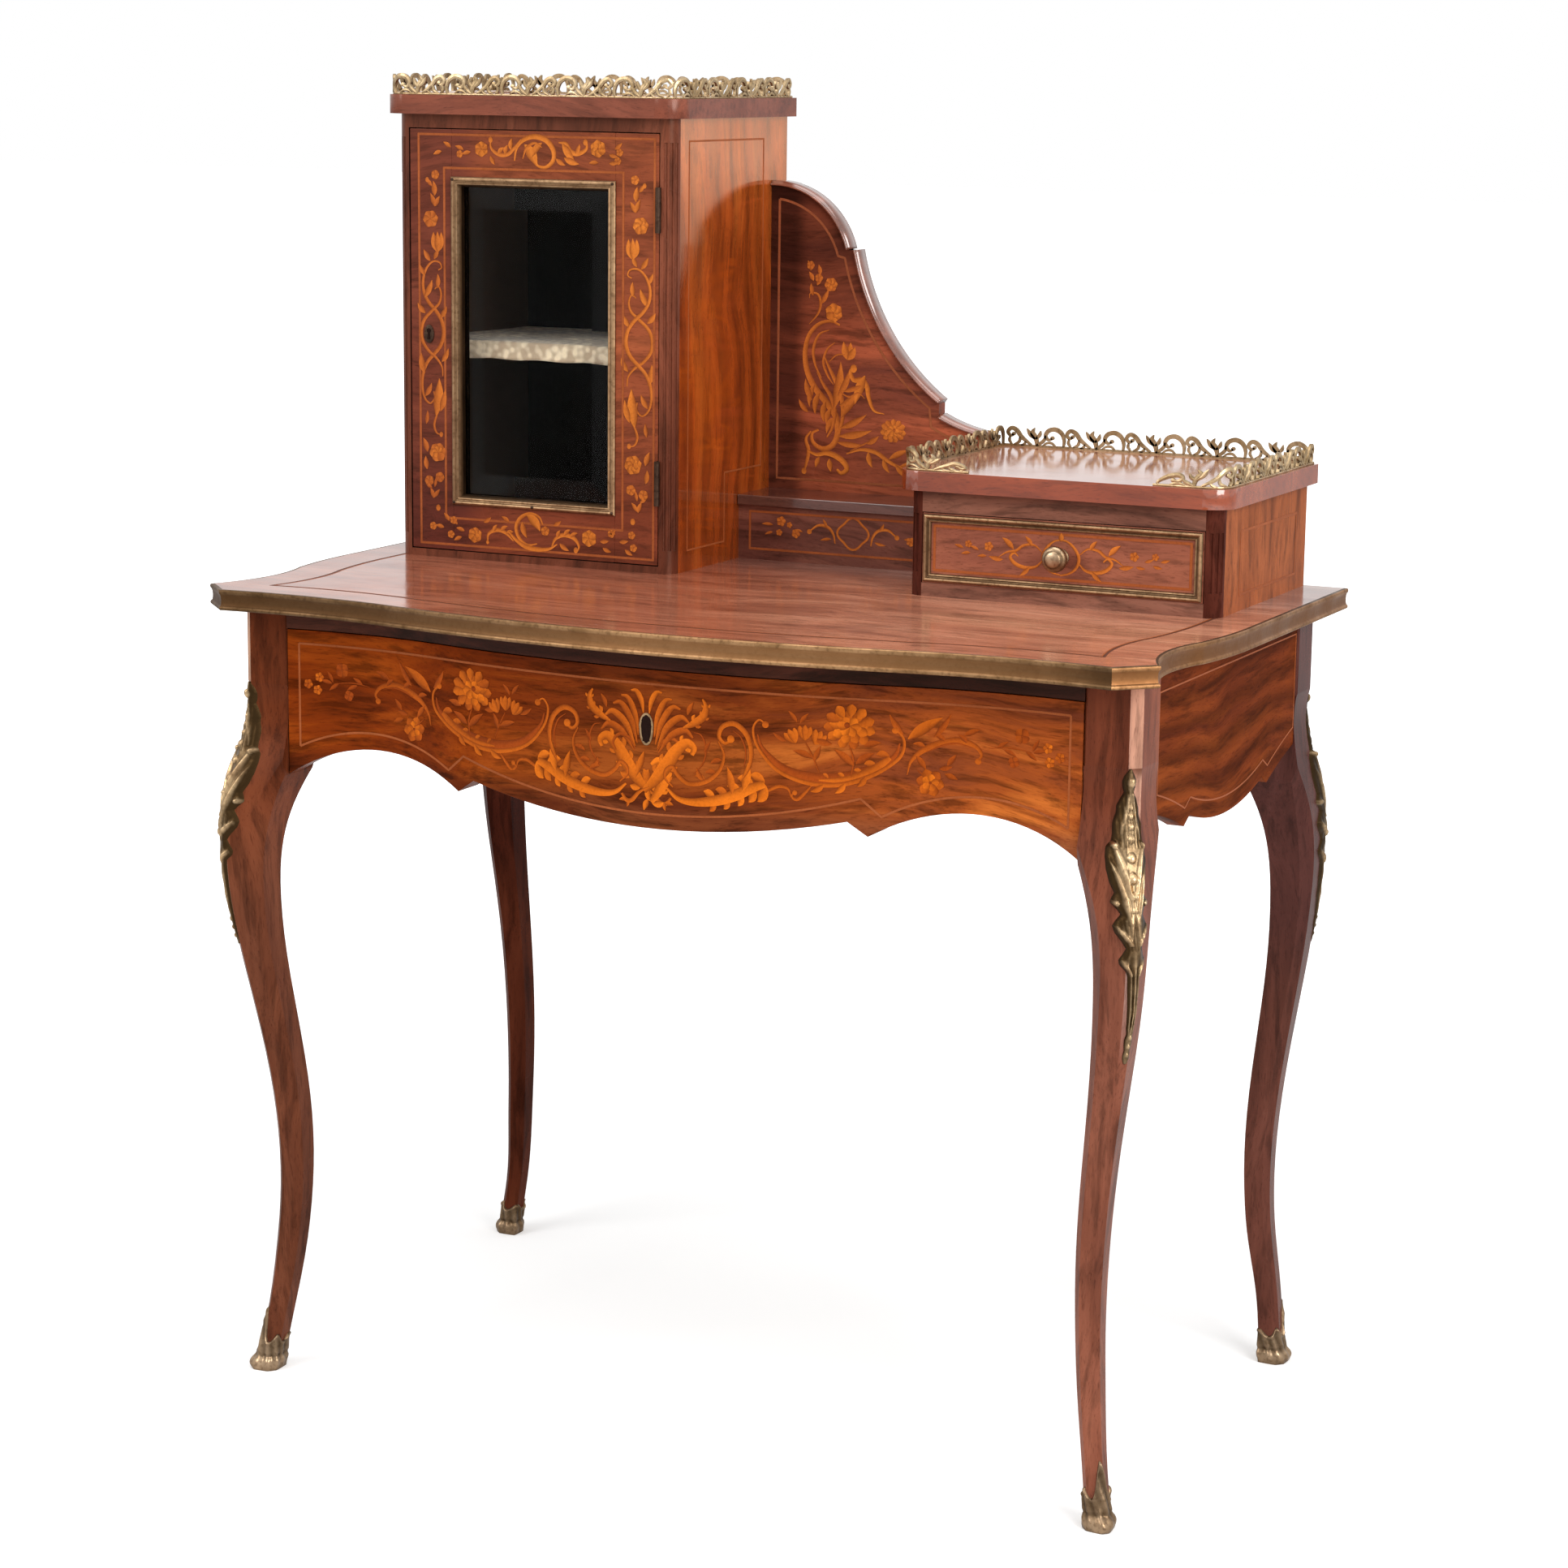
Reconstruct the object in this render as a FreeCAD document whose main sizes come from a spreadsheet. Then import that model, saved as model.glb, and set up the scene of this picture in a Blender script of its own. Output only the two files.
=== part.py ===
# Bonheur du jour: a serpentine writing table on four cabriole legs. It carries a
# glazed cabinet on the left, a one-drawer box on the right and a scrolled back
# between them. +X is to the sitter's right, -Y is towards the sitter, +Z is up.
# The origin is on the floor, under the middle of the whole piece. Millimetres.

import FreeCAD, Part
import os
from math import cos, radians, sin, tan
from types import SimpleNamespace
import Sketcher

# ---------------------------------------------------------------- driving sizes

SIZES = {
    # Table top: plan of the brass band's outside. Lines are distances from the middle.
    "top_thickness": 19, "table_half": 465, "table_back": 286, "corner_line": 254,
    "bow_rise": 32, "bow_turn_half": 250, "bow_turn_rise": 7, "hollow_half": 340,
    "hollow_fall": 4, "corner_cut": 31, "dip_inset": 18, "dip_line": 160,
    "turn_inset": 9, "turn_line": 90, "ease_inset": 2.5, "ease_line": 45,
    "band_thickness": 4,
    # Corner posts, which run down into the legs.
    "post_inset": 23, "post_front_inset": 48, "post_back_inset": 24, "post_width": 49,
    "post_rise": 73, "cant_share": 0.18, "front_lead": 15, "back_rake": 30,
    "back_spread": 5, "mount_bite": 4,
    # Serpentine front of the drawer and its rail, measured from the front posts.
    "front_bow_rise": 34, "front_turn_half": 230, "front_turn_rise": 6.5,
    "front_hollow_half": 311, "front_hollow_fall": 4.5, "front_depth": 22,
    "drawer_gap": 1, "rail_height": 19.5, "rail_depth": 48,
    # Lower edge of the drawer front, as drops from the underside of the top.
    "front_end_drop": 156, "front_arch_half": 298, "front_arch_drop": 126,
    "front_notch_step": 18, "front_notch_drop": 152, "front_shoulder_half": 185,
    "front_shoulder_drop": 140, "front_lobe_drop": 161,
    # Side and back aprons.
    "apron_thickness": 16, "apron_inset": 2, "side_end_drop": 120,
    "side_arch_reach": 150, "side_arch_drop": 129.5, "side_notch_step": 14,
    "side_notch_drop": 143.5, "side_shoulder_reach": 97, "side_shoulder_drop": 136,
    "side_lobe_drop": 151, "back_apron_height": 100,
    # Main drawer and what it runs on.
    "drawer_side_inset": 9, "drawer_side_thickness": 10, "drawer_side_height": 80,
    "drawer_side_drop": 6.5, "drawer_end_gap": 62, "drawer_back_thickness": 10,
    "drawer_bottom_thickness": 7, "seat_gap": 0.3, "runner_thickness": 12,
    "runner_reach": 18, "fence_height": 26, "fence_gap": 1,
    # Locks and their bolts.
    "lock_half": 30, "lock_depth": 11, "lock_height": 52, "lock_drop": 5,
    "bolt_half": 11, "bolt_thickness": 5, "bolt_height": 30, "bolt_gap": 0.4,
    "bolt_throw": 8, "bolt_sink": 1.5, "bolt_setback": 3,
    # Both upper units: the plan that they share.
    "unit_inner": 122.5, "unit_width": 300, "unit_back_inset": 5, "wall": 14,
    "back_panel": 12, "overhang": 10, "front_overhang": 12, "cornice_round": 24,
    "flute_radius": 1.6, "flute_margin": 22,
    # Glazed cabinet.
    "cabinet_depth": 241, "cabinet_height": 425, "cornice_thickness": 18,
    "cabinet_floor": 7, "cabinet_top_rail": 13, "shelf_height": 208,
    "shelf_thickness": 12, "shelf_setback": 36, "shelf_gap": 0.5, "pin_radius": 2.5,
    "pin_length": 12, "pin_let_in": 6, "pin_margin": 30, "cloth_thickness": 2,
    "cloth_inset": 4, "cloth_drop": 13,
    # Glazed door.
    "door_gap": 1, "lock_side_gap": 1.5, "door_thickness": 18, "door_stile": 46,
    "door_rail": 45, "bezel_width": 12, "bezel_lip": 3, "bezel_proud": 3,
    "bezel_depth": 8, "glass_thickness": 4, "glass_bevel": 9, "glass_edge": 2.4,
    "glass_gap": 0.3, "bead_width": 9,
    # Hinges: knuckles in front of the door, leaves let into its edge.
    "hinge_height": 42, "hinge_low_margin": 57, "hinge_high_margin": 49,
    "knuckle_radius": 2.6, "hinge_pin": 1.4, "hinge_bore": 1.45, "knuckle_gap": 0.3,
    "leaf_thickness": 1.2, "leaf_depth": 12, "front_gap": 0.3,
    "door_lock_width": 30, "door_lock_height": 36, "door_lock_level": 217,
    "door_bolt_height": 10, "door_bolt_length": 26, "door_bolt_throw": 7,
    "escutcheon_radius": 9, "escutcheon_thickness": 1.2, "keyhole_radius": 2.2,
    "escutcheon_offset": 20,
    # Drawer box.
    "box_depth": 243, "box_height": 97.5, "box_top_thickness": 18,
    "box_floor": 12.5, "box_top_rail": 20,
    "small_gap": 0.8, "small_front": 16, "small_side_inset": 3,
    "small_side_thickness": 8, "small_side_height": 58, "small_drawer_end_gap": 29,
    "small_bottom_thickness": 5, "moulding_width": 9.5, "moulding_depth": 3.5,
    "moulding_inset": 1, "knob_radius": 12, "knob_crown": 7, "knob_stem": 5,
    "knob_reach": 22, "knob_neck": 8, "knob_tenon": 10,
    # Galleries.
    "gallery_inset": 3, "gallery_thickness": 3, "gallery_height": 20,
    "piercing_radius": 6, "piercing_pitch": 17, "return_length": 66,
    "return_drop": 14,
    # Plinth and scrolled back between the units; heights are above the table.
    "plinth_setback": 99, "plinth_thickness": 14, "plinth_height": 53,
    "ledge_thickness": 10, "ledge_nosing": 4, "scroll_setback": 33,
    "scroll_thickness": 15, "scroll_start": 359, "ovolo_half": 40.6,
    "ovolo_height": 299, "ovolo_mid": 69, "ovolo_mid_height": 342, "scroll_step": 8,
    "cavetto_mid": 6, "cavetto_mid_height": 209, "cavetto_end": 60,
    "cavetto_end_height": 155, "scroll_fall": 14, "tail_mid": 88,
    "tail_mid_height": 130, "tail_height": 125, "capping_thickness": 5,
    "capping_overhang": 4,
}

FLUTES = 3
KNUCKLES = 3

# Leg stations from the floor up: rise from the last one, how far the outer faces
# stand outside the post's planes, side of the section, share of the front legs'
# forward lead, of the back legs' rake, and of the side taken off the side corners.
LEG = {
    "toe": (4, -5, 21, 1, 0.53, 0.25), "foot": (26, -10, 20, 1, 0.7, 0.25),
    "pastern": (32, -15, 20, 1, 0.95, 0.25), "shin": (48, -20, 22, 1, 1, 0.25),
    "hock": (70, -24, 24, 1, 0.97, 0.25), "calf": (80, -21, 26.5, 1, 0.97, 0.25),
    "thigh": (80, -11, 29, 1, 0.82, 0.25), "haunch": (80, 2, 33.5, 1, 0.5, 0.23),
    "knee": (60, 9.5, 38.5, 1, 0.25, 0.25), "cap": (60, 11, 46, 0.9, 0.1, 0.25),
    "shoulder": (60, 3.5, 58.5, 0.4, 0, 0.1), "crown": (68, 0, 49, 0, 0, 0.04),
}
# Knee mount: stand-off from the leg and reach round its corner at leg stations.
MOUNT = {"haunch": (2, 8), "knee": (4, 16), "cap": (8, 27), "shoulder": (6, 27),
         "crown": (3, 14)}
# Brass shoe: stand-off from the leg at its sole, middle and rim.
SHOE = {"toe": 3.5, "foot": 2, "pastern": 1.5}

for station, (rise, out, side, lead, rake, ease) in LEG.items():
    SIZES[station + "_rise"] = rise
    SIZES[station + "_out"] = out
    SIZES[station + "_side"] = side
    SIZES[station + "_lead"] = lead
    SIZES[station + "_rake"] = rake
    SIZES[station + "_ease"] = ease
for station, (proud, reach) in MOUNT.items():
    SIZES[station + "_mount"] = proud
    SIZES[station + "_reach"] = reach
for station, proud in SHOE.items():
    SIZES[station + "_shoe"] = proud


# ------------------------------------------------------------ document and sheet

doc = FreeCAD.newDocument("bonheur_du_jour")
sheet = doc.addObject("Spreadsheet::Sheet", "Sizes")
for row, (alias, number) in enumerate(SIZES.items(), start=1):
    sheet.set(f"A{row}", alias)
    sheet.set(f"B{row}", str(number))
    sheet.setAlias(f"B{row}", alias)
doc.recompute()


class Size:
    """A length that carries its number and the sheet expression behind it."""

    def __init__(self, number, text):
        self.number = number
        self.text = text

    def __add__(self, other):
        other = as_size(other)
        return Size(self.number + other.number, f"({self.text} + {other.text})")

    def __sub__(self, other):
        other = as_size(other)
        return Size(self.number - other.number, f"({self.text} - {other.text})")

    def __mul__(self, other):
        other = as_size(other)
        return Size(self.number * other.number, f"({self.text} * {other.text})")

    def __truediv__(self, other):
        other = as_size(other)
        return Size(self.number / other.number, f"({self.text} / {other.text})")

    def __neg__(self):
        return self * -1

    __radd__ = __add__
    __rmul__ = __mul__

    def __rsub__(self, other):
        return as_size(other) - self


def as_size(value):
    """A plain number as a Size; a Size as it is."""
    return value if isinstance(value, Size) else Size(value, f"({value})")


cell = SimpleNamespace(**{alias: Size(sheet.get(alias), "Sizes." + alias)
                          for alias in SIZES})
nodes = {}


# ---------------------------------------------------------------------- helpers

def new(kind, name):
    """A document object with a free name."""
    return doc.addObject(kind, name)


def node(name, shape_object):
    """Name a finished sub-part."""
    shape_object.Label = name
    nodes[name] = shape_object
    return shape_object


def block(name, x, y, z):
    """A board between a low and a high bound on each axis."""
    board = new("Part::Box", name)
    for (low, high), edge, axis in zip((x, y, z), ("Length", "Width", "Height"), "xyz"):
        low, high = as_size(low), as_size(high)
        board.setExpression(edge, (high - low).text)
        board.setExpression("Placement.Base." + axis, low.text)
    return board


def rod(name, radius, length, centre, tilt=None):
    """A cylinder along +Z from its centre point, or along tilt (axis, degrees)."""
    cylinder = new("Part::Cylinder", name)
    cylinder.setExpression("Radius", as_size(radius).text)
    cylinder.setExpression("Height", as_size(length).text)
    if tilt:
        cylinder.Placement.Rotation = FreeCAD.Rotation(FreeCAD.Vector(*tilt[0]), tilt[1])
    for axis, value in zip("xyz", centre):
        cylinder.setExpression("Placement.Base." + axis, as_size(value).text)
    return cylinder


def cut(name, base, *tools):
    """Base less every tool."""
    result = new("Part::Cut", name)
    result.Base = base
    result.Tool = tools[0] if len(tools) == 1 else group(name + "_tools", *tools)
    return result


def join(name, *pieces):
    """One solid made of several."""
    result = new("Part::MultiFuse", name)
    result.Shapes = list(pieces)
    result.Refine = True
    return result


def group(name, *pieces):
    """Separate solids that share a node."""
    result = new("Part::Compound", name)
    result.Links = list(pieces)
    return result


def via(x, y):
    """Mark a point that the edge between its neighbours passes as an arc."""
    return ("via", x, y)


def numbers(point):
    """A sketch point's numbers as a vector."""
    x, y = (as_size(value).number for value in point[-2:])
    return FreeCAD.Vector(x, y, 0)


def pin_point(sketch, geometry, position, point):
    """Hold a sketch point at two sheet expressions."""
    for kind, value in zip(("DistanceX", "DistanceY"), point[-2:]):
        value = as_size(value)
        index = sketch.addConstraint(
            Sketcher.Constraint(kind, -1, 1, geometry, position, value.number))
        sketch.setExpression(f"Constraints[{index}]", value.text)


def draw(sketch, path):
    """Close a path of points with lines, and arcs through the points from via()."""
    corners = [point for point in path if point[0] != "via"]
    bends = {}
    for place, point in enumerate(path):
        if point[0] == "via":
            bends[sum(1 for earlier in path[:place] if earlier[0] != "via") - 1] = point
    for place, start in enumerate(corners):
        first, last = numbers(start), numbers(corners[(place + 1) % len(corners)])
        if place in bends:
            arc = Part.Arc(first, numbers(bends[place]), last)
            sketch.addGeometry(arc, False)
        else:
            sketch.addGeometry(Part.LineSegment(first, last), False)
    ends = arc_ends(sketch, corners)
    for place, start in enumerate(corners):
        begin, finish = ends[place]
        pin_point(sketch, place, begin, start)
        following = (place + 1) % len(corners)
        sketch.addConstraint(Sketcher.Constraint(
            "Coincident", place, finish, following, ends[following][0]))
        if place in bends:
            guide = sketch.addGeometry(Part.Point(numbers(bends[place])), True)
            pin_point(sketch, guide, 1, bends[place])
            sketch.addConstraint(Sketcher.Constraint("PointOnObject", guide, 1, place))


def arc_ends(sketch, corners):
    """Which end of each edge starts it: an arc may be stored the other way round."""
    ends = []
    for place, start in enumerate(corners):
        first = sketch.getPoint(place, 1)
        forward = first.distanceToPoint(numbers(start)) < 1e-6
        ends.append((1, 2) if forward else (2, 1))
    return ends


def sketch_in(body, plane, level, path):
    """A sketch in a body, parallel to an origin plane at a level along its normal."""
    sketch = body.newObject("Sketcher::SketchObject", body.Name + "_sketch")
    origin = [item for item in body.Origin.OriginFeatures if item.Role == plane][0]
    sketch.AttachmentSupport = [(origin, "")]
    sketch.MapMode = "FlatFace"
    sketch.setExpression("AttachmentOffset.Base.z", as_size(level).text)
    draw(sketch, path)
    return sketch


def levels(plane, low, high):
    """Sketch level and pad length: the XZ plane's normal points to -Y."""
    low, high = as_size(low), as_size(high)
    return (-high if plane == "XZ_Plane" else low), high - low


def prism(name, plane, low, high, path, *holes):
    """A padded outline between two levels, with pockets right through it."""
    body = new("PartDesign::Body", name)
    level, length = levels(plane, low, high)
    pad = body.newObject("PartDesign::Pad", name + "_pad")
    pad.Profile = sketch_in(body, plane, level, path)
    pad.setExpression("Length", length.text)
    for hole in holes:
        pocket = body.newObject("PartDesign::Pocket", name + "_pocket")
        pocket.Profile = sketch_in(body, plane, level, hole)
        pocket.setExpression("Length", length.text)
        pocket.Reversed = True
    return body


def rectangle(x, y):
    """Corner points of a rectangle from two (low, high) pairs."""
    return [(x[0], y[0]), (x[1], y[0]), (x[1], y[1]), (x[0], y[1])]


def loft(name, sections):
    """A smooth body through (height, outline) sections on horizontal planes."""
    body = new("PartDesign::Body", name)
    sketches = [sketch_in(body, "XY_Plane", height, path) for height, path in sections]
    blend = body.newObject("PartDesign::AdditiveLoft", name + "_loft")
    blend.Profile = sketches[0]
    blend.Sections = sketches[1:]
    return body


def turned(name, profile, centre):
    """A piece turned about an axis along -Y: profile is (radius, reach) points."""
    body = new("PartDesign::Body", name)
    x, y, z = centre
    path = [(x + radius, y - reach) for radius, reach in profile]
    revolution = body.newObject("PartDesign::Revolution", name + "_turning")
    revolution.Profile = sketch_in(body, "XY_Plane", z, path)
    revolution.ReferenceAxis = (revolution.Profile[0], [f"Edge{len(path)}"])
    revolution.Angle = 360
    return body


# ------------------------------------------------------------------ shared planes

heights = {}
level = as_size(0)
for name in LEG:
    level = level + vars(cell)[name + "_rise"]
    heights[name] = level
top_under = heights["crown"] + cell.post_rise
table_top = top_under + cell.top_thickness

post_half = cell.table_half - cell.post_inset
post_front = cell.corner_line - cell.post_front_inset
post_back = cell.table_back - cell.post_back_inset
post_inner = post_half - cell.post_width
front_inner = cell.post_width - post_front
back_inner = post_back - cell.post_width
apron_outer = post_half - cell.apron_inset
apron_inner = apron_outer - cell.apron_thickness

front_back_line = cell.front_depth - post_front
drawer_top = top_under - cell.rail_height - cell.drawer_gap
drawer_side = post_inner - cell.drawer_side_inset
drawer_side_top = drawer_top - cell.drawer_side_drop
drawer_side_low = drawer_side_top - cell.drawer_side_height
drawer_end = post_back - cell.drawer_end_gap

unit_outer = cell.unit_inner + cell.unit_width
unit_back = cell.table_back - cell.unit_back_inset
cabinet_front = unit_back - cell.cabinet_depth
box_front = unit_back - cell.box_depth
scroll_line = unit_back - cell.scroll_setback


# -------------------------------------------------------------- table and brass band

def mirrored(path):
    """A path reflected in the YZ plane and run the other way."""
    return [(point[0], -point[-2], point[-1]) if point[0] == "via"
            else (-point[0], point[1]) for point in reversed(path)]


def serpentine_top(inset):
    """Plan of the top, drawn in from the band's outside by an inset."""
    slip = inset * tan(radians(45 / 2))
    front, edge = inset - cell.corner_line, cell.table_half - inset
    right = [(cell.bow_turn_half, front - cell.bow_turn_rise),
             via(cell.hollow_half, front + cell.hollow_fall),
             (cell.table_half - cell.corner_cut - slip, front),
             (edge, cell.corner_cut + slip - cell.corner_line),
             via(edge - cell.dip_inset, -cell.dip_line),
             (edge - cell.turn_inset, -cell.turn_line),
             via(edge - cell.ease_inset, -cell.ease_line),
             (edge, 0), (edge, cell.table_back)]
    return right + mirrored(right) + [via(0, front - cell.bow_rise)]


def make_table_top():
    inner = serpentine_top(cell.band_thickness)
    node("tabletop", prism("tabletop", "XY_Plane", top_under, table_top, inner))
    node("top_brass_band", prism("top_brass_band", "XY_Plane", top_under,
                                 table_top, serpentine_top(0), inner))


# ------------------------------------------------------------------------- legs

def station(name, along):
    """Outer corner, side and corner easing of a leg's section; along is -1 in front."""
    size = vars(cell)
    out, side, rake = (size[name + ending] for ending in ("_out", "_side", "_rake"))
    x = post_half + out
    if along > 0:
        x = x + cell.back_spread * rake
        y = post_back + out + cell.back_rake * rake
    else:
        y = post_front + out + cell.front_lead * size[name + "_lead"]
    return x, y, side, side * size[name + "_ease"]


def quadrant(across, along, path):
    """A path drawn for the right back corner, moved to any corner of the table."""
    placed = [(x * across, y * along) for x, y in path]
    return placed if across * along > 0 else placed[::-1]


def kite(x, y, side, ease, proud=0):
    """Section with its outer corner canted and its two side corners eased."""
    cant = side * cell.cant_share
    high_x, low_x = x + proud, x - side - proud
    high_y, low_y = y + proud, y - side - proud
    return [(high_x - cant, high_y), (low_x + ease, high_y), (low_x, high_y - ease),
            (low_x, low_y), (high_x - ease, low_y), (high_x, low_y + ease),
            (high_x, high_y - cant)]


def mount_outline(name, along):
    """Section of a knee mount: an angle that bites into the leg's outer corner."""
    size = vars(cell)
    x, y, side = station(name, along)[:3]
    proud, reach = size[name + "_mount"], size[name + "_reach"]
    cant = side * cell.cant_share
    bite = cell.mount_bite
    x_face, y_face = x + proud, y + proud
    return [(x_face - cant, y_face), (x_face - reach, y_face), (x_face - reach, y - bite),
            (x - bite, y - bite), (x - bite, y_face - reach), (x_face, y_face - reach),
            (x_face, y_face - cant)]


def flipped(low, high, hand):
    """An interval on the positive side, or its mirror image on the negative one."""
    return (low, high) if hand > 0 else (-high, -low)


def make_leg(place, across, along):
    """A cabriole leg that runs up into its post; flat where rails and aprons meet it."""
    body = loft(place + "_cabriole",
                [(heights[name], quadrant(across, along, kite(*station(name, along))))
                 for name in LEG])
    post = body.newObject("PartDesign::Pad", place + "_post")
    post.Profile = sketch_in(body, "XY_Plane", heights["crown"],
                             quadrant(across, along, kite(*station("crown", along))))
    post.setExpression("Length", cell.post_rise.text)
    line = (post_front if along < 0 else post_back) - cell.post_width
    z = (heights["knee"], top_under)
    return cut(place + "_leg", body,
               block(place + "_rail_face", flipped(0, post_inner, across),
                     flipped(0, cell.table_back, along), z),
               block(place + "_apron_face", flipped(0, cell.table_half, across),
                     flipped(0, line, along), z))


def make_legs():
    mounts, shoes = [], []
    for place, across, along in (("front_left", -1, -1), ("front_right", 1, -1),
                                 ("back_left", -1, 1), ("back_right", 1, 1)):
        leg = node(place + "_leg", make_leg(place, across, along))
        skin = loft(place + "_mount_skin",
                    [(heights[name],
                      quadrant(across, along, mount_outline(name, along)))
                     for name in MOUNT])
        mounts.append(cut(place + "_mount", skin, leg))
        shoe = loft(place + "_shoe_skin",
                    [(0 if name == "toe" else heights[name],
                      quadrant(across, along, kite(*station(name, along),
                                                   vars(cell)[name + "_shoe"])))
                     for name in SHOE])
        shoes.append(cut(place + "_shoe", shoe, leg))
    node("knee_mounts", group("knee_mounts", *mounts))
    node("sabots", group("sabots", *shoes))


# ------------------------------------------------------------------ aprons and rail

def make_aprons():
    middle = (front_inner + back_inner) / 2
    half = (back_inner - front_inner) / 2

    notch = cell.side_shoulder_reach + cell.side_notch_step

    def edge(reach, drop):
        return (middle + reach, top_under - drop)

    back = [edge(half, 0), edge(half, cell.side_end_drop),
            via(*edge(cell.side_arch_reach, cell.side_arch_drop)),
            edge(notch, cell.side_notch_drop),
            edge(cell.side_shoulder_reach, cell.side_shoulder_drop),
            via(*edge(0, cell.side_lobe_drop))]
    front = [edge(-cell.side_shoulder_reach, cell.side_shoulder_drop),
             edge(-notch, cell.side_notch_drop),
             via(*edge(-cell.side_arch_reach, cell.side_arch_drop)),
             edge(-half, cell.side_end_drop), edge(-half, 0)]
    outline = back + front
    node("side_apron_right", prism("side_apron_right", "YZ_Plane", apron_inner,
                                   apron_outer, outline))
    node("side_apron_left", prism("side_apron_left", "YZ_Plane", -apron_outer,
                                  -apron_inner, outline))
    node("back_apron", block("back_apron", (-post_inner, post_inner),
                             (post_back - cell.apron_thickness, post_back),
                             (top_under - cell.back_apron_height, top_under)))


def serpentine_front(end, back):
    """Plan of the bowed front between x = -end and end, back to a straight line."""
    right = [(cell.front_turn_half, -post_front - cell.front_turn_rise),
             via(cell.front_hollow_half, cell.front_hollow_fall - post_front),
             (end, -post_front), (end, back)]
    return right + mirrored(right) + [via(0, -post_front - cell.front_bow_rise)]


def make_front_rail():
    rail = prism("front_rail_blank", "XY_Plane", top_under - cell.rail_height, top_under,
                 serpentine_front(post_inner, cell.rail_depth - post_front))
    rail_under = top_under - cell.rail_height
    y_bolt = front_back_line + cell.bolt_setback
    mortise = block("rail_mortise",
                    (-cell.bolt_half - cell.bolt_gap, cell.bolt_half + cell.bolt_gap),
                    (y_bolt - cell.bolt_gap, y_bolt + cell.bolt_thickness + cell.bolt_gap),
                    (rail_under - cell.bolt_gap, rail_under + cell.bolt_throw))
    node("front_top_rail", cut("front_top_rail", rail, mortise))


def make_runners():
    tread_top = drawer_side_low - cell.seat_gap
    tread_low = tread_top - cell.runner_thickness
    fence = drawer_side + cell.fence_gap
    runners = []
    for hand, across in (("left", -1), ("right", 1)):
        profile = [(drawer_side - cell.runner_reach, tread_low),
                   (apron_inner, tread_low), (apron_inner, tread_top + cell.fence_height),
                   (fence, tread_top + cell.fence_height), (fence, tread_top),
                   (drawer_side - cell.runner_reach, tread_top)]
        path = [(x * across, z) for x, z in profile]
        runners.append(prism(hand + "_runner", "XZ_Plane", front_inner, back_inner, path))
    node("drawer_runners", group("drawer_runners", *runners))


# ------------------------------------------------------------------- main drawer

def make_main_drawer():
    end = post_inner - cell.drawer_gap
    plan = prism("drawer_front_plan", "XY_Plane", 0, drawer_top,
                 serpentine_front(end, front_back_line))
    lower = [(cell.front_shoulder_half, top_under - cell.front_shoulder_drop),
             (cell.front_shoulder_half + cell.front_notch_step,
              top_under - cell.front_notch_drop),
             via(cell.front_arch_half, top_under - cell.front_arch_drop),
             (end, top_under - cell.front_end_drop), (end, drawer_top)]
    outline = lower + mirrored(lower) + [via(0, top_under - cell.front_lobe_drop)]
    face = prism("drawer_front_face", "XZ_Plane", -cell.corner_line - cell.bow_rise, 0,
                 outline)
    front = new("Part::Common", "main_drawer_front")
    front.Base = plan
    front.Tool = face
    node("main_drawer_front", front)

    outer = drawer_side
    inner = outer - cell.drawer_side_thickness
    run = (front_back_line, drawer_end)
    height = (drawer_side_low, drawer_side_top)
    node("main_drawer_sides", group(
        "main_drawer_sides", block("main_side_left", (-outer, -inner), run, height),
        block("main_side_right", (inner, outer), run, height)))
    back_line = drawer_end - cell.drawer_back_thickness
    node("main_drawer_back", block("main_drawer_back", (-inner, inner),
                                   (back_line, drawer_end), height))
    node("main_drawer_bottom", block(
        "main_drawer_bottom", (-inner, inner), (front_back_line, back_line),
        (drawer_side_low, drawer_side_low + cell.drawer_bottom_thickness)))
    make_main_lock()


def make_main_lock():
    face = front_back_line
    lock_top = drawer_top - cell.lock_drop
    bolt_y = (face + cell.bolt_setback, face + cell.bolt_setback + cell.bolt_thickness)
    bolt_top = drawer_top - cell.bolt_sink
    bolt_low = bolt_top - cell.bolt_height
    case = block("main_lock_case", (-cell.lock_half, cell.lock_half),
                 (face, face + cell.lock_depth), (lock_top - cell.lock_height, lock_top))
    channel = block("main_lock_channel",
                    (-cell.bolt_half - cell.bolt_gap, cell.bolt_half + cell.bolt_gap),
                    (bolt_y[0] - cell.bolt_gap, bolt_y[1] + cell.bolt_gap),
                    (bolt_low - cell.seat_gap, drawer_top))
    node("main_drawer_lock", cut("main_drawer_lock", case, channel))
    node("main_drawer_bolt", block("main_drawer_bolt", (-cell.bolt_half, cell.bolt_half),
                                   bolt_y, (bolt_low, bolt_top)))


# ------------------------------------------------------- what both upper units share

def unit_span(hand):
    """Low and high X of a unit; hand is -1 for the cabinet and 1 for the box."""
    if hand < 0:
        return -unit_outer, -cell.unit_inner
    return cell.unit_inner, unit_outer


def rounded_slab(x, y, radius):
    """Plan of a slab with rounded front corners."""
    mid = radius * (1 - cos(radians(45)))
    return [(x[0] + radius, y[0]), (x[1] - radius, y[0]), via(x[1] - mid, y[0] + mid),
            (x[1], y[0] + radius), (x[1], y[1]), (x[0], y[1]), (x[0], y[0] + radius),
            via(x[0] + mid, y[0] + mid)]


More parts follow.
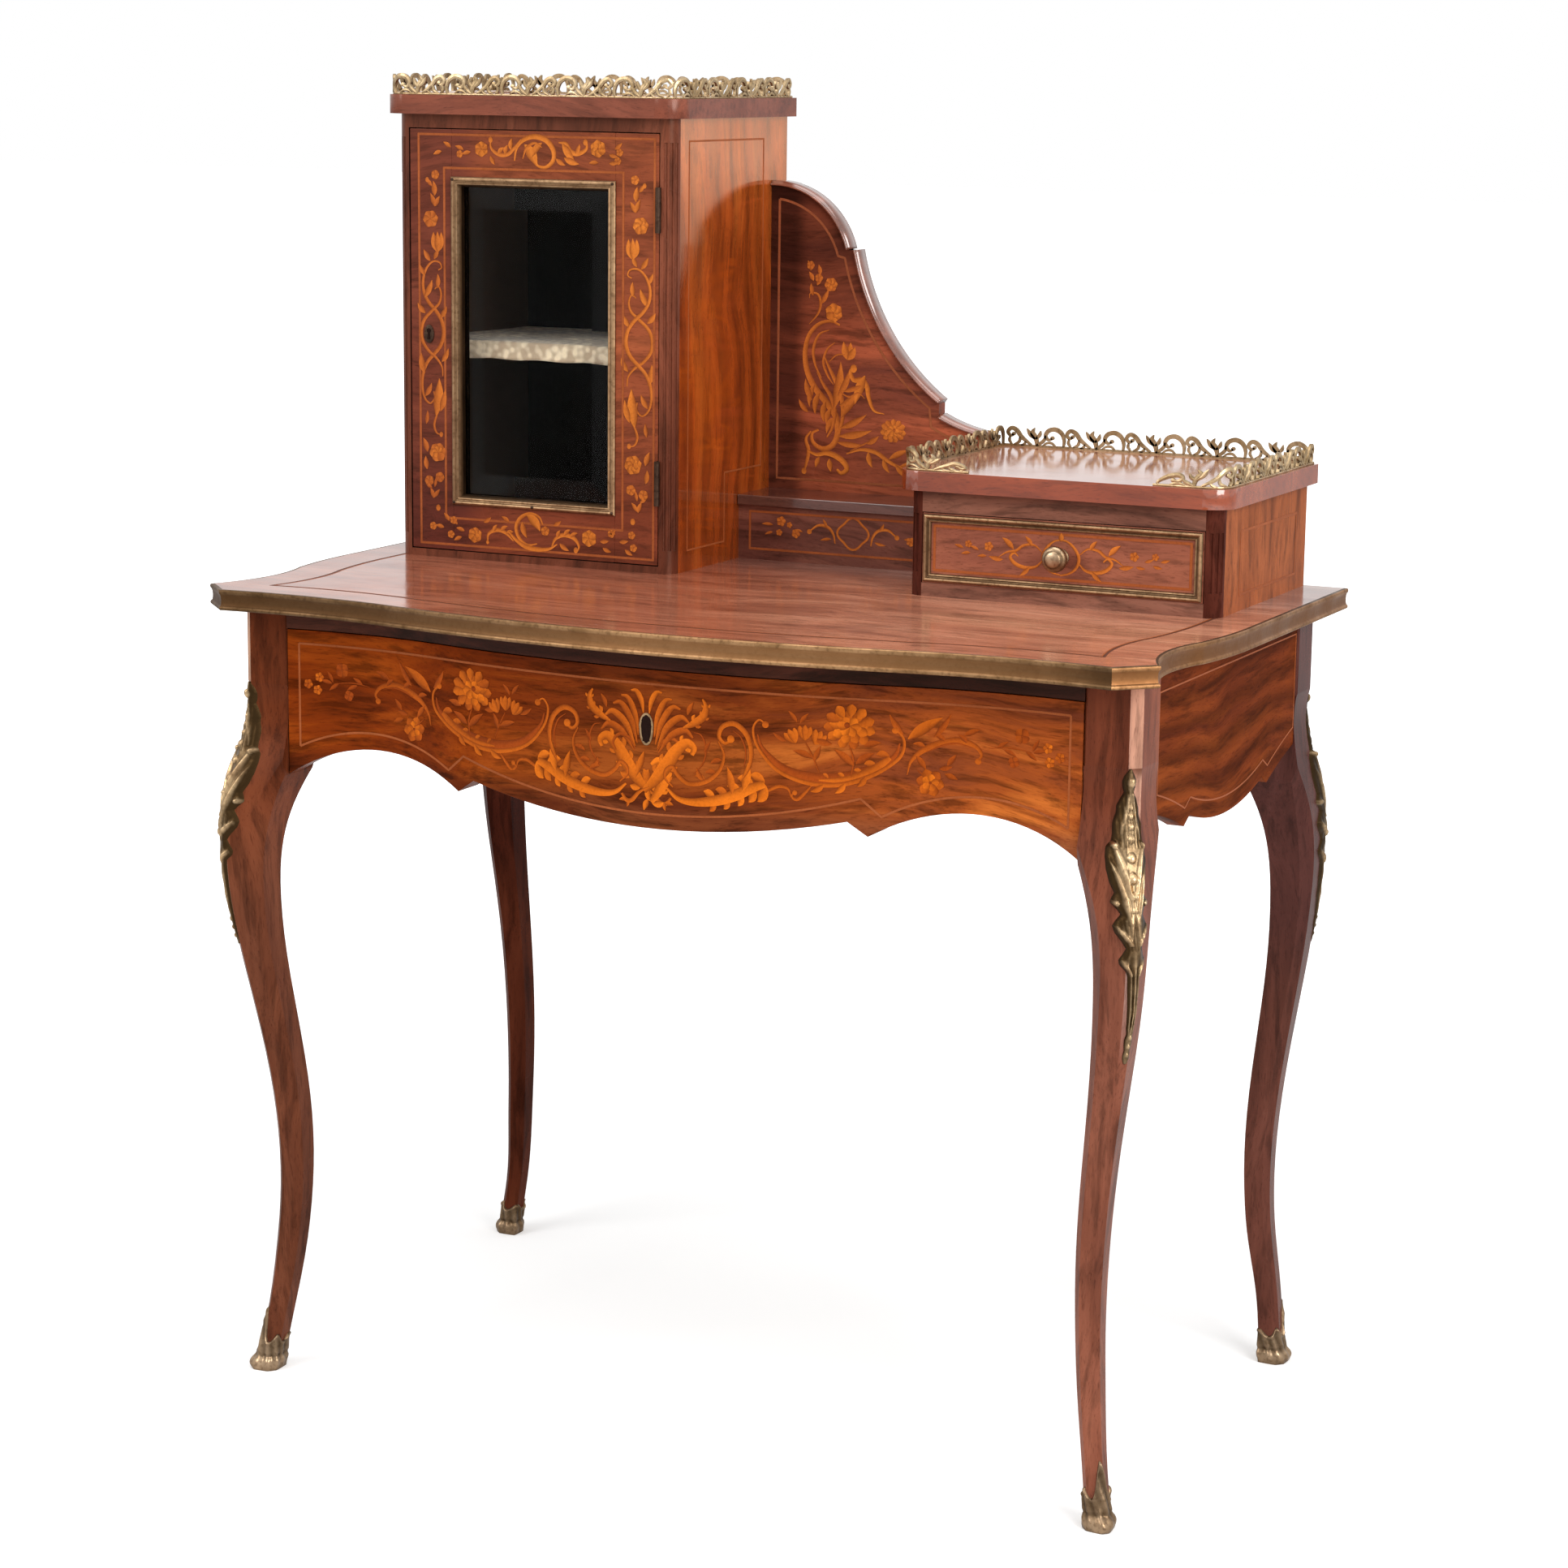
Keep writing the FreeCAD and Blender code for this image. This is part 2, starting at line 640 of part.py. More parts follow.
def corner_stile(name, side_x, inward, front, low, high):
    """A quarter-round post with three flutes; inward is +1 or -1 along X."""
    radius = cell.wall
    mid = radius * (1 - cos(radians(45)))
    path = [(side_x, front + radius), via(side_x + inward * mid, front + mid),
            (side_x + inward * radius, front), (side_x + inward * radius, front + radius)]
    post = prism(name + "_post", "XY_Plane", low, high, path)
    flutes = []
    for count in range(FLUTES):
        angle = 90 * (count + 1) / (FLUTES + 1)
        x = side_x + inward * radius - inward * radius * cos(radians(angle))
        y = front + radius - radius * sin(radians(angle))
        flutes.append(rod(f"{name}_flute{count}", cell.flute_radius,
                          high - low - 2 * cell.flute_margin,
                          (x, y, low + cell.flute_margin)))
    return cut(name, post, *flutes)


def gallery_wall(name, x, y, low, open_front):
    """Pierced upstand round a slab, or only its back, sides and short returns."""
    high = low + cell.gallery_height
    outer = rounded_slab(x, y, cell.cornice_round - cell.gallery_inset)
    thick = cell.gallery_thickness
    inner = rounded_slab((x[0] + thick, x[1] - thick), (y[0] + thick, y[1] - thick),
                         cell.cornice_round - cell.gallery_inset - thick)
    wall = prism(name + "_wall", "XY_Plane", low, high, outer, inner)
    tools = []
    if open_front:
        span = (x[0] + cell.return_length, x[1] - cell.return_length)
        tools.append(block(name + "_gap", span, (y[0] - thick, y[0] + 2 * thick),
                           (low - thick, high + thick)))
        for hand, start, toe in (("left", x[0] + cell.cornice_round, span[0]),
                                 ("right", x[1] - cell.cornice_round, span[1])):
            ramp = [(start, high + thick), (start, high),
                    (toe, high - cell.return_drop), (toe, high + thick)]
            tools.append(prism(f"{name}_{hand}_ramp", "XZ_Plane", y[0] - thick,
                               y[0] + 2 * thick, ramp))
    return cut(name, wall, *tools, *piercings(name, x, y, low, open_front))


def piercings(name, x, y, low, open_front):
    """Rows of round holes through the gallery's straight stretches."""
    level = low + cell.gallery_height / 2
    through = 4 * cell.gallery_thickness
    rods = []
    wide = (x[1] - x[0] - 2 * cell.cornice_round).number
    deep = (y[1] - y[0] - 2 * cell.cornice_round).number
    pitch = cell.piercing_pitch.number
    faces = [("back", "x", y[1] + through / 2)]
    if not open_front:
        faces.append(("front", "x", y[0] + through / 2))
    faces += [("left", "y", x[0] - through / 2), ("right", "y", x[1] - through / 2)]
    for face, along, level_out in faces:
        count = int((wide if along == "x" else deep) // pitch)
        for place in range(count):
            step = cell.piercing_pitch * (place - (count - 1) / 2)
            if along == "x":
                centre = ((x[0] + x[1]) / 2 + step, level_out, level)
                tilt = ((1, 0, 0), 90)
            else:
                centre = (level_out, (y[0] + y[1]) / 2 + step, level)
                tilt = ((0, 1, 0), 90)
            rods.append(rod(f"{name}_{face}{place}", cell.piercing_radius, through,
                            centre, tilt))
    return rods


def shell(prefix, hand, front, height):
    """Two sides and a back of an upper unit."""
    low_x, high_x = unit_span(hand)
    z = (table_top, table_top + height)
    depth = (front + cell.wall, unit_back)
    left = block(prefix + "_left_side", (low_x, low_x + cell.wall), depth, z)
    right = block(prefix + "_right_side", (high_x - cell.wall, high_x), depth, z)
    back = block(prefix + "_back", (low_x + cell.wall, high_x - cell.wall),
                 (unit_back - cell.back_panel, unit_back), z)
    return left, right, back


def slab_plan(hand, front):
    """Bounds of a unit's overhanging slab."""
    low_x, high_x = unit_span(hand)
    return ((low_x - cell.overhang, high_x + cell.overhang),
            (front - cell.front_overhang, unit_back))


def gallery_plan(hand, front):
    """Bounds of the gallery, set in from the slab's edge; its back stays inside."""
    (x0, x1), (y0, y1) = slab_plan(hand, front)
    inset = cell.gallery_inset
    return (x0 + inset, x1 - inset), (y0 + inset, y1 - inset)


# ----------------------------------------------------------------------- cabinet

cabinet_top = table_top + cell.cabinet_height
cabinet_left, cabinet_right = unit_span(-1)
opening_left, opening_right = cabinet_left + cell.wall, cabinet_right - cell.wall
cabinet_floor_top = table_top + cell.cabinet_floor
door_left = opening_left + cell.lock_side_gap
door_right = opening_right - cell.door_gap
door_low = cabinet_floor_top + cell.door_gap
door_high = cabinet_top - cell.cabinet_top_rail - cell.door_gap
door_back = cabinet_front + cell.door_thickness
lock_centre = table_top + cell.door_lock_level
knuckle_x = opening_right - cell.door_gap / 2
knuckle_y = cabinet_front - cell.knuckle_radius - cell.front_gap
hinge_lows = (door_low + cell.hinge_low_margin,
              door_high - cell.hinge_high_margin - cell.hinge_height)


def make_cabinet():
    left, right, back = shell("cabinet", -1, cabinet_front, cell.cabinet_height)
    gap = cell.bolt_gap
    bolt_y = (door_back + cell.bolt_setback - gap,
              door_back + cell.bolt_setback + cell.bolt_thickness + gap)
    mortise = block("bolt_mortise", (opening_left - cell.door_bolt_throw, opening_left + gap),
                    bolt_y, (lock_centre - cell.door_bolt_height / 2 - gap,
                             lock_centre + cell.door_bolt_height / 2 + gap))
    shelf_top = table_top + cell.shelf_height
    shelf_low = shelf_top - cell.shelf_thickness
    back_face = unit_back - cell.back_panel
    shelf_front = cabinet_front + cell.shelf_setback
    pins, sockets = make_shelf_pins(shelf_low, shelf_front, back_face)
    node("cabinet_left_side", cut("cabinet_left_side", left, mortise, *sockets[0:2]))
    node("cabinet_right_side", cut("cabinet_right_side", right, *sockets[2:4]))
    node("cabinet_back", back)
    node("shelf_pins", group("shelf_pins", *pins))
    inside = (opening_left, opening_right)
    behind = cabinet_front + cell.wall
    node("cabinet_bottom", block("cabinet_bottom", inside, (behind, back_face),
                                 (table_top, cabinet_floor_top)))
    rail_y = (cabinet_front, behind)
    node("cabinet_rails", group(
        "cabinet_rails",
        block("cabinet_low_rail", inside, rail_y, (table_top, cabinet_floor_top)),
        block("cabinet_high_rail", inside, rail_y,
              (cabinet_top - cell.cabinet_top_rail, cabinet_top))))
    shelf_x = (opening_left + cell.shelf_gap, opening_right - cell.shelf_gap)
    node("cabinet_shelf", block("cabinet_shelf", shelf_x, (shelf_front, back_face),
                                (shelf_low, shelf_top)))
    make_cloth(shelf_x, (shelf_front, back_face), shelf_top)
    slab_x, slab_y = slab_plan(-1, cabinet_front)
    cornice_top = cabinet_top + cell.cornice_thickness
    node("cabinet_cornice", prism("cabinet_cornice", "XY_Plane", cabinet_top, cornice_top,
                                  rounded_slab(slab_x, slab_y, cell.cornice_round)))
    rail_x, rail_line = gallery_plan(-1, cabinet_front)
    node("cabinet_gallery", gallery_wall("cabinet_gallery", rail_x, rail_line,
                                         cornice_top, False))


def make_shelf_pins(shelf_low, shelf_front, back_face):
    """Four brass pins under the shelf and the sockets that hold them."""
    pins, sockets = [], []
    level = shelf_low - cell.pin_radius - cell.seat_gap
    lines = (shelf_front + cell.pin_margin, back_face - cell.pin_margin)
    for hand, start in (("left", opening_left - cell.pin_let_in),
                        ("right", opening_right + cell.pin_let_in - cell.pin_length)):
        for count, line in enumerate(lines):
            centre = (start, line, level)
            tilt = ((0, 1, 0), 90)
            pins.append(rod(f"{hand}_pin{count}", cell.pin_radius, cell.pin_length,
                            centre, tilt))
            sockets.append(rod(f"{hand}_socket{count}", cell.pin_radius,
                               cell.pin_length, centre, tilt))
    return pins, sockets


def make_cloth(shelf_x, shelf_y, shelf_top):
    """A runner laid on the shelf, turned down over its front edge."""
    low = shelf_top + cell.seat_gap
    high = low + cell.cloth_thickness
    face = shelf_y[0] - cell.seat_gap
    back = shelf_y[1] - cell.cloth_inset
    path = [(face - cell.cloth_thickness, high - cell.cloth_drop),
            (face, high - cell.cloth_drop), (face, low),
            (back, low), (back, high),
            (face - cell.cloth_thickness, high)]
    node("shelf_cloth", prism("shelf_cloth", "YZ_Plane", shelf_x[0] + cell.cloth_inset,
                              shelf_x[1] - cell.cloth_inset, path))


def make_hinges():
    """Butt hinges: the cabinet's leaf holds the pin, the door's leaf turns on it."""
    fixed, moving, fixed_mortises, door_mortises = [], [], [], []
    share = cell.hinge_height / KNUCKLES
    for count, low in enumerate(hinge_lows):
        high = low + cell.hinge_height
        middle = (low + share, high - share)
        wood = (cabinet_front, cabinet_front + cell.leaf_depth)
        tongue = (knuckle_y, cabinet_front)
        fixed_x = (opening_right, opening_right + cell.leaf_thickness)
        door_x = (door_right - cell.leaf_thickness, door_right)
        name = f"hinge{count}"
        fixed.append(join(
            name + "_fixed", block(name + "_fixed_leaf", fixed_x, wood, (low, high)),
            block(name + "_tongue_low", fixed_x, tongue, (low, middle[0])),
            block(name + "_tongue_high", fixed_x, tongue, (middle[1], high)),
            rod(name + "_knuckle_low", cell.knuckle_radius, share,
                (knuckle_x, knuckle_y, low)),
            rod(name + "_knuckle_high", cell.knuckle_radius, share,
                (knuckle_x, knuckle_y, middle[1])),
            rod(name + "_pin", cell.hinge_pin, cell.hinge_height,
                (knuckle_x, knuckle_y, low))))
        barrel = (middle[0] + cell.knuckle_gap, middle[1] - cell.knuckle_gap)
        body = join(
            name + "_turning", block(name + "_door_leaf", door_x, wood, (low, high)),
            block(name + "_door_tongue", door_x, tongue, barrel),
            rod(name + "_barrel", cell.knuckle_radius, barrel[1] - barrel[0],
                (knuckle_x, knuckle_y, barrel[0])))
        bore = rod(name + "_bore", cell.hinge_bore, cell.hinge_height,
                   (knuckle_x, knuckle_y, low))
        moving.append(cut(name + "_door", body, bore))
        fixed_mortises.append(block(name + "_fixed_mortise", fixed_x, wood, (low, high)))
        door_mortises.append(block(name + "_door_mortise", door_x, wood, (low, high)))
    node("cabinet_hinge_leaves", group("cabinet_hinge_leaves", *fixed))
    node("door_hinge_leaves", group("door_hinge_leaves", *moving))
    return fixed_mortises, door_mortises


def make_cabinet_stiles(mortises):
    z = (table_top, cabinet_top)
    left = corner_stile("cabinet_left_stile", cabinet_left, 1, cabinet_front, *z)
    right = corner_stile("cabinet_right_stile", cabinet_right, -1, cabinet_front, *z)
    fitted = cut("cabinet_right_fitted", right, *mortises)
    node("cabinet_corner_stiles", group("cabinet_corner_stiles", left, fitted))


# --------------------------------------------------------------------------- door

def frame_ring(name, x, z, width, y):
    """A rectangular ring in the XZ plane, y from front to back."""
    outer = rectangle(x, z)
    inner = rectangle((x[0] + width, x[1] - width), (z[0] + width, z[1] - width))
    return prism(name, "XZ_Plane", y[0], y[1], outer, inner)


def make_door(mortises):
    y = (cabinet_front, door_back)
    sight_x = (door_left + cell.door_stile, door_right - cell.door_stile)
    sight_z = (door_low + cell.door_rail, door_high - cell.door_rail)
    tall = (door_low, door_high)
    node("door_left_stile", block("door_left_stile", (door_left, sight_x[0]), y, tall))
    hinge_stile = block("door_hinge_stile", (sight_x[1], door_right), y, tall)
    node("door_right_stile", cut("door_right_stile", hinge_stile, *mortises))
    node("door_bottom_rail", block("door_bottom_rail", sight_x, y,
                                   (door_low, sight_z[0])))
    node("door_top_rail", block("door_top_rail", sight_x, y, (sight_z[1], door_high)))

    face = cabinet_front
    lip = cell.bezel_lip
    lipped = frame_ring("bezel_lip_ring", (sight_x[0] - lip, sight_x[1] + lip),
                        (sight_z[0] - lip, sight_z[1] + lip), cell.bezel_width + lip,
                        (face - cell.bezel_proud, face))
    sunk = frame_ring("bezel_sunk_ring", sight_x, sight_z, cell.bezel_width,
                      (face - cell.bezel_proud, face + cell.bezel_depth))
    node("door_bezel", join("door_bezel", lipped, sunk))

    glass_y = face + cell.bezel_depth + cell.glass_gap
    glass_back = glass_y + cell.glass_thickness
    gap = cell.glass_gap
    node("door_glass", bevelled_glass((sight_x[0] + gap, sight_x[1] - gap),
                                      (sight_z[0] + gap, sight_z[1] - gap),
                                      (glass_y, glass_back)))
    node("door_glazing_beads", frame_ring("door_glazing_beads", sight_x, sight_z,
                                          cell.bead_width, (glass_back + gap, door_back)))
    make_door_lock()


def bevelled_glass(x, z, y):
    """A pane whose front edges are ground down to a thin bevel."""
    pane = block("glass_pane", x, y, z)
    thick, edge, wide = cell.glass_thickness, cell.glass_edge, cell.glass_bevel
    rise = thick - edge
    tools = []
    for hand, start, run in (("left", x[0], 1), ("right", x[1], -1)):
        path = [(start, y[0]), (start + run * wide, y[0]), (start, y[0] + rise)]
        tools.append(prism(f"glass_{hand}_bevel", "XY_Plane", z[0], z[1], path))
    for hand, start, run in (("low", z[0], 1), ("high", z[1], -1)):
        path = [(y[0], start), (y[0], start + run * wide), (y[0] + rise, start)]
        tools.append(prism(f"glass_{hand}_bevel", "YZ_Plane", x[0], x[1], path))
    return cut("door_glass", pane, *tools)


def make_door_lock():
    """Rim lock on the inside of the closing stile, its bolt and its keyhole plate."""
    half = cell.door_lock_height / 2
    case_x = (door_left + cell.lock_drop, door_left + cell.lock_drop + cell.door_lock_width)
    case = block("door_lock_case", case_x, (door_back, door_back + cell.lock_depth),
                 (lock_centre - half, lock_centre + half))
    bolt_y = (door_back + cell.bolt_setback,
              door_back + cell.bolt_setback + cell.bolt_thickness)
    bolt_x = (door_left + cell.bolt_gap, door_left + cell.door_bolt_length)
    rise = cell.door_bolt_height / 2
    gap = cell.bolt_gap
    channel = block("door_lock_channel", (door_left, bolt_x[1] + gap),
                    (bolt_y[0] - gap, bolt_y[1] + gap),
                    (lock_centre - rise - gap, lock_centre + rise + gap))
    node("door_lock", cut("door_lock", case, channel))
    node("door_bolt", block("door_bolt", bolt_x, bolt_y,
                            (lock_centre - rise, lock_centre + rise)))
    plate_x = door_left + cell.escutcheon_offset
    back = ((1, 0, 0), -90)
    start = cabinet_front - cell.escutcheon_thickness
    plate = rod("door_plate", cell.escutcheon_radius, cell.escutcheon_thickness,
                (plate_x, start, lock_centre), back)
    keyhole = rod("door_keyhole", cell.keyhole_radius, cell.escutcheon_thickness,
                  (plate_x, start, lock_centre), back)
    node("door_escutcheon", cut("door_escutcheon", plate, keyhole))


# --------------------------------------------------------------------- drawer box

box_left, box_right = unit_span(1)
box_open_left, box_open_right = box_left + cell.wall, box_right - cell.wall
box_top = table_top + cell.box_height
box_floor_top = table_top + cell.box_floor


def make_box():
    left, right, back = shell("box", 1, box_front, cell.box_height)
    node("box_left_side", left)
    node("box_right_side", right)
    node("box_back", back)
    inside = (box_open_left, box_open_right)
    behind = box_front + cell.wall
    node("box_bottom", block("box_bottom", inside,
                             (behind, unit_back - cell.back_panel),
                             (table_top, box_floor_top)))
    rail_y = (box_front, behind)
    node("box_rails", group(
        "box_rails",
        block("box_low_rail", inside, rail_y, (table_top, box_floor_top)),
        block("box_high_rail", inside, rail_y, (box_top - cell.box_top_rail, box_top))))
    z = (table_top, box_top)
    node("box_corner_stiles", group(
        "box_corner_stiles",
        corner_stile("box_left_stile", box_left, 1, box_front, *z),
        corner_stile("box_right_stile", box_right, -1, box_front, *z)))
    slab_x, slab_y = slab_plan(1, box_front)
    slab_top = box_top + cell.box_top_thickness
    node("box_top", prism("box_top", "XY_Plane", box_top, slab_top,
                          rounded_slab(slab_x, slab_y, cell.cornice_round)))
    rail_x, rail_line = gallery_plan(1, box_front)
    node("box_gallery", gallery_wall("box_gallery", rail_x, rail_line, slab_top, True))


def make_small_drawer():
    gap = cell.small_gap
    x = (box_open_left + gap, box_open_right - gap)
    z = (box_floor_top + cell.seat_gap, box_top - cell.box_top_rail - gap)
    face, back_face = box_front, box_front + cell.small_front
    centre = ((x[0] + x[1]) / 2, (z[0] + z[1]) / 2)
    front = block("small_front_board", x, (face, back_face), z)
    socket = rod("knob_socket", cell.knob_stem, cell.knob_tenon,
                 (centre[0], face, centre[1]), ((1, 0, 0), -90))
    node("small_drawer_front", cut("small_drawer_front", front, socket))
    set_in = cell.moulding_inset
    node("small_drawer_brass_frame", frame_ring(
        "small_drawer_brass_frame", (x[0] + set_in, x[1] - set_in),
        (z[0] + set_in, z[1] - set_in), cell.moulding_width,
        (face - cell.moulding_depth, face)))
    node("small_drawer_knob", turned("small_drawer_knob", [
        (0, -cell.knob_tenon), (cell.knob_stem, -cell.knob_tenon),
        (cell.knob_stem, cell.knob_neck),
        (cell.knob_radius, (cell.knob_neck + cell.knob_reach) / 2),
        (cell.knob_crown, cell.knob_reach), (0, cell.knob_reach)],
        (centre[0], face, centre[1])))
    outer = (box_open_left + cell.small_side_inset, box_open_right - cell.small_side_inset)
    thick = cell.small_side_thickness
    drawer_back = unit_back - cell.back_panel - cell.small_drawer_end_gap
    run = (back_face, drawer_back)
    tall = (z[0], z[0] + cell.small_side_height)
    node("small_drawer_sides", group(
        "small_drawer_sides", block("small_side_left", (outer[0], outer[0] + thick),
                                    run, tall),
        block("small_side_right", (outer[1] - thick, outer[1]), run, tall)))
    inner = (outer[0] + thick, outer[1] - thick)
    node("small_drawer_back", block("small_drawer_back", inner,
                                    (drawer_back - thick, drawer_back), tall))
    node("small_drawer_bottom", block("small_drawer_bottom", inner,
                                      (back_face, drawer_back - thick),
                                      (z[0], z[0] + cell.small_bottom_thickness)))


# ------------------------------------------------------------ plinth and scroll back

def make_middle():
    width = (-cell.unit_inner, cell.unit_inner)
    plinth_line = unit_back - cell.plinth_setback
    plinth_top = table_top + cell.plinth_height
    node("plinth_front", block("plinth_front", width,
                               (plinth_line, plinth_line + cell.plinth_thickness),
                               (table_top, plinth_top)))
    ledge_top = plinth_top + cell.ledge_thickness
    board_back = scroll_line + cell.scroll_thickness
    node("plinth_ledge", block("plinth_ledge", width,
                               (plinth_line - cell.ledge_nosing, board_back),
                               (plinth_top, ledge_top)))

    def above(height):
        return table_top + height

    slab_edge = cell.unit_inner - cell.overhang
    step_x = -cell.ovolo_half + cell.scroll_step
    fall = cell.cavetto_end_height - cell.scroll_fall
    curves = [
        ((-cell.unit_inner, above(cell.scroll_start)),
         (-cell.ovolo_mid, above(cell.ovolo_mid_height)),
         (-cell.ovolo_half, above(cell.ovolo_height))),
        ((step_x, above(cell.ovolo_height)),
         (cell.cavetto_mid, above(cell.cavetto_mid_height)),
         (cell.cavetto_end, above(cell.cavetto_end_height))),
        ((cell.cavetto_end, above(fall)),
         (cell.tail_mid, above(cell.tail_mid_height)),
         (slab_edge, above(cell.tail_height)))]
    path = [(-cell.unit_inner, ledge_top)]
    for start, middle, end in curves:
        path += [start, via(*middle), end]
    path += [(slab_edge, box_top), (cell.unit_inner, box_top), (cell.unit_inner, ledge_top)]
    node("scroll_board", prism("scroll_board", "XZ_Plane", scroll_line, board_back,
                               path))
    strips = [capping(f"capping{count}", curve, board_back)
              for count, curve in enumerate(curves)]
    node("scroll_capping", group("scroll_capping", *strips))


def capping(name, curve, board_back):
    """A strip of moulding that follows one curve of the board's edge."""
    start, middle, end = ((x, z + cell.capping_thickness) for x, z in curve)
    path = [curve[0], via(*curve[1]), curve[2], end, via(*middle), start]
    return prism(name, "XZ_Plane", scroll_line - cell.capping_overhang,
                 board_back + cell.capping_overhang, path)


# ------------------------------------------------------------------- build and save

make_table_top()
make_legs()
make_aprons()
make_front_rail()
make_runners()
make_main_drawer()
make_cabinet()
fixed_mortises, door_mortises = make_hinges()
make_cabinet_stiles(fixed_mortises)
make_door(door_mortises)
make_box()
make_small_drawer()
make_middle()
doc.recompute()

faults = [item.Label for item in doc.Objects
          if "Invalid" in item.State or "Error" in item.State]
for name, item in nodes.items():
    if item.Shape.isNull() or not item.Shape.isValid():
        faults.append(name + " shape")
if faults:
    raise RuntimeError("failed: " + ", ".join(faults))

os.makedirs("parts", exist_ok=True)
for name, item in nodes.items():
    item.Shape.exportStep(f"parts/{name}.step")
    box = item.Shape.BoundBox
    print(f"{name}: {len(item.Shape.Solids)} solid(s), {item.Shape.Volume / 1000:.1f} cm3, "
          f"z {box.ZMin:.1f} to {box.ZMax:.1f}")
print(len(nodes), "nodes")
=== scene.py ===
# %% [markdown]
# A bonheur du jour is a lady's small writing desk: a table on four curved legs, with little
# cabinets standing on its top. This lesson dresses one in its real surfaces.
# The solid model is already packed, so it is loaded as a fixed frame, and every new piece is
# made in the frame's own metres. Nothing has to be fitted or scaled afterwards.

# %% Load the frame and keep its box
import math
import random

import bmesh
import bpy
from mathutils import Matrix, Vector
from mathutils.bvhtree import BVHTree


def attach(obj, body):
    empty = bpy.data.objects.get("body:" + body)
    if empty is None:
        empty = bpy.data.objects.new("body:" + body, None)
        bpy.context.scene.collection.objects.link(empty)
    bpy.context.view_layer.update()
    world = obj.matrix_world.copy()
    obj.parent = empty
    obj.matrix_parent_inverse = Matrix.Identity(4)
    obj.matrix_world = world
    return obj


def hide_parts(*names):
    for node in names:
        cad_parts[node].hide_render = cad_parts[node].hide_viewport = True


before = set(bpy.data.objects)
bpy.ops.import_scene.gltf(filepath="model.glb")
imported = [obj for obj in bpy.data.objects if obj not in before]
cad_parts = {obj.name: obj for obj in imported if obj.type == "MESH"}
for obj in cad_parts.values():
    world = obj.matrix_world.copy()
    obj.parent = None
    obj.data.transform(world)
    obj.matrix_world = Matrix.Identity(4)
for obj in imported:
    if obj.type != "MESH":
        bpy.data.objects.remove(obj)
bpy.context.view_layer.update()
MM = 0.001

# %% [markdown]
# The camera comes first, because it decides how much detail each piece deserves. It stands to
# the right of the desk a little above the writing surface, and a long lens keeps the legs
# nearly parallel. A camera looks along its own -Z, so its matrix is built from three axes:
# right, up and backwards. That is clearer than three rotation angles.

# %% Set up the camera
def stand(name, data):
    """Puts a thing with this data into the scene."""
    made = bpy.data.objects.new(name, data)
    bpy.context.collection.objects.link(made)
    return made


EYE = Vector((1.4673, -3.0106, 1.2447))
TURN, TILT, ROLL = -0.4487, -0.1966, 0.0119
IMAGE_SIDE, FOCAL_PIXELS = 1932, 4514.276


def aimed_camera(name):
    ahead = Vector((math.sin(TURN) * math.cos(TILT), math.cos(TURN) * math.cos(TILT), math.sin(TILT)))
    level = Vector((math.cos(TURN), -math.sin(TURN), 0))
    above = level.cross(ahead)
    right = math.cos(ROLL) * level + math.sin(ROLL) * above
    upward = math.cos(ROLL) * above - math.sin(ROLL) * level
    lens = bpy.data.cameras.new(name)
    lens.sensor_width = 36
    lens.lens = FOCAL_PIXELS / IMAGE_SIDE * lens.sensor_width
    camera = stand(name, lens)
    camera.matrix_world = Matrix((right, upward, -ahead)).transposed().to_4x4()
    camera.matrix_world.translation = EYE
    return camera


bpy.context.scene.camera = aimed_camera("studio_camera")
bpy.context.scene.view_settings.view_transform = "Standard"
print("lens:", round(bpy.context.scene.camera.data.lens, 1), "mm")

# %% [markdown]
# Most of the look is in shader nodes, so a short helper for making and wiring one pays off at
# once. Inputs are given by name; a socket is linked and anything else is set as a value.

# %% A helper for shader nodes
def wire(tree, node, inputs):
    for key, value in inputs.items():
        if isinstance(value, bpy.types.NodeSocket):
            tree.links.new(value, node.inputs[key])
        else:
            node.inputs[key].default_value = value


def put(tree, kind, inputs=None, **settings):
    made = tree.nodes.new("ShaderNode" + kind)
    for key, value in settings.items():
        setattr(made, key, value)
    wire(tree, made, inputs or {})
    return made


def reckon(tree, how, first, second, kind="Math", **settings):
    return put(tree, kind, {0: first, 1: second}, operation=how, **settings).outputs[0]


def remap(tree, value, low, high, bottom=0.0, top=1.0, **settings):
    """Turns low to high into bottom to top."""
    return put(tree, "MapRange", {"Value": value, "From Min": low, "From Max": high, "To Min": bottom,
            "To Max": top}, **settings).outputs["Result"]


def part_of(tree, vector, axis):
    return put(tree, "SeparateXYZ", {0: vector}).outputs[axis]


def blank(owner):
    """The empty node tree of a material or a world."""
    owner.use_nodes = True
    owner.node_tree.nodes.clear()
    return owner.node_tree


def colour(r, g, b):
    return (r, g, b, 1)


print("shader helper ready")

# %% [markdown]
# A furniture studio is a pale floor that runs into white, with big soft lamps. The floor is a
# plain matt sheet, so it keeps the shadow under the feet. Only what the camera sees directly
# is lifted towards white, and more so far from the desk; the light on the wood is untouched.

# %% Lay the floor
FLOOR_HALF = 30.0


